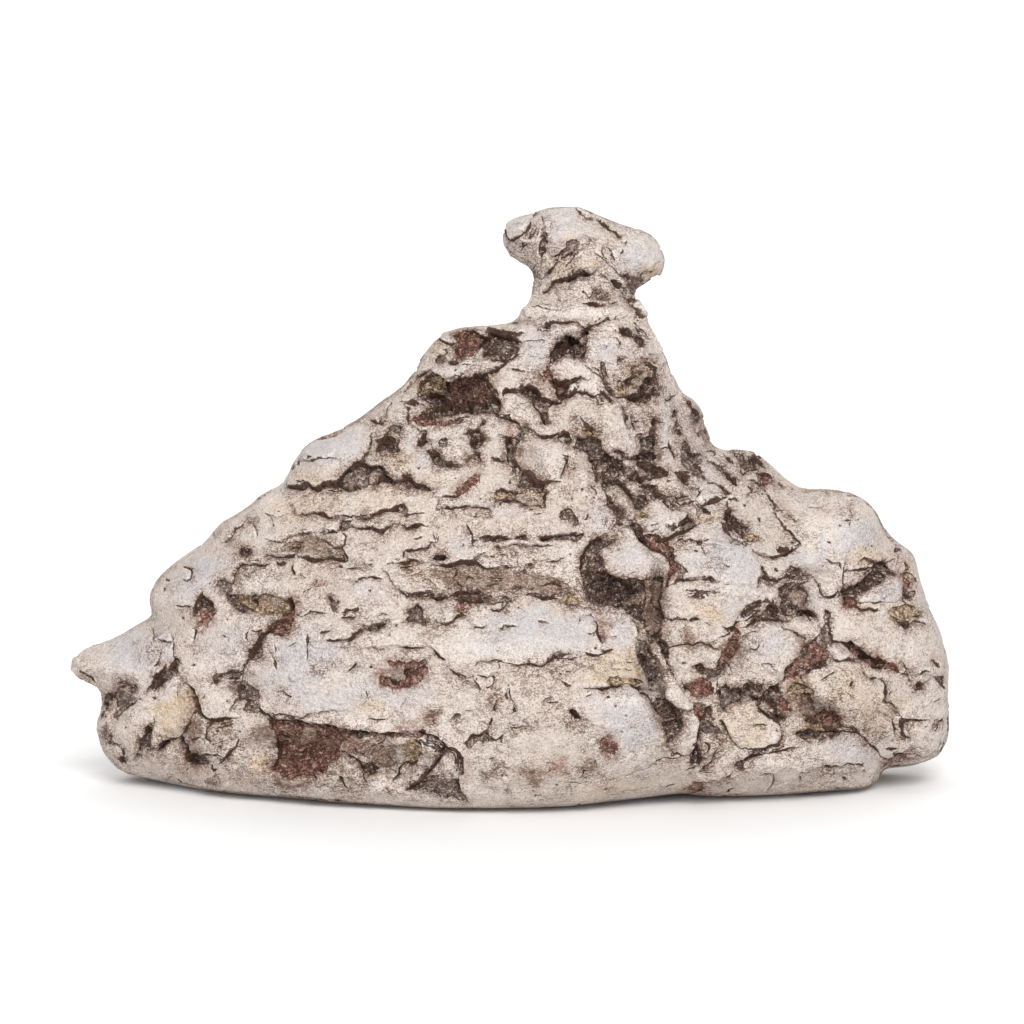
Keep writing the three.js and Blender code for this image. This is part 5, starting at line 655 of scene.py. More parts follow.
# kind (0 cool grey, 1 rust, 2 ochre, 3 speckle, 4 cream), strength, x, y, x radius, y radius, turn; the cream ones are
# partly painted highlight along ridges and on bright facets, and some speckle, rust, ochre and grey ones are painted
# shade in creases, under bosses and under ledges
TINTS = [
 (0,0.8,330,445,40,26,-25),(0,0.9,198,578,34,22,-10),(0,0.8,128,654,40,22,-12),(0,0.9,300,655,34,34,10),(0,0.6,330,700,40,12,-8),
 (0,0.9,548,628,52,20,4),(0,0.7,500,640,30,14,0),(0,0.9,735,565,30,44,-25),(0,0.9,862,536,30,16,30),(0,0.9,634,735,22,44,-20),(0,0.7,628,690,22,14,20),
 (0,0.6,632,560,30,18,20),(0,0.8,640,255,24,20,0),(0,0.6,560,230,34,20,0),(0,0.6,520,226,16,12,0),(0,0.8,612,350,26,14,10),(0,0.7,627,425,8,22,0),
 (0,0.7,620,640,16,22,0),(0,0.8,885,592,20,18,0),(0,0.8,845,745,34,14,6),(0,0.6,815,600,12,14,0),(0,0.6,370,590,28,12,5),(0,0.5,465,548,16,10,0),
 (0,0.7,415,455,22,16,0),(0,0.6,400,690,40,14,5),(0,0.6,535,345,22,22,0),(0,0.6,605,520,16,16,0),(0,0.7,690,565,24,14,0),(0,0.5,650,520,22,12,0),
 (0,0.6,765,640,20,20,0),(0,0.5,842,652,12,6,0),(0,0.5,230,640,26,26,0),(0,0.5,700,470,12,26,-30),(0,0.5,280,690,22,22,0),(2,0.9,184,700,14,12,30),
 (2,0.7,178,718,24,22,20),(2,0.9,906,612,18,9,10),(2,1,800,688,12,9,40),(2,0.9,815,725,20,9,0),(2,0.7,866,556,20,8,5),(2,0.8,612,680,30,6,0),
 (2,0.5,620,662,26,12,0),(2,0.5,746,722,26,22,0),(2,0.6,400,462,22,14,20),(2,0.5,264,765,12,8,0),(2,0.4,360,480,90,16,0),(2,0.4,330,505,80,14,0),
 (2,0.8,430,388,22,8,5),(2,0.7,585,268,10,6,0),(2,0.9,705,517,14,5,0),(2,0.9,752,537,12,4,0),(2,0.8,258,605,22,6,10),(2,0.7,642,514,8,5,0),
 (2,0.7,692,790,12,6,0),(2,0.5,700,610,14,12,0),(2,0.35,420,575,30,10,0),(2,0.4,850,690,30,20,0),(2,0.3,890,720,40,20,0),(1,0.9,465,345,18,14,0),
 (1,0.9,425,418,20,7,5),(1,0.9,465,388,26,12,0),(1,0.6,205,610,14,18,10),(1,0.8,292,615,8,18,0),(1,0.8,465,484,14,9,-35),(1,0.7,320,583,9,4,0),
 (1,0.6,460,609,14,7,0),(1,0.8,405,672,26,14,0),(1,0.9,290,740,28,20,20),(1,0.9,330,740,22,14,0),(1,0.8,300,768,30,10,0),(1,0.7,692,638,12,8,0),
 (1,0.8,730,648,10,20,20),(1,0.8,700,684,18,16,0),(1,0.8,668,732,10,12,0),(1,0.6,652,605,8,34,0),(1,0.8,880,662,26,9,20),(1,0.8,846,598,6,10,0),
 (1,0.7,906,590,7,14,0),(1,0.5,902,556,6,14,0),(1,0.6,794,672,14,14,0),(1,0.8,790,706,14,16,0),(1,0.9,826,720,18,8,0),(1,0.5,812,656,16,12,0),
 (1,0.6,784,514,12,16,-30),(1,0.5,766,480,16,8,0),(1,0.7,607,746,12,14,0),(1,0.6,535,776,18,9,10),(1,0.5,403,728,20,7,0),(1,0.5,430,722,10,12,0),
 (1,0.6,120,692,14,8,0),(1,0.5,120,712,8,16,10),(1,0.8,196,705,10,14,30),(1,0.6,190,740,10,20,0),(1,0.7,195,768,12,8,0),(1,0.6,600,625,6,18,0),
 (1,0.5,460,672,16,6,0),(1,0.5,548,374,8,12,0),(1,0.9,560,386,6,8,0),(1,0.5,655,376,10,14,0),(1,0.5,520,432,7,16,0),(1,0.4,573,468,8,8,0),
 (1,0.5,250,525,14,12,0),(1,0.5,240,550,14,16,0),(1,0.4,570,246,14,10,0),(1,0.5,604,296,14,8,0),(1,0.4,705,440,5,18,-20),(1,0.5,464,770,5,22,0),
 (1,0.35,260,735,16,16,0),(1,0.4,240,780,20,10,0),(3,0.7,640,380,24,22,0),(3,0.6,600,755,34,16,-30),(3,0.6,370,770,50,24,0),(3,0.7,440,785,30,12,10),
 (3,0.5,250,770,34,26,0),(3,0.5,480,595,40,8,0),(3,0.5,560,592,30,8,0),(3,0.6,210,740,20,26,0),(3,0.5,525,270,16,30,-15),(3,0.6,570,262,24,18,0),
 (3,0.4,430,580,40,14,0),(3,0.5,390,522,26,8,0),(3,0.6,585,428,26,10,0),(3,0.5,630,500,20,26,40),(3,0.5,400,465,22,14,0),(3,0.5,815,705,24,12,0),
 (3,0.4,860,715,40,16,10),(3,0.5,895,730,24,12,0),(3,0.5,235,648,16,8,-20),(3,0.4,560,668,30,14,0),(3,0.4,490,700,14,30,0),(3,0.4,495,772,16,14,0),
 (3,0.5,680,495,30,14,20),(3,0.5,745,475,26,16,30),(3,0.6,615,590,30,16,0),(3,0.5,250,570,24,14,0),(3,0.5,320,545,50,8,0),(3,0.4,500,560,50,14,0),
 (3,0.4,840,500,40,10,0),(3,0.5,660,760,16,8,0),(3,0.5,110,730,8,24,0),(3,0.4,715,748,14,18,0),(3,0.4,560,340,20,10,0),(3,0.5,505,345,18,10,0),
 (4,0.8,580,312,60,6,0),(4,0.7,380,724,60,6,4),(4,0.6,300,500,60,16,0),(4,0.5,490,330,40,6,5),(4,0.5,610,395,6,12,-40),(4,0.5,660,680,12,34,-30),
 (4,0.5,520,650,60,10,0),(4,0.5,700,725,12,20,0),(4,0.5,200,670,22,14,0),(4,0.5,140,610,30,8,-30),(4,0.5,580,790,120,10,-2),(4,0.6,560,580,24,20,0),
 (4,0.5,590,350,8,16,0),(4,0.5,830,510,40,24,0),(3,0.8,398,462,13,10,0),(2,0.9,705,519,10,3.5,0),(1,0.7,515,428,4,6,-30),(3,0.9,590,431,14,6,0),
 (1,0.6,475,596,26,5,4),(2,1.0,180,710,16,24,10),(4,0.8,160,722,5,22,12),(1,0.8,198,702,6,7,0),(1,0.8,190,767,11,8,0),(3,0.9,193,728,10,9,0),
 (2,0.7,370,706,13,6,0),(1,0.7,403,726,15,5,0),(2,0.8,262,764,11,9,0),(1,0.5,392,673,13,5,0),(3,1.0,308,737,10,9,0),(3,0.8,268,786,22,8,0),
 (3,0.8,322,668,18,8,-10),(3,0.7,150,655,14,16,0),(3,0.9,222,733,12,9,0),(3,0.9,560,668,20,9,0),(1,0.9,532,774,14,10,20),(3,0.8,550,768,7,6,0),
 (1,0.7,415,730,14,6,0),(1,0.8,463,771,3,7,0),(1,0.9,603,628,8,12,0),(2,0.8,622,668,24,18,0),(2,0.7,710,614,12,9,0),(1,0.9,688,637,8,10,0),
 (3,0.8,495,700,10,18,0),(3,0.8,520,727,14,8,0),(1,0.8,784,552,6,3,0),(1,0.7,799,640,5,14,-30),(0,0.8,745,572,14,20,0),(2,0.7,862,552,12,7,0),
 (2,0.6,710,612,12,9,0),(0,0.7,798,558,30,9,0),(3,0.7,716,566,12,7,0),(2,0.7,806,690,8,5,0),(1,0.8,795,672,12,8,-30),(1,1,610,748,13,13,0),
 (3,1,592,766,12,9,-20),(1,0.9,562,764,8,8,0),(3,0.9,575,724,12,8,0),(3,0.7,632,724,8,9,0),(0,0.9,594,697,12,6,0),(0,0.9,650,730,10,22,0),
 (1,0.8,696,789,16,8,-15),(1,0.7,669,752,6,8,0),(2,0.8,395,466,14,10,0),(3,0.9,330,493,13,7,0),(1,0.7,304,553,8,4,0),(2,0.6,292,512,10,8,0),
 (1,0.8,468,466,5,5,0),(1,0.8,464,489,12,6,-30),(3,0.8,484,514,12,6,0),(2,0.7,410,474,5,6,0),(2,0.6,505,495,10,5,0),(0,0.8,460,549,10,8,0),
 (3,0.8,563,492,14,8,0),(1,0.7,470,597,20,5,0),(2,0.6,403,566,8,5,0),(0,0.7,505,512,16,5,0),(4,0.7,505,504,10,3,0),(4,0.7,620,700,26,6,0),
 (2,0.6,730,735,12,16,0),(2,0.5,620,790,50,8,-5),(1,0.8,572,248,8,8,0),(2,0.7,569,236,8,6,0),(2,0.5,560,264,18,10,0),(2,0.8,650,270,12,6,-20),
 (1,0.6,655,276,8,4,0),(4,0.9,575,312,50,5,0),(3,0.9,530,323,10,4,0),(1,0.9,602,294,11,9,0),(2,0.8,590,266,14,5,0),(1,0.5,540,230,6,18,0),
 (0,0.6,625,262,18,14,0),(0,0.5,512,245,12,14,0),(3,0.7,522,248,8,12,0),(3,0.8,590,242,10,8,0),(2,0.8,500,332,20,4,6),(1,0.9,464,334,12,5,0),
 (2,0.6,440,345,8,8,0),(1,0.9,516,428,6,7,0),(0,0.8,470,372,24,5,0),(1,0.6,544,380,8,8,0),(2,0.6,545,418,6,8,0),(3,0.7,530,378,14,8,0),
 (2,0.5,430,384,10,8,0),(4,0.7,500,327,24,3,2),(2,0.8,640,370,14,10,0),(1,0.9,655,377,6,6,0),(1,0.7,648,358,12,6,0),(3,0.9,640,366,14,12,0),
 (1,0.7,590,433,12,6,0),(2,1,704,519,11,4,0),(1,0.8,668,550,6,12,0),(3,0.8,684,548,12,8,0),(3,0.8,610,526,10,10,0),(2,0.6,560,352,6,8,0),
 (0,0.7,606,350,16,10,0),(0,0.5,668,430,14,20,0),(2,0.6,610,536,12,3,0),(0,0.7,640,550,14,10,30),(0,0.6,720,550,16,10,30),(1,0.5,712,453,6,4,0),
 (3,0.7,610,375,8,12,0),(1,0.6,620,468,14,8,0),(0,0.6,626,424,8,16,0),(3,0.8,652,420,12,20,0),(2,0.5,622,388,9,9,0),(1,0.8,786,517,10,9,40),
 (1,0.9,752,537,9,3,10),(2,0.8,750,536,10,4,10),(1,0.5,828,511,14,6,0),(1,0.4,812,500,8,3,0),(1,0.6,851,512,5,8,0),(0,0.9,850,542,26,13,-15),
 (1,0.7,901,563,4,8,0),(2,0.7,908,572,7,10,0),(2,0.9,908,612,14,8,0),(2,0.7,868,608,12,4,0),(1,1,874,660,24,7,12),(1,0.5,934,656,6,10,0),
 (2,1,820,727,14,5,0),(2,1,804,691,6,4,0),(1,0.9,818,716,16,6,8),(1,0.6,896,762,9,4,0),(3,0.9,880,732,14,10,0),(3,0.8,838,695,16,12,0),
 (2,0.6,845,690,22,14,0),(0,0.6,935,735,8,12,0),(0,0.7,855,742,14,8,0),(2,0.5,820,792,24,5,-3),
]
# small shifts of the outline: x, y, x radius, y radius, shift right, shift down
NUDGES = [
 (74,672,26,26,-9,0),(99,740,20,40,-4,0),(942,740,26,34,5,0),
]

SIN, COS = math.sin(math.radians(8.0)), math.cos(math.radians(8.0))
CENTRE = (0.65, 0.41)  # the drawing's x and y under the middle of the CAD box
ROUND_EDGE, ROUND_KNOB, KNOB_FROM, ROUND_BASE, REACH = 9.0, 6.5, 54.0, 1.6, 5.2
LENS, SENSOR, WIDTH_MM = 240.0, 36.0, 128.0
AWAY = LENS / SENSOR * WIDTH_MM
TARGET = np.array([0.125 - CENTRE[0], -CENTRE[1], 34.08])  # mm, in the part's frame
EYE = TARGET + AWAY * np.array([0.0, -COS, SIN])
rng = np.random.default_rng(7)


def smooth(t):
    t = np.clip(t, 0.0, 1.0)
    return t * t * (3.0 - 2.0 * t)


# ---------------------------------------------------------------- the solid that the CAD part is, on a finer grid
def closed_curve(points, per=3, tension=0.4):
    P, out = np.array(points, float), []
    n = len(P)
    for i in range(n):
        p0, p1, p2, p3 = P[i - 1], P[i], P[(i + 1) % n], P[(i + 2) % n]
        t0, t1 = tension * (p2 - p0), tension * (p3 - p1)
        for k in range(per):
            t = k / per
            out.append(p1 + t0 * t + (-3 * p1 + 3 * p2 - 2 * t0 - t1) * t * t + (2 * p1 - 2 * p2 + t0 + t1) * t ** 3)
    return np.array(out)


def open_curve(points, per=4):
    P = np.array(points, float)
    if len(P) < 3:
        return P
    Q, out = np.vstack([2 * P[0] - P[1], P, 2 * P[-1] - P[-2]]), []
    for i in range(1, len(Q) - 2):
        p0, p1, p2, p3 = Q[i - 1], Q[i], Q[i + 1], Q[i + 2]
        for k in range(per):
            t = k / per
            out.append(0.5 * (2 * p1 + (p2 - p0) * t + (2 * p0 - 5 * p1 + 4 * p2 - p3) * t * t + (3 * p1 - p0 - 3 * p2 + p3) * t ** 3))
    out.append(P[-1])
    return np.array(out)


def ring_distance(ring, X, U):
    """Signed distance to a closed outline, negative inside."""
    best, inside = np.full(X.shape, 1e12), np.zeros(X.shape, bool)
    for a, b in zip(ring, np.roll(ring, -1, 0)):
        ex, eu = b[0] - a[0], b[1] - a[1]
        wx, wu = X - a[0], U - a[1]
        t = np.clip((wx * ex + wu * eu) / max(ex * ex + eu * eu, 1e-12), 0, 1)
        np.minimum(best, (wx - t * ex) ** 2 + (wu - t * eu) ** 2, out=best)
        if a[1] != b[1]:
            crosses = (a[1] <= U) != (b[1] <= U)
            inside ^= crosses & (X < a[0] + (U - a[1]) / (b[1] - a[1]) * ex)
    return np.where(inside, -1.0, 1.0) * np.sqrt(best)


def depth_at(points, X, U):
    s, m = np.zeros(X.shape), np.zeros(X.shape)
    for px, pu, py in points:
        r2 = ((X - px) ** 2 + (U - pu) ** 2) / (2 * REACH * REACH)
        w = np.exp(-r2) + 1e-6 / (1 + r2)
        s += w * py
        m += w
    return s / m


def hollow_at(hollows, X, U):
    s = np.zeros(X.shape)
    for px, pu, rx, ru, turn, depth in hollows:
        c, n = math.cos(math.radians(turn)), math.sin(math.radians(turn))
        dx, du = X - px, U - pu
        r2 = ((dx * c - du * n) / rx) ** 2 + ((dx * n + du * c) / ru) ** 2
        s += depth * np.clip(1 - r2, 0, None) ** 2
    return s


def round_max(a, b, r):
    p, q = np.maximum(a + r, 0), np.maximum(b + r, 0)
    return np.where((p > 0) & (q > 0), np.hypot(p, q) - r, np.maximum(a, b))


def solid_field(xs, ys, zs):
    us = np.arange(zs[0] * COS + ys[0] * SIN - 1.0, zs[-1] * COS + ys[-1] * SIN + 1.0, 0.3)
    X, U = np.meshgrid(xs, us, indexing="ij")
    S = ring_distance(closed_curve(OUTLINE), X, U)
    front = depth_at(FRONT, X, U) + hollow_at(HOLLOWS, X, U)
    back = depth_at(BACK, X, U) - hollow_at(BACK_HOLLOWS, X, U)
    k = smooth((us - (KNOB_FROM - 5)) / 7.0)
    rad = ROUND_EDGE + (ROUND_KNOB - ROUND_EDGE) * k
    Y, Z = np.meshgrid(ys, zs, indexing="ij")
    at = (Z * COS + Y * SIN - us[0]) / 0.3
    i = np.clip(at.astype(int), 0, len(us) - 2)
    f = at - i
    F = np.empty((len(xs), len(ys), len(zs)), np.float32)
    r2 = rad[i] * (1 - f) + rad[i + 1] * f
    for n in range(len(xs)):
        s, a, b = (t[n][i] * (1 - f) + t[n][i + 1] * f for t in (S, front, back))
        F[n] = round_max(round_max(s, np.maximum(a - Y, Y - b), r2), -Z, ROUND_BASE)
    return F


def surface_nets(F, lo, cell):
    """A closed quad skin of F < 0."""
    ins = F < 0
    shape = np.array(F.shape) - 1
    total = int(np.prod(shape))
    acc, cnt, quads = [np.zeros(total) for _ in range(3)], np.zeros(total), []
    for a in range(3):
        s0, s1 = [slice(None)] * 3, [slice(None)] * 3
        s0[a], s1[a] = slice(0, -1), slice(1, None)
        f0, f1 = F[tuple(s0)], F[tuple(s1)]
        m = ins[tuple(s0)] != ins[tuple(s1)]
        idx = np.argwhere(m)
        pos = idx.astype(float)
        pos[:, a] += f0[m] / (f0[m] - f1[m])
        b, c = (a + 1) % 3, (a + 2) % 3
        corner = []
        for db, dc in ((1, 1), (0, 1), (0, 0), (1, 0)):
            q = idx.copy()
            q[:, b] -= db
            q[:, c] -= dc
            flat = np.ravel_multi_index(np.clip(q, 0, shape - 1).T, shape)
            corner.append(flat)
            for d in range(3):
                acc[d] += np.bincount(flat, pos[:, d], total)
            cnt += np.bincount(flat, None, total)
        quad = np.stack(corner, 1)
        out = ins[tuple(s0)][m]
        quad[~out] = quad[~out][:, ::-1]
        quads.append(quad)
    used = np.flatnonzero(cnt)
    number = np.full(total, -1)
    number[used] = np.arange(len(used))
    verts = np.stack([acc[d][used] / cnt[used] for d in range(3)], 1) * cell + np.array(lo)
    return verts, number[np.vstack(quads)]


# ---------------------------------------------------------------- the drawing of the front: units of 1/8 mm, x right, y down
RES, GX0, GY0, GW, GH = 2, 56, 180, 904, 650
GX, GY = np.meshgrid(GX0 + np.arange(GW * RES) / RES, GY0 + np.arange(GH * RES) / RES)


def noise2(size, seed, stretch=1.0):
    """Smooth noise from -1 to 1, with lumps about `size` units across."""
    r = np.random.default_rng(seed)
    sx, sy = size * RES * stretch, size * RES
    nx, ny = int(GW * RES / sx) + 4, int(GH * RES / sy) + 4
    t = r.uniform(-1, 1, (ny, nx))
    jx, jy = np.arange(GW * RES) / sx, np.arange(GH * RES) / sy
    ix, iy = jx.astype(int), jy.astype(int)
    fx, fy = jx - ix, jy - iy

    def weights(f):
        return ((1 - f) ** 3 / 6, (3 * f ** 3 - 6 * f * f + 4) / 6, (-3 * f ** 3 + 3 * f * f + 3 * f + 1) / 6, f ** 3 / 6)

    rows = sum(w[None, :] * t[:, np.minimum(ix + k, nx - 1)] for k, w in enumerate(weights(fx)))
    return 2.2 * sum(w[:, None] * rows[np.minimum(iy + k, ny - 1)] for k, w in enumerate(weights(fy)))


WX = GX + 1.0 * noise2(7, 11) + 0.75 * noise2(3.2, 12) + 0.35 * noise2(1.6, 15)
WY = GY + 1.0 * noise2(7, 13) + 0.75 * noise2(3.2, 14) + 0.35 * noise2(1.6, 16)


def cells2(size, seed, stretch=1.0):
    """Gap between the nearest two seeds of a jittered grid, in cells, and their numbers."""
    r = np.random.default_rng(seed)
    nx, ny = int(GW / (size * stretch)) + 6, int(GH / size) + 6
    sx, sy, num = r.uniform(0.08, 0.92, (ny, nx)), r.uniform(0.08, 0.92, (ny, nx)), r.uniform(0, 1, (ny, nx))
    X = (WX + 0.30 * size * noise2(size * 1.1, seed + 100) + 0.16 * size * noise2(size * 0.45, seed + 101) - GX0) / (size * stretch) + 2
    Y = (WY + 0.30 * size * noise2(size * 1.1, seed + 102) + 0.16 * size * noise2(size * 0.45, seed + 103) - GY0) / size + 2
    ix, iy = np.floor(X).astype(int), np.floor(Y).astype(int)
    f1 = np.full(X.shape, 9.0, np.float32)
    f2, who, who2 = f1.copy(), np.zeros(X.shape, np.float32), np.zeros(X.shape, np.float32)
    for dy in (-1, 0, 1):
        for dx in (-1, 0, 1):
            cx, cy = np.clip(ix + dx, 0, nx - 1), np.clip(iy + dy, 0, ny - 1)
            d = np.hypot(X - cx - sx[cy, cx], Y - cy - sy[cy, cx])
            nearer = d < f1
            who2 = np.where(nearer, who, np.where(d < f2, num[cy, cx], who2))
            f2 = np.where(nearer, f1, np.minimum(f2, d))
            who = np.where(nearer, num[cy, cx], who)
            f1 = np.where(nearer, d, f1)
    return f2 - f1, who, who2


def window(points, pad):
    P = np.array(points, float)
    x0, y0 = P.min(0) - pad
    x1, y1 = P.max(0) + pad
    c = [int(max(0, (x0 - GX0) * RES)), int(min(GW * RES, (x1 - GX0) * RES + 2))]
    r = [int(max(0, (y0 - GY0) * RES)), int(min(GH * RES, (y1 - GY0) * RES + 2))]
    return slice(r[0], r[1]), slice(c[0], c[1])


def line_distance(P, X, Y):
    """Distance to an open line, the share of the way along, which side (+ on the left), and how far below it."""
    best, along, side, below = np.full(X.shape, 1e12), np.zeros(X.shape), np.zeros(X.shape), np.zeros(X.shape)
    L = np.hypot(*(P[1:] - P[:-1]).T)
    start, total = np.concatenate([[0], np.cumsum(L)[:-1]]), max(L.sum(), 1e-9)
    for i in range(len(P) - 1):
        ex, ey = P[i + 1] - P[i]
        wx, wy = X - P[i, 0], Y - P[i, 1]
        t = np.clip((wx * ex + wy * ey) / max(L[i] ** 2, 1e-12), 0, 1)
        d = (wx - t * ex) ** 2 + (wy - t * ey) ** 2
        near = d < best
        best = np.where(near, d, best)
        along = np.where(near, (start[i] + t * L[i]) / total, along)
        side = np.where(near, np.sign(wx * ey - wy * ex), side)
        below = np.where(near, wy - t * ey, below)
    return np.sqrt(best), along, side, below


def draw_front():
    H = {k: np.zeros(GX.shape, np.float32) for k in ("step", "lump", "pit", "crack", "ridge")}
    side_of, width_of, score = np.full(GX.shape, 8.0, np.float32), np.full(GX.shape, -8.0, np.float32), np.full(GX.shape, 9.0, np.float32)
    M = {k: np.zeros(GX.shape, np.float32) for k in ("line", "taupe", "rust", "ochre", "black", "cool", "stain", "yellow", "speck", "cream_and_highlight", "pit", "dirt_and_shade", "bed")}
    vary = noise2(9, 21)
    fine = noise2(2.2, 22)
    for height, reach, points in STEPS:
        P = open_curve(points)
        w = window(P, reach * 3)
        d, s, side, _ = line_distance(P, WX[w], WY[w])
        ends = smooth(np.minimum(s, 1 - s) / 0.10)
        up = smooth(side * d / 1.6 + 0.5) * np.exp(-d / reach) * ends
        down = smooth(-side * d / 1.6 + 0.5) * np.exp(-d / (reach * 0.6)) * ends
        H["step"][w] += height * 0.75 * up - height * 0.35 * down
        # painted shadow: a dark line along the low side of each step, under its edge
        M["line"][w] = np.maximum(M["line"][w], 0.45 * down * np.exp(-d / 3))
    for height, rim, points in LUMPS:
        P = closed_curve(points, 3, 0.5)
        w = window(P, 3)
        d = np.maximum(-ring_distance(P, WX[w], WY[w]), 0)
        dome = np.sqrt(np.clip(1 - (1 - np.clip(d / rim, 0, 1)) ** 2, 0, 1))
        H["lump"][w] = np.maximum(H["lump"][w], height * dome)
    for depth, kind, points in PITS:
        P = closed_curve(points, 3, 0.5)
        w = window(P, 6)
        d = -ring_distance(P, WX[w], WY[w]) + 0.9 * vary[w] + 0.5 * fine[w]
        wall = 1.0 + 0.14 * depth
        H["pit"][w] = np.minimum(H["pit"][w], -depth * smooth(d / wall + 0.15) * (1 + 0.22 * vary[w] + 0.16 * fine[w]))
        H["ridge"][w] += min(depth, 6) * 0.05 * np.exp(-((d + 1.6) / 1.4) ** 2)
        inside = np.clip(0.5 + d / (6 if depth > 2.5 else 9), 0, 1)
        M["pit"][w] = np.maximum(M["pit"][w], inside)
        # painted shade, spreading from each pit's edge onto the crust around it
        M["dirt_and_shade"][w] = np.maximum(M["dirt_and_shade"][w], np.exp(-np.maximum(-d, 0) / (2.0 + 0.6 * depth)) * min(1.0, 0.3 + 0.12 * depth))
        name = ("taupe", "rust", "ochre", "black", "bed")[kind]
        M[name][w] = np.maximum(M[name][w], inside * (1.0 if kind == 4 else min(1.0, 0.60 + 0.10 * depth)))
    small = np.zeros(GX.shape, np.float32)

    def edge(w, d, half):
        """Marks an outline as a crack; half is its half width, d the distance inward."""
        reach = np.where(np.abs(d) < 2.6 + half, half, -8.0)
        nearer = np.abs(d) - reach < score[w]
        score[w] = np.where(nearer, np.abs(d) - reach, score[w])
        side_of[w] = np.where(nearer, d, side_of[w])
        width_of[w] = np.where(nearer, reach, width_of[w])

    for depth, kind, points in PITS:
        P = closed_curve(points, 3, 0.5)
        w = window(P, 6)
        d = -ring_distance(P, WX[w], WY[w]) + 0.9 * vary[w] + 0.5 * fine[w]
        # the pit's outline is drawn as a crack, wider along the pit's upper wall: a painted shadow under the overhang
        down, across = np.gradient(d, 1.0 / RES)
        roof_shadow = smooth(0.5 + 0.8 * (down + 0.5 * across))
        edge(w, d - 0.4, (0.15 + 0.13 * min(depth, 8)) * (0.35 + 0.9 * roof_shadow) * (0.8 + 0.5 * vary[w]) - (0.5 if kind == 4 else 0.0))
    for height, rim, points in LUMPS:
        P = closed_curve(points, 3, 0.5)
        w = window(P, 4)
        d = -ring_distance(P, WX[w], WY[w])
        if rim <= 5:
            small[w] = np.maximum(small[w], smooth(d / 1.6 + 0.3))
        # the lump's outline is drawn as a crack only on its lower side: a painted shadow at its foot
        down, across = np.gradient(d, 1.0 / RES)
        foot_shadow = smooth(0.3 - 0.9 * (down + 0.4 * across))
        edge(w, d + 0.6, (0.2 + 0.12 * height) * foot_shadow * (1 + 0.8 * vary[w]) - 0.25)
    for name in ("taupe", "rust", "ochre", "black", "pit", "bed"):
        M[name] *= 1 - 0.72 * small
    for half, depth, points in CRACKS:
        P = open_curve(points)
        w = window(P, 22)
        d, s, side, below = line_distance(P, WX[w], WY[w])
        side = -side if P[-1, 0] - P[0, 0] > 0.35 * abs(P[-1, 1] - P[0, 1]) or (abs(P[-1, 0] - P[0, 0]) <= 0.35 * abs(P[-1, 1] - P[0, 1]) and P[-1, 1] < P[0, 1]) else side
        taper = 0.35 + 0.65 * smooth(np.minimum(s, 1 - s) / 0.22)
        width = half * taper * np.clip(1 + 0.6 * vary[w] + 0.25 * fine[w], 0.4, 2)
        groove = np.clip(1 - d / (np.maximum(width, 0.9) * 1.15), 0, 1)
        H["crack"][w] = np.minimum(H["crack"][w], -depth * 0.8 * (0.5 + 0.5 * taper) * groove)
        fade = smooth(np.minimum(s, 1 - s) / 0.2) * np.clip(1 - d / 20, 0, 1)
        H["step"][w] -= 0.32 * depth * np.clip(below / np.maximum(d, 1.0), -1, 1) * np.exp(-d / (4 + 1.2 * depth)) * fade
        reach = np.where((s <= 0) | (s >= 1), 0.3 - d, np.maximum(0.72 * width, 0.45))
        reach = np.where(d > 2.6 + reach, -8.0, reach)
        nearer = d - reach < score[w]
        score[w] = np.where(nearer, d - reach, score[w])
        side_of[w] = np.where(nearer, np.where(side < 0, -d, d), side_of[w])
        width_of[w] = np.where(nearer, reach, width_of[w])
        # painted shade beside each crack, wider and darker on the side below it, under the overhanging plate
        under = np.where(side > 0, 1.0, 0.45)
        M["dirt_and_shade"][w] = np.maximum(M["dirt_and_shade"][w], np.exp(-d / ((2.0 + 1.2 * depth) * under)) * min(1.0, 0.40 + 0.13 * depth) * taper * (0.4 + 0.6 * under))
    for half, height, points in RIDGES:
        P = open_curve(points)
        w = window(P, half * 4)
        d, s, _, _ = line_distance(P, WX[w], WY[w])
        H["ridge"][w] += height * np.exp(-(d / half) ** 2) * smooth(np.minimum(s, 1 - s) / 0.15)
        # painted highlight along the ridge's crest
        M["cream_and_highlight"][w] = np.maximum(M["cream_and_highlight"][w], 0.7 * np.exp(-(d / half) ** 2))
    soft = noise2(12, 31) * 0.35 + noise2(5, 32) * 0.25
    for kind, strength, x, y, rx, ry, turn in TINTS:
        w = window([(x - 1.8 * max(rx, ry), y - 1.8 * max(rx, ry)), (x + 1.8 * max(rx, ry), y + 1.8 * max(rx, ry))], 0)
        c, n = math.cos(math.radians(turn)), math.sin(math.radians(turn))
        dx, dy = GX[w] - x, GY[w] - y
        r = np.sqrt(((dx * c + dy * n) / rx) ** 2 + ((-dx * n + dy * c) / ry) ** 2) + soft[w]
        name = ("cool", "stain", "yellow", "speck", "cream_and_highlight")[kind]
        M[name][w] = np.maximum(M[name][w], strength * smooth((1.35 - r) / 0.9))
    rough = 0.9 * noise2(16, 41, 1.3) + 0.9 * noise2(7, 42, 1.4) + 0.75 * noise2(3.4, 43, 1.3) + 0.30 * noise2(1.8, 44)
    rough = rough + 1.3 * M["pit"] * np.abs(noise2(5, 45, 1.2)) + 0.8 * M["pit"] * noise2(2.6, 46)
    calm = 1 - 0.50 * M["cool"] - 0.3 * M["cream_and_highlight"]
    rough = rough * calm * (0.72 + 0.6 * M["speck"] + 0.6 * np.maximum(M["dirt_and_shade"], M["bed"]))
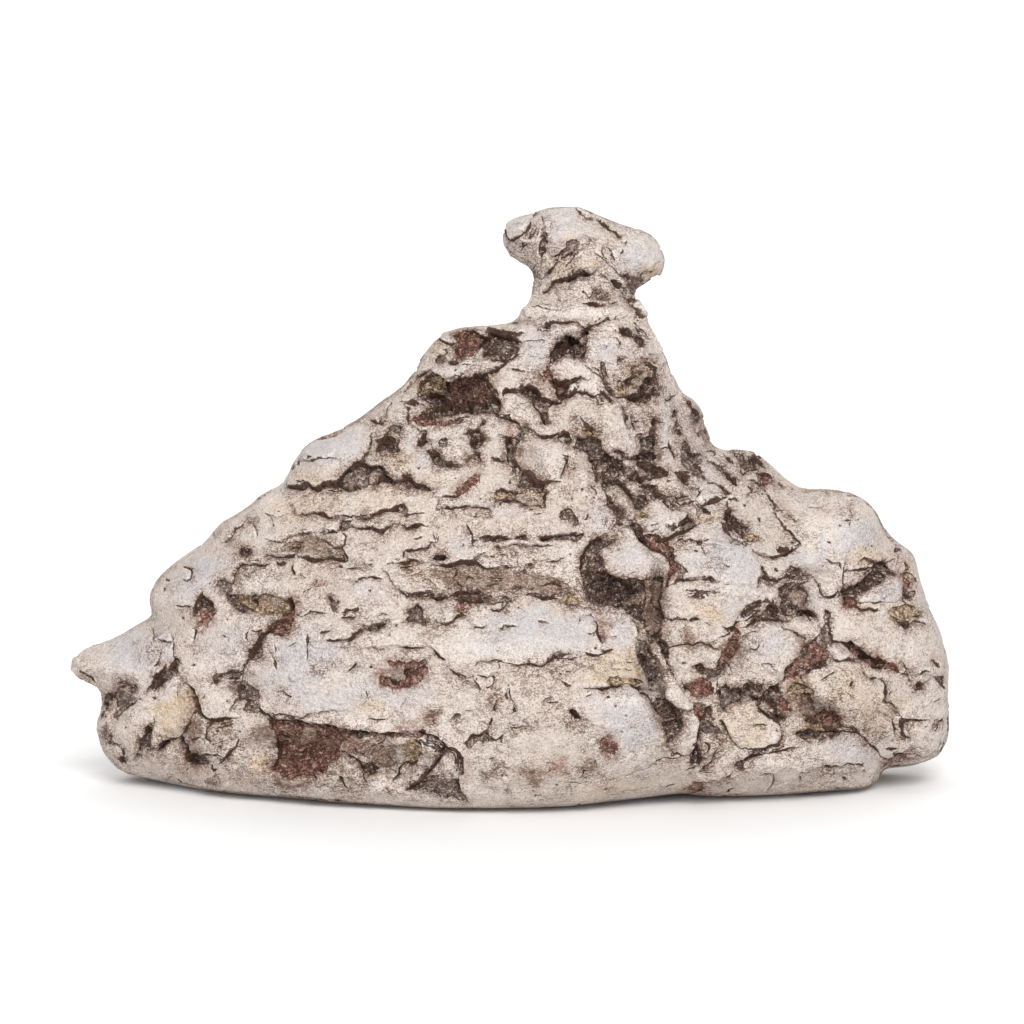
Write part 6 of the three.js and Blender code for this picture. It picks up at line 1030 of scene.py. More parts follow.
    # thin plates that overlap and lift, with hair cracks between, away from the drawn cracks
    traced = score.copy()
    for seed, size, stretch, depth, level in ((71, 17, 2.6, 1.0, 1.5), (72, 9, 1.6, 0.8, 1.1), (73, 5, 1.3, 0.5, 0.7)):
        gap, who, other = cells2(size, seed, stretch)
        keep = smooth((noise2(size * 1.7, seed + 40, 1.4) - 0.08 + 0.45 * M["speck"] + 0.2 * M["dirt_and_shade"]) / 0.4) * (1 - 0.85 * M["pit"]) * (1 - 0.6 * M["cool"])
        if size > 12:
            keep = keep * (0.10 + 0.90 * smooth((traced - 7) / 9))
        H["lump"] += keep * (who - 0.5) * level * smooth(gap / 0.16)
        thin = np.clip(1 - gap * size / 1.5, 0, 1) * keep
        H["crack"] -= depth * thin
        if size < 12:
            continue
        d = gap * size * 0.5
        reach = np.where((keep > 0.5) & (d < 3), 0.75 * keep, -8.0)
        nearer = d - reach < score
        score = np.where(nearer, d - reach, score)
        side_of = np.where(nearer, np.where(who > other, d, -d), side_of)
        width_of = np.where(nearer, reach, width_of)
    # short wrinkles: the zero lines of stretched noise
    wrinkle = np.zeros(GX.shape, np.float32)
    for seed, size, stretch in ((51, 10, 2.2), (52, 6, 1.6), (53, 4.2, 1.0)):
        n = noise2(size, seed, stretch)
        keep = smooth((noise2(size * 2.4, seed + 30) - 0.05) / 0.5)
        line = np.exp(-(n / 0.045) ** 2) * keep
        wrinkle = np.maximum(wrinkle, line * (0.9 if size > 5 else 0.7))
    wrinkle *= calm * (1 - 0.8 * M["pit"]) * (0.55 + 0.45 * M["speck"])
    H["crack"] -= 0.9 * wrinkle
    # small round pits
    r = np.random.default_rng(61)
    for _ in range(620):
        x, y, rad, ax = r.uniform(80, 930), r.uniform(205, 800), r.uniform(0.9, 2.1), r.uniform(0.8, 1.9)
        w = window([(x - 6, y - 6), (x + 6, y + 6)], 0)
        d = np.hypot((WX[w] - x) / ax, WY[w] - y) / rad
        dot = np.exp(-d ** 4)
        H["crack"][w] = np.minimum(H["crack"][w], -1.4 * rad * dot)
        # a dark dot in each small pit, partly its dark floor and partly painted shade
        M["line"][w] = np.maximum(M["line"][w], 0.62 * dot)
    # the stippled beds join the painted shade and dirt
    M["dirt_and_shade"] = np.maximum(M["dirt_and_shade"], M["bed"])
    M["side"], M["width"] = 0.5 + np.clip(side_of, -8, 8) / 16, 0.5 + np.clip(width_of, -8, 8) / 16
    h = H["step"] + H["lump"] + H["pit"] + H["crack"] + H["ridge"] + rough
    return h, M


def nearest_on_map(field, px, py):
    ix = np.clip(np.round((px - GX0) * RES), 0, GW * RES - 1).astype(int)
    iy = np.clip(np.round((py - GY0) * RES), 0, GH * RES - 1).astype(int)
    return field[iy, ix]


def at_map(field, px, py):
    fx = np.clip((px - GX0) * RES, 0, GW * RES - 1.001)
    fy = np.clip((py - GY0) * RES, 0, GH * RES - 1.001)
    ix, iy = fx.astype(int), fy.astype(int)
    fx, fy = fx - ix, fy - iy
    return (field[iy, ix] * (1 - fx) + field[iy, ix + 1] * fx) * (1 - fy) + (field[iy + 1, ix] * (1 - fx) + field[iy + 1, ix + 1] * fx) * fy


# ---------------------------------------------------------------- the same kind of relief in space, for every other side
TABLE = rng.uniform(-1, 1, (64, 64, 64)).astype(np.float32)


def noise3(P, size, seed=0):
    q = P / size + seed * 7.31
    i = np.floor(q).astype(int)
    f = (q - i).astype(np.float32)
    f = f * f * (3 - 2 * f)
    i &= 63
    j = (i + 1) & 63
    out = 0
    for a in (0, 1):
        for b in (0, 1):
            for c in (0, 1):
                w = (f[:, 0] if a else 1 - f[:, 0]) * (f[:, 1] if b else 1 - f[:, 1]) * (f[:, 2] if c else 1 - f[:, 2])
                out = out + w * TABLE[(j if a else i)[:, 0], (j if b else i)[:, 1], (j if c else i)[:, 2]]
    return out


def cells3(P, size, seed):
    """Distances to the nearest two seeds of a jittered grid, in cells, and their numbers."""
    r = np.random.default_rng(seed)
    T = r.uniform(0.1, 0.9, (32, 32, 32, 3)).astype(np.float32)
    N = r.uniform(0, 1, (32, 32, 32)).astype(np.float32)
    q = (P / np.array(size) + 40.37 + seed).astype(np.float32)
    i = np.floor(q).astype(int)
    f1 = np.full(len(P), 9.0, np.float32)
    f2 = f1.copy()
    who = np.zeros(len(P), np.float32)
    who2 = who.copy()
    for dx in (-1, 0, 1):
        for dy in (-1, 0, 1):
            for dz in (-1, 0, 1):
                c = i + (dx, dy, dz)
                m = c & 31
                s = T[m[:, 0], m[:, 1], m[:, 2]] + c
                d = np.sqrt(((q - s) ** 2).sum(1))
                nearer = d < f1
                number = N[m[:, 0], m[:, 1], m[:, 2]]
                who2 = np.where(nearer, who, np.where(d < f2, number, who2))
                f2 = np.where(nearer, f1, np.minimum(f2, d))
                who = np.where(nearer, number, who)
                f1 = np.where(nearer, d, f1)
    return f1, f2, who, who2


def space_relief(P):
    """Height in mm and masks at points in space: cobbles and plates with cracks between, pits, ledges and grain."""
    warp = np.stack([noise3(P, 5.0, 1), noise3(P, 5.0, 2), noise3(P, 4.0, 3)], 1) * 2.3
    warp += np.stack([noise3(P, 1.8, 4), noise3(P, 1.8, 5), noise3(P, 1.6, 6)], 1) * 0.65
    Q = P + warp
    zero = np.zeros(len(P), np.float32)
    h, line, pit, rust, ochre = zero.copy(), zero.copy(), zero.copy(), zero.copy(), zero.copy()
    side, width = np.full(len(P), 8.0, np.float32), np.full(len(P), -8.0, np.float32)

    def crack(gap, size, first, second, keep, half):
        """Marks the cell edges as cracks: which side a point is on and how wide the crack is, in drawing units."""
        d = gap * size * 4.0
        reach = np.where((keep > 0.4) & (d < 2.6 + half), half * keep, -8.0)
        nearer = d - reach < np.abs(side) - width
        side[:] = np.where(nearer, np.where(first > second, d, -d), side)
        width[:] = np.where(nearer, reach, width)

    def floor_of(gap, size, first, second, least, most=2.0):
        """1 inside the cells that are holes, 0 outside, 0.5 at their edge."""
        a, b = (first > least) & (first < most), (second > least) & (second < most)
        return np.where(a | b, np.clip(0.5 + np.where(a, 1, -1) * gap * size * 4.0 / 6.0, 0, 1), 0.0)

    a1, a2, who, other = cells3(Q, (16.0, 14.0, 7.0), 3)
    gap = a2 - a1
    weld = smooth((noise3(P, 6.0, 7) - 0.02) / 0.28)
    stroke = 0.45 + 0.9 * np.clip(noise3(P, 3.0, 26) + 0.45, 0, 1)
    h += (who - 0.5) * 1.1 * smooth(gap / 0.22) + 0.55 * (1 - np.exp(-gap * 7))
    groove = np.exp(-(gap / 0.035) ** 2) * weld
    h -= 0.75 * groove
    crack(gap, 10.0, who, other, weld, 1.5 * stroke)
    # painted shade along the cell edges; further down also around the round holes and below the band folds
    dirt_and_shade = np.exp(-gap / 0.10) * weld
    b1, b2, bwho, bother = cells3(Q + 3.3, (6.4, 5.6, 2.9), 5)
    bgap = b2 - b1
    bweld = smooth((noise3(P, 5.0, 8) - 0.12) / 0.28)
    h += 0.22 * (1 - np.exp(-bgap * 8)) * bweld + (bwho - 0.5) * 0.35 * smooth(bgap / 0.25) * bweld
    bgroove = np.exp(-(bgap / 0.05) ** 2) * bweld
    h -= 0.32 * bgroove
    crack(bgap, 4.3, bwho, bother, bweld, 0.95 * stroke)
    dirt_and_shade = np.maximum(dirt_and_shade, 0.6 * np.exp(-bgap / 0.12) * bweld)
    okay = noise3(P, 11.0, 9) > -0.25
    hole = ((bwho > 0.90) & okay) * smooth((bgap - 0.05) / 0.13)
    h -= 1.0 * hole
    pit = np.maximum(pit, floor_of(bgap, 4.3, bwho, bother, 0.90, 0.955) * okay)
    rust = np.maximum(rust, floor_of(bgap, 4.3, bwho, bother, 0.955) * okay)
    c1, c2, cwho, cother = cells3(Q - 5.1, (9.0, 8.5, 5.5), 9)
    cgap = c2 - c1
    wide_okay = noise3(P, 15.0, 10) > -0.1
    big = ((cwho > 0.93) & wide_okay) * smooth((cgap - 0.08) / 0.16)
    h -= 1.5 * big
    pit = np.maximum(pit, floor_of(cgap, 7.5, cwho, cother, 0.93, 0.965) * wide_okay)
    rust = np.maximum(rust, floor_of(cgap, 7.5, cwho, cother, 0.965) * wide_okay)
    dirt_and_shade = np.maximum(dirt_and_shade, 0.7 * np.maximum(pit, rust))
    ochre = np.maximum(ochre, smooth((noise3(P, 8.0, 11) - 0.38) / 0.25) * 0.7)
    band = P[:, 2] / 4.2 + 1.1 * noise3(P, 16.0, 12) + 0.32 * noise3(P, 5.0, 13) + 0.10 * noise3(P, 1.8, 25)
    saw = band - np.floor(band)
    keep = smooth((noise3(P, 9.0, 14) + 0.22) / 0.35)
    h += keep * (0.55 * (1 - saw) * smooth(saw / 0.06) - 0.18)
    fold = np.where(saw > 0.5, saw - 1, saw) * 4.2 * 8
    long = smooth((noise3(P * (0.5, 0.5, 1.4), 3.2, 24) + 0.10) / 0.25)
    reach = np.where((keep * long > 0.3) & (np.abs(fold) < 3.5), 1.5 * keep * long * stroke, -8.0)
    nearer = np.abs(fold) - reach < np.abs(side) - width
    side[:] = np.where(nearer, fold, side)
    width[:] = np.where(nearer, reach, width)
    dirt_and_shade = np.maximum(dirt_and_shade, 0.6 * keep * long * np.exp(-np.abs(fold) / 5))
    h += 0.10 * noise3(P, 2.0, 15) + 0.06 * noise3(P, 0.9, 16) + 0.42 * noise3(P, 7.0, 17)
    w1 = noise3(P, 2.4, 18)
    wr = np.exp(-(w1 / 0.05) ** 2) * smooth((noise3(P, 5.0, 19)) / 0.3)
    h -= 0.08 * wr
    cool = smooth((noise3(P, 10.0, 20) - 0.12) / 0.3)
    speck = smooth((noise3(P, 9.0, 21) - 0.1) / 0.35)
    stain = np.maximum(smooth((noise3(P, 7.0, 22) - 0.42) / 0.25) * 0.6, 0.5 * smooth((noise3(P, 2.5, 23) - 0.55) / 0.2))
    return h - 0.22, dict(line=line, pit=pit, rust=rust, yellow=ochre, cool=cool, speck=speck, stain=stain, dirt_and_shade=dirt_and_shade,
                          side=0.5 + np.clip(side, -8, 8) / 16, width=0.5 + np.clip(width, -8, 8) / 16)


# ---------------------------------------------------------------- build the fine mesh
T0 = time.time()
CELL = 0.7
xs = np.arange(-57.0, 57.01, CELL)
ys = np.arange(-31.2, 32.01, CELL)
zs = -1.5 * CELL + CELL * np.arange(109)
verts, quads = surface_nets(solid_field(xs, ys, zs), (xs[0], ys[0], zs[0]), CELL)
verts[:, 0] -= CENTRE[0]
verts[:, 1] -= CENTRE[1]
verts[:, 2] = np.maximum(verts[:, 2], 0.0)
print("base", verts.shape, quads.shape, verts.min(0), verts.max(0), round(time.time() - T0, 1))


def mesh_from(name, co, faces):
    me = bpy.data.meshes.new(name)
    me.vertices.add(len(co))
    me.vertices.foreach_set("co", np.ascontiguousarray(co, np.float32).ravel())
    k = faces.shape[1]
    me.loops.add(faces.size)
    me.loops.foreach_set("vertex_index", np.ascontiguousarray(faces, np.int32).ravel())
    me.polygons.add(len(faces))
    me.polygons.foreach_set("loop_start", np.arange(0, faces.size, k, dtype=np.int32))
    me.update(calc_edges=True)
    me.validate()
    return me


def applied(ob):
    """The object's mesh with its modifiers applied."""
    dg = bpy.context.evaluated_depsgraph_get()
    me = bpy.data.meshes.new_from_object(ob.evaluated_get(dg), preserve_all_data_layers=True, depsgraph=dg)
    old = ob.data
    ob.modifiers.clear()
    ob.data = me
    bpy.data.meshes.remove(old)
    return me


rock = bpy.data.objects.new("meteorite_crust", mesh_from("meteorite_crust", verts, quads))
bpy.context.scene.collection.objects.link(rock)
sub = rock.modifiers.new("fine", "SUBSURF")
sub.levels = sub.render_levels = 2
me = applied(rock)
N = len(me.vertices)
co = np.empty(N * 3, np.float32)
me.vertices.foreach_get("co", co)
co = co.reshape(-1, 3).astype(float)
nr = np.empty(N * 3, np.float32)
me.vertices.foreach_get("normal", nr)
nr = nr.reshape(-1, 3).astype(float)
print("fine", N, len(me.polygons), round(time.time() - T0, 1))

height2, masks2 = draw_front()
print("drawn", round(time.time() - T0, 1))
ray = co - EYE
far = ray @ np.array([0.0, COS, -SIN])
scale = 1024.0 * LENS / SENSOR
px = 512.0 + scale * ray[:, 0] / far
py = 512.0 - scale * (ray @ np.array([0.0, SIN, COS])) / far
view = -ray / np.linalg.norm(ray, axis=1)[:, None]
facing = (nr * view).sum(1)
front = smooth((facing - 0.08) / 0.30)

H3 = np.zeros(N)
M3 = {k: np.zeros(N) for k in ("line", "pit", "rust", "yellow", "cool", "speck", "stain", "dirt_and_shade", "side", "width")}
rim = 1 - smooth((np.abs(facing) - 0.12) / 0.45)
rest = np.flatnonzero(front < 0.999)
h3, m3 = space_relief(co[rest])
H3[rest] = h3
for k in m3:
    M3[k][rest] = m3[k]
H3 -= rim * (0.85 * np.maximum(H3, 0) + 0.12)
M3["rust"] *= 1 - 0.7 * rim
M3["pit"] *= 1 - 0.5 * rim
print("space", round(time.time() - T0, 1))

H2 = at_map(height2, px, py) / 8.0 * 0.95
low = smooth((co[:, 2] - 0.1) / 1.4)
H = (front * H2 + (1 - front) * H3) * low
moved = co + nr * H[:, None]
for x, y, rx, ry, dx, dy in NUDGES:  # small shifts of the outline, in drawing units
    w = np.exp(-(((px - x) / rx) ** 2 + ((py - y) / ry) ** 2)) * low
    moved[:, 0] += dx / 8.0 * w
    moved[:, 2] -= dy / 8.0 * w
box_lo, box_hi = np.array(lo0) * 1000.0, np.array(hi0) * 1000.0
for d in (1, 2):  # what stands out past the CAD box is pressed 0.6 of the way back towards it
    over = np.maximum(moved[:, d] - box_hi[d], 0) - np.maximum(box_lo[d] - moved[:, d], 0)
    moved[:, d] -= 0.6 * over
moved[:, 2] = np.maximum(moved[:, 2], 0.0)


def mask(name, other=None):
    a = at_map(masks2[name], px, py)
    return front * a + (1 - front) * (M3[other] if other else 0.0)


line = mask("line", "line")
taupe = np.maximum(mask("taupe"), (1 - front) * M3["pit"] * (1 - M3["rust"]))
rust = mask("rust", "rust")
ochre = mask("ochre")
black = mask("black")
cool = mask("cool", "cool")
stain = mask("stain", "stain")
dirt_and_shade = mask("dirt_and_shade", "dirt_and_shade")
side = np.where(front > 0.5, nearest_on_map(masks2["side"], px, py), M3["side"])
width = np.where(front > 0.5, nearest_on_map(masks2["width"], px, py), M3["width"])
yellow = mask("yellow", "yellow")
speck = mask("speck", "speck")
cream_and_highlight = mask("cream_and_highlight")

# hollows and edges read off the finished relief, at a small and a large scale; the crust's colour gets painted shade in
# the hollows and a painted highlight on the edges
E = np.empty(len(me.edges) * 2, np.int32)
me.edges.foreach_get("vertices", E)
E = E.reshape(-1, 2)
deg = np.bincount(E.ravel(), minlength=N).astype(float)


def relax(P, times):
    P = P.copy()
    for _ in range(times):
        for d in range(3):
            s = np.bincount(E[:, 0], P[E[:, 1], d], N) + np.bincount(E[:, 1], P[E[:, 0], d], N)
            P[:, d] = 0.35 * P[:, d] + 0.65 * s / deg
    return P


me.vertices.foreach_set("co", moved.astype(np.float32).ravel())
me.update()
near = relax(moved, 4)
wide = relax(near, 22)
tight = ((near - moved) * nr).sum(1)
broad = ((wide - moved) * nr).sum(1)
print("relaxed", round(time.time() - T0, 1), np.percentile(tight, (5, 50, 95)), np.percentile(broad, (5, 50, 95)))
# painted shade in the hollows
hollow_shade = np.clip(tight / 0.09, 0, 1) * 0.55 + np.clip(broad / 0.40, 0, 1) * 0.75
# painted highlight on convex edges
edge = np.clip(-tight / 0.07, 0, 1)


def colour_layer(mesh, name, r, g, b):
    layer = mesh.attributes.new(name, "FLOAT_COLOR", "POINT")
    data = np.ones((len(r), 4), np.float32)
    data[:, 0], data[:, 1], data[:, 2] = r, g, b
    layer.data.foreach_set("color", np.clip(data, 0, 1).ravel())


colour_layer(me, "shade_and_highlight_mask", line, hollow_shade, edge)
colour_layer(me, "floor_mask", taupe, rust, np.maximum(ochre, 0))
colour_layer(me, "deep_mask", black, stain, yellow)
colour_layer(me, "shade_dirt_crack_mask", dirt_and_shade, side, width)
colour_layer(me, "tone_mask", cool, speck, cream_and_highlight)



def thin_part(chosen, to_triangles):
    """Collapses edges between the chosen vertices until the whole mesh has this many triangles."""
    rock.vertex_groups.clear()
    rock.vertex_groups.new(name="part").add(np.flatnonzero(chosen).tolist(), 1.0, "REPLACE")
    m = rock.modifiers.new("thin", "DECIMATE")
    m.decimate_type = "COLLAPSE"
    m.ratio = to_triangles / triangles(rock.data)
    m.vertex_group = "part"
    m.use_collapse_triangulate = True
    return applied(rock)


def triangles(mesh):
    return len(mesh.loops) - 2 * len(mesh.polygons)


seen = (front > 0.35) & (co[:, 2] > 0.4)
E3 = np.empty(len(me.loops), np.int32)
me.loops.foreach_get("vertex_index", E3)
whole = seen[E3.reshape(-1, 4)].all(1)
print("seen", seen.sum(), "of", N, "triangles seen", 2 * whole.sum())
seen_tris = 2 * int(whole.sum())
colour_layer(me, "seen_mask", seen.astype(float), low, front)
me = thin_part(~seen, seen_tris + 58000)
print("back thinned", triangles(me), round(time.time() - T0, 1))
flag = np.empty(len(me.vertices) * 4, np.float32)
me.attributes["seen_mask"].data.foreach_get("color", flag)
me = thin_part(flag.reshape(-1, 4)[:, 0] > 0.5, 197500)
rock.vertex_groups.clear()
me.attributes.remove(me.attributes["seen_mask"])
me.name = "meteorite_crust"
print("thinned", len(me.vertices), len(me.polygons), [a.name for a in me.attributes], round(time.time() - T0, 1))
nv = len(me.vertices)
co = np.empty(nv * 3, np.float32)
me.vertices.foreach_get("co", co)
co = co.reshape(-1, 3)
co[:, 2] = np.maximum(co[:, 2], 0.0)
print("mm box", co.min(0), co.max(0))
me.vertices.foreach_set("co", (co * 0.001).ravel())
me.polygons.foreach_set("use_smooth", np.ones(len(me.polygons), bool))
me.update()


# ---------------------------------------------------------------- crust material
def srgb(r, g, b):
    return tuple(((c / 255.0 + 0.055) / 1.055) ** 2.4 if c > 10 else c / 255.0 / 12.92 for c in (r, g, b)) + (1.0,)


mat = bpy.data.materials.new("meteorite_crust")
mat.use_nodes = True
nt = mat.node_tree
nt.nodes.clear()


def plug(value, socket):
    if isinstance(value, bpy.types.NodeSocket):
        nt.links.new(value, socket)
    else:
        socket.default_value = value


def maths(op, a, b=None, c=None, clamp=False):
    n = nt.nodes.new("ShaderNodeMath")
    n.operation, n.use_clamp = op, clamp
    for s, v in zip(n.inputs, (a, b, c)):
        if v is not None:
            plug(v, s)
    return n.outputs[0]


def mul(a, b):
    return maths("MULTIPLY", a, b)


def ramp(v, lo, hi, a=0.0, b=1.0):
    n = nt.nodes.new("ShaderNodeMapRange")
    n.interpolation_type = "SMOOTHSTEP"
    plug(v, n.inputs["Value"])
    n.inputs["From Min"].default_value, n.inputs["From Max"].default_value = lo, hi
    n.inputs["To Min"].default_value, n.inputs["To Max"].default_value = a, b
    return n.outputs["Result"]


def blend(f, a, b, kind="MIX"):
    n = nt.nodes.new("ShaderNodeMix")
    n.data_type, n.blend_type, n.clamp_factor = "RGBA", kind, True
    plug(f, n.inputs[0])
    plug(a, n.inputs[6])
    plug(b, n.inputs[7])
    return n.outputs[2]


def layer(name):
    n = nt.nodes.new("ShaderNodeAttribute")
    n.attribute_type, n.attribute_name = "GEOMETRY", name
    s = nt.nodes.new("ShaderNodeSeparateColor")
    nt.links.new(n.outputs["Color"], s.inputs[0])
    return s.outputs[0], s.outputs[1], s.outputs[2]


place = nt.nodes.new("ShaderNodeTexCoord").outputs["Object"]


def scaled(k, offset=(0, 0, 0), stretch=(1, 1, 1)):
    n = nt.nodes.new("ShaderNodeMapping")
    nt.links.new(place, n.inputs["Vector"])
    n.inputs["Location"].default_value = offset
    n.inputs["Scale"].default_value = [k * s for s in stretch]
    return n.outputs[0]


def noise(size_mm, detail=2.0, rough=0.5, offset=(0, 0, 0), distort=0.0, stretch=(1, 1, 1)):
    n = nt.nodes.new("ShaderNodeTexNoise")
    nt.links.new(scaled(1000.0 / size_mm, offset, stretch), n.inputs["Vector"])
    n.inputs["Scale"].default_value = 1.0
    n.inputs["Detail"].default_value = detail
    n.inputs["Roughness"].default_value = rough
    n.inputs["Distortion"].default_value = distort
    return n.outputs[0]


def cells(size_mm, feature="F1", offset=(0, 0, 0), stretch=(1, 1, 1), output="Distance"):
    n = nt.nodes.new("ShaderNodeTexVoronoi")
    n.feature = feature
    nt.links.new(scaled(1000.0 / size_mm, offset, stretch), n.inputs["Vector"])
    n.inputs["Scale"].default_value = 1.0
    return n.outputs[output]


shadow_line_m, hollow_shade_m, edge_highlight_m = layer("shade_and_highlight_mask")
taupe_m, rust_m, ochre_m = layer("floor_mask")
black_m, stain_m, yellow_m = layer("deep_mask")
dirt_and_shade_m, side_m, width_m = layer("shade_dirt_crack_mask")
cool_m, speck_m, cream_and_highlight_m = layer("tone_mask")

big = noise(9.0, 2.0, 0.55)
mid = noise(2.4, 2.0, 0.6, (11, 3, 5))
fine = noise(0.45, 2.0, 0.65, (2, 7, 1))
tiny = noise(0.17, 1.0, 0.6, (5, 1, 9))
jitter = maths("MULTIPLY_ADD", fine, 2.2, mul(mid, 1.2))  # 1.7 in the middle


def patchy(mask, gain, lo, hi, amp=1.0):
    """A mask broken up into grains, fewer where it's weak."""
    return ramp(maths("MULTIPLY_ADD", mask, gain, mul(jitter, amp)), lo + 1.7 * amp, hi + 1.7 * amp)


# how thickly the fine dark stipple lies, thicker in the painted shade and dirt
dense = maths("MULTIPLY_ADD", speck_m, 0.40, ramp(noise(4.5, 2.0, 0.6, (1, 8, 3)), 0.34, 0.66, 0.38, 0.62))
dense = maths("MULTIPLY_ADD", dirt_and_shade_m, 0.45, dense)
dense = maths("MULTIPLY_ADD", cool_m, -0.12, dense, clamp=True)
dots = mul(ramp(cells(0.46, offset=(4, 4, 1)), 0.33, 0.16), ramp(maths("ADD", noise(1.5, 1.0, 0.5, (4, 7, 7)), mul(dense, 0.22)), 0.56, 0.66))
dots2 = ramp(maths("MULTIPLY_ADD", dense, 0.15, tiny), 0.665, 0.71)


def squiggle(size, seed, wide, sharp, keep_size, lo, hi, stretch=(0.60, 1, 1.50)):
    off = maths("ABSOLUTE", maths("SUBTRACT", noise(size, 2.0, 0.62, (3 + seed, 3, 8 - seed), 0.0, stretch), 0.5))
    return mul(ramp(off, wide, sharp), ramp(maths("MULTIPLY_ADD", dense, 0.12, noise(keep_size, 1.0, 0.5, (6, 2 + seed, 2))), lo, hi))


lines = maths("MAXIMUM", squiggle(1.5, 0, 0.030, 0.010, 1.5, 0.53, 0.59), squiggle(0.62, 2, 0.048, 0.018, 1.0, 0.55, 0.61))
flecks = ramp(maths("MULTIPLY_ADD", dense, 0.12, noise(0.24, 2.0, 0.65, (9, 4, 6))), 0.645, 0.68)
pale = ramp(noise(0.28, 2.0, 0.5, (3, 9, 2)), 0.50, 0.62)

BEIGE, SAND, COOL, CREAM_HIGHLIGHT = srgb(207, 196, 188), srgb(195, 181, 171), srgb(184, 180, 184), srgb(226, 216, 208)
off = maths("MULTIPLY_ADD", maths("SUBTRACT", side_m, 0.5), 16.0, mul(maths("SUBTRACT", fine, 0.5), 3.2))
half = maths("MULTIPLY_ADD", maths("SUBTRACT", width_m, 0.5), 16.0, mul(maths("SUBTRACT", mid, 0.5), 3.0))
crack = ramp(maths("SUBTRACT", half, maths("ABSOLUTE", off)), -0.15, 0.55)
# painted highlight: a cream lip on the upper side of each crack, the lit edge of the plate above
lip_highlight = mul(ramp(maths("SUBTRACT", maths("MULTIPLY", off, -1.0), half), 2.4, 0.6), ramp(half, -1.0, 0.6))

colour = blend(ramp(big, 0.36, 0.64), BEIGE, SAND)
colour = blend(mul(cool_m, 0.90), colour, COOL)
# painted highlight: cream on ridges, convex edges and bright facets, with some real cream tone
colour = blend(mul(maths("MAXIMUM", cream_and_highlight_m, edge_highlight_m), 0.85), colour, CREAM_HIGHLIGHT)
colour = blend(mul(yellow_m, ramp(mid, 0.30, 0.60, 0.55, 1.0)), colour, srgb(202, 178, 147))
colour = blend(mul(stain_m, ramp(jitter, 1.4, 2.0, 0.25, 0.95)), colour, srgb(150, 106, 90))
colour = blend(mul(pale, 0.26), colour, srgb(234, 224, 214))
# painted shade and dirt: a smooth brown wash
colour = blend(mul(dirt_and_shade_m, 0.36), colour, srgb(152, 126, 110))
colour = blend(mul(patchy(speck_m, 0.75, 0.46, 0.74), 0.30), colour, srgb(160, 138, 122))
# painted shade and dirt, broken into brown grains
broken = ramp(noise(0.34, 2.0, 0.6, (7, 1, 5), 0.0, (0.6, 1, 1.6)), 0.42, 0.58, 0.25, 1.0)
colour = blend(mul(mul(patchy(dirt_and_shade_m, 1.0, 0.58, 0.76), broken), 0.80), colour, srgb(116, 88, 72))
# painted shade in the hollows
colour = blend(mul(patchy(hollow_shade_m, 0.9, 0.62, 0.78), 0.55), colour, srgb(126, 103, 89))
colour = blend(mul(flecks, ramp(dense, 0.0, 1.0, 0.18, 0.62)), colour, srgb(142, 119, 104))
colour = blend(mul(maths("MAXIMUM", dots, dots2), ramp(dense, 0.0, 0.9, 0.18, 0.74)), colour, srgb(112, 90, 76))
colour = blend(mul(lines, ramp(dense, 0.35, 0.95, 0.18, 0.92)), colour, srgb(96, 70, 56))
colour = blend(mul(mul(lip_highlight, ramp(dirt_and_shade_m, 0.15, 0.55, 1.0, 0.0)), ramp(mid, 0.40, 0.60, 0.10, 0.55)), colour, CREAM_HIGHLIGHT)

# floors of the hollows: grains, crumbs and flakes; their dark base colours, near black most of all, are partly the
# oxide in the hollows and partly painted shade
crumb = ramp(noise(0.50, 2.0, 0.7, (2, 2, 9)), 0.555, 0.62)
flake = ramp(noise(1.6, 2.0, 0.6, (5, 9, 2), 0.0, (0.6, 1, 1.6)), 0.50, 0.60)
wash = ramp(fine, 0.38, 0.62)
grit = mul(maths("MAXIMUM", ramp(tiny, 0.58, 0.68), lines), 0.85)
colour = blend(patchy(taupe_m, 1.3, 0.45, 0.65, 0.7), colour,
               blend(grit, blend(mul(crumb, 0.72), blend(wash, srgb(86, 69, 61), srgb(146, 128, 118)), srgb(214, 200, 188)), srgb(58, 43, 36)))
colour = blend(patchy(ochre_m, 1.3, 0.45, 0.65, 0.7), colour,
               blend(grit, blend(mul(crumb, 0.66), blend(wash, srgb(118, 94, 72), srgb(190, 165, 136)), srgb(228, 212, 188)), srgb(66, 48, 36)))
colour = blend(patchy(rust_m, 1.3, 0.45, 0.65, 0.7), colour,
               blend(grit, blend(mul(crumb, 0.58), blend(mul(flake, 0.75), blend(wash, srgb(84, 48, 40), srgb(138, 96, 83)), srgb(152, 120, 103)), srgb(206, 184, 170)), srgb(50, 26, 20)))
colour = blend(patchy(black_m, 1.3, 0.45, 0.65, 0.7), colour,
               blend(grit, blend(mul(crumb, 0.72), blend(wash, srgb(68, 48, 40), srgb(126, 104, 92)), srgb(208, 190, 176)), srgb(36, 23, 18)))
# painted shadow lines under the steps, and the dark dots of the small pits
colour = blend(mul(patchy(shadow_line_m, 1.6, 0.62, 0.84, 0.8), 0.95), colour, srgb(78, 58, 47))
# cracks: dark joints, and painted shadow where they widen under pit roofs and at lump feet
colour = blend(mul(crack, 0.96), colour, blend(wash, srgb(42, 27, 19), srgb(82, 56, 42)))

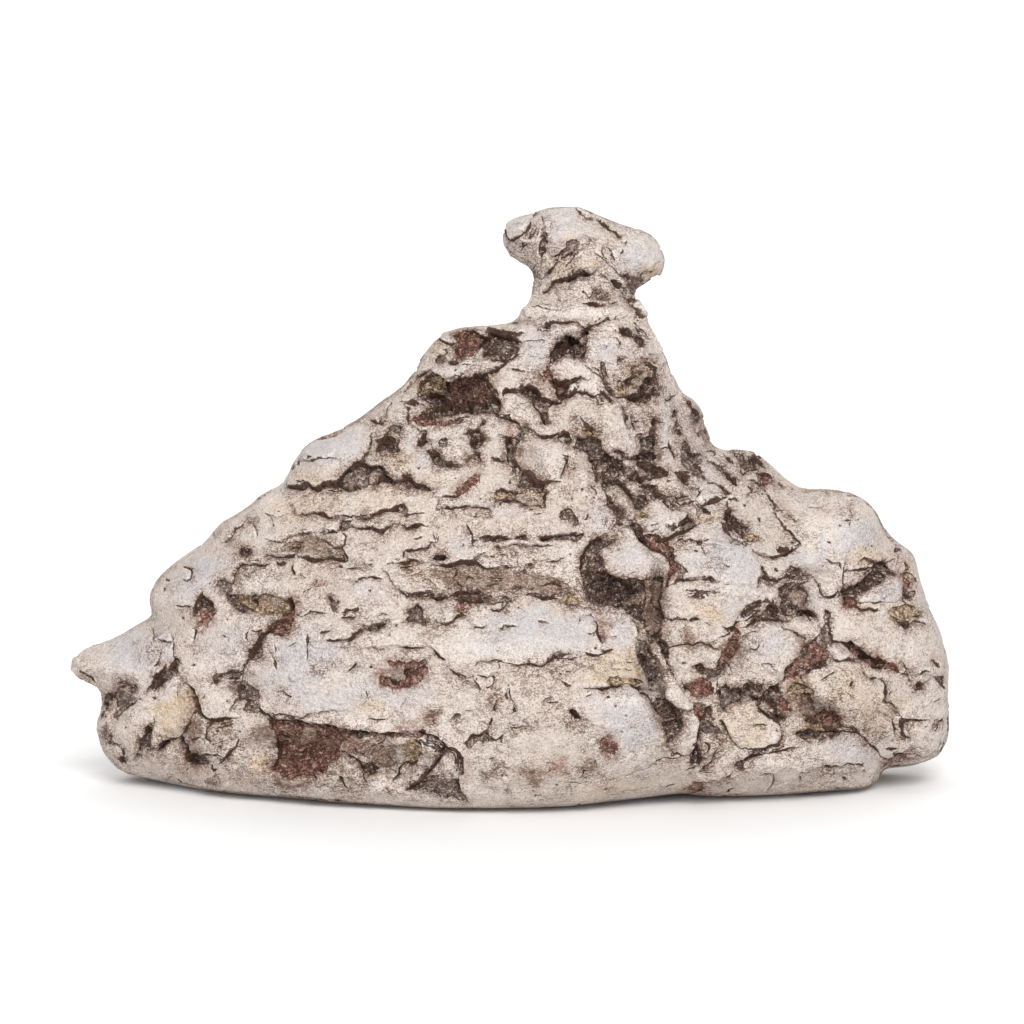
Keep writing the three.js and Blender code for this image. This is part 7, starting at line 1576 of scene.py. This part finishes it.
bsdf = nt.nodes.new("ShaderNodeBsdfPrincipled")
out = nt.nodes.new("ShaderNodeOutputMaterial")
nt.links.new(bsdf.outputs[0], out.inputs["Surface"])
plug(colour, bsdf.inputs["Base Color"])
plug(ramp(mid, 0.35, 0.65, 0.62, 0.80), bsdf.inputs["Roughness"])
bsdf.inputs["Metallic"].default_value = 0.0
bsdf.inputs["Specular IOR Level"].default_value = 0.30
bump = nt.nodes.new("ShaderNodeBump")
bump.inputs["Strength"].default_value = 1.0
bump.inputs["Distance"].default_value = 0.00045
height = maths("MULTIPLY_ADD", fine, 0.75, mul(tiny, 0.30))
height = maths("MULTIPLY_ADD", noise(1.3, 3.0, 0.62, (8, 8, 3)), 0.85, height)
height = maths("MULTIPLY_ADD", crack, -0.30, height)
plug(height, bump.inputs["Height"])
nt.links.new(bump.outputs[0], bsdf.inputs["Normal"])
me.materials.clear()
me.materials.append(mat)

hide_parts("meteorite")
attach(rock, "root")

# ---------------------------------------------------------------- floor, light and camera
fm = bpy.data.meshes.new("floor")
fm.from_pydata([(-6, -6, 0), (6, -6, 0), (6, 6, 0), (-6, 6, 0)], [], [(0, 1, 2, 3)])
floor = bpy.data.objects.new("floor", fm)
bpy.context.scene.collection.objects.link(floor)
pale = bpy.data.materials.new("pale_floor")
pale.use_nodes = True
p = pale.node_tree.nodes["Principled BSDF"]
p.inputs["Base Color"].default_value = (0.90, 0.90, 0.90, 1)
p.inputs["Roughness"].default_value = 0.9
p.inputs["Specular IOR Level"].default_value = 0.1
fm.materials.append(pale)
floor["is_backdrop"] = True

world = bpy.data.worlds.new("studio")
bpy.context.scene.world = world
world.use_nodes = True
world.node_tree.nodes["Background"].inputs["Color"].default_value = (1.0, 1.0, 1.0, 1)
world.node_tree.nodes["Background"].inputs["Strength"].default_value = 0.60


def sun(name, strength, azimuth, elevation, angle, colour=(1, 1, 1)):
    """Azimuth 0 comes from the camera's side, positive from its right."""
    data = bpy.data.lights.new(name, "SUN")
    data.energy, data.angle, data.color = strength, math.radians(angle), colour
    ob = bpy.data.objects.new(name, data)
    ob.rotation_euler = (math.radians(90 - elevation), 0, math.radians(azimuth))
    bpy.context.scene.collection.objects.link(ob)
    return ob


sun("key", 1.82, 14, 42, 30)
sun("side", 0.55, -50, 24, 60)
sun("back", 1.0, 170, 34, 60)
sun("low", 1.15, 4, 5, 50)

cam_data = bpy.data.cameras.new("camera")
cam_data.lens, cam_data.sensor_width, cam_data.sensor_fit = LENS, SENSOR, "HORIZONTAL"
cam_data.clip_start, cam_data.clip_end = 0.02, 60.0
cam = bpy.data.objects.new("camera", cam_data)
cam.location = tuple(float(v) * 0.001 for v in EYE)
cam.rotation_euler = (math.radians(90.0 - 8.0), 0.0, 0.0)
bpy.context.scene.collection.objects.link(cam)
bpy.context.scene.camera = cam
bpy.context.scene.view_settings.view_transform = "Standard"

lo1, hi1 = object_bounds()
print("size", [round(float(v), 5) for v in (*lo1, *hi1)], round(time.time() - T0, 1))
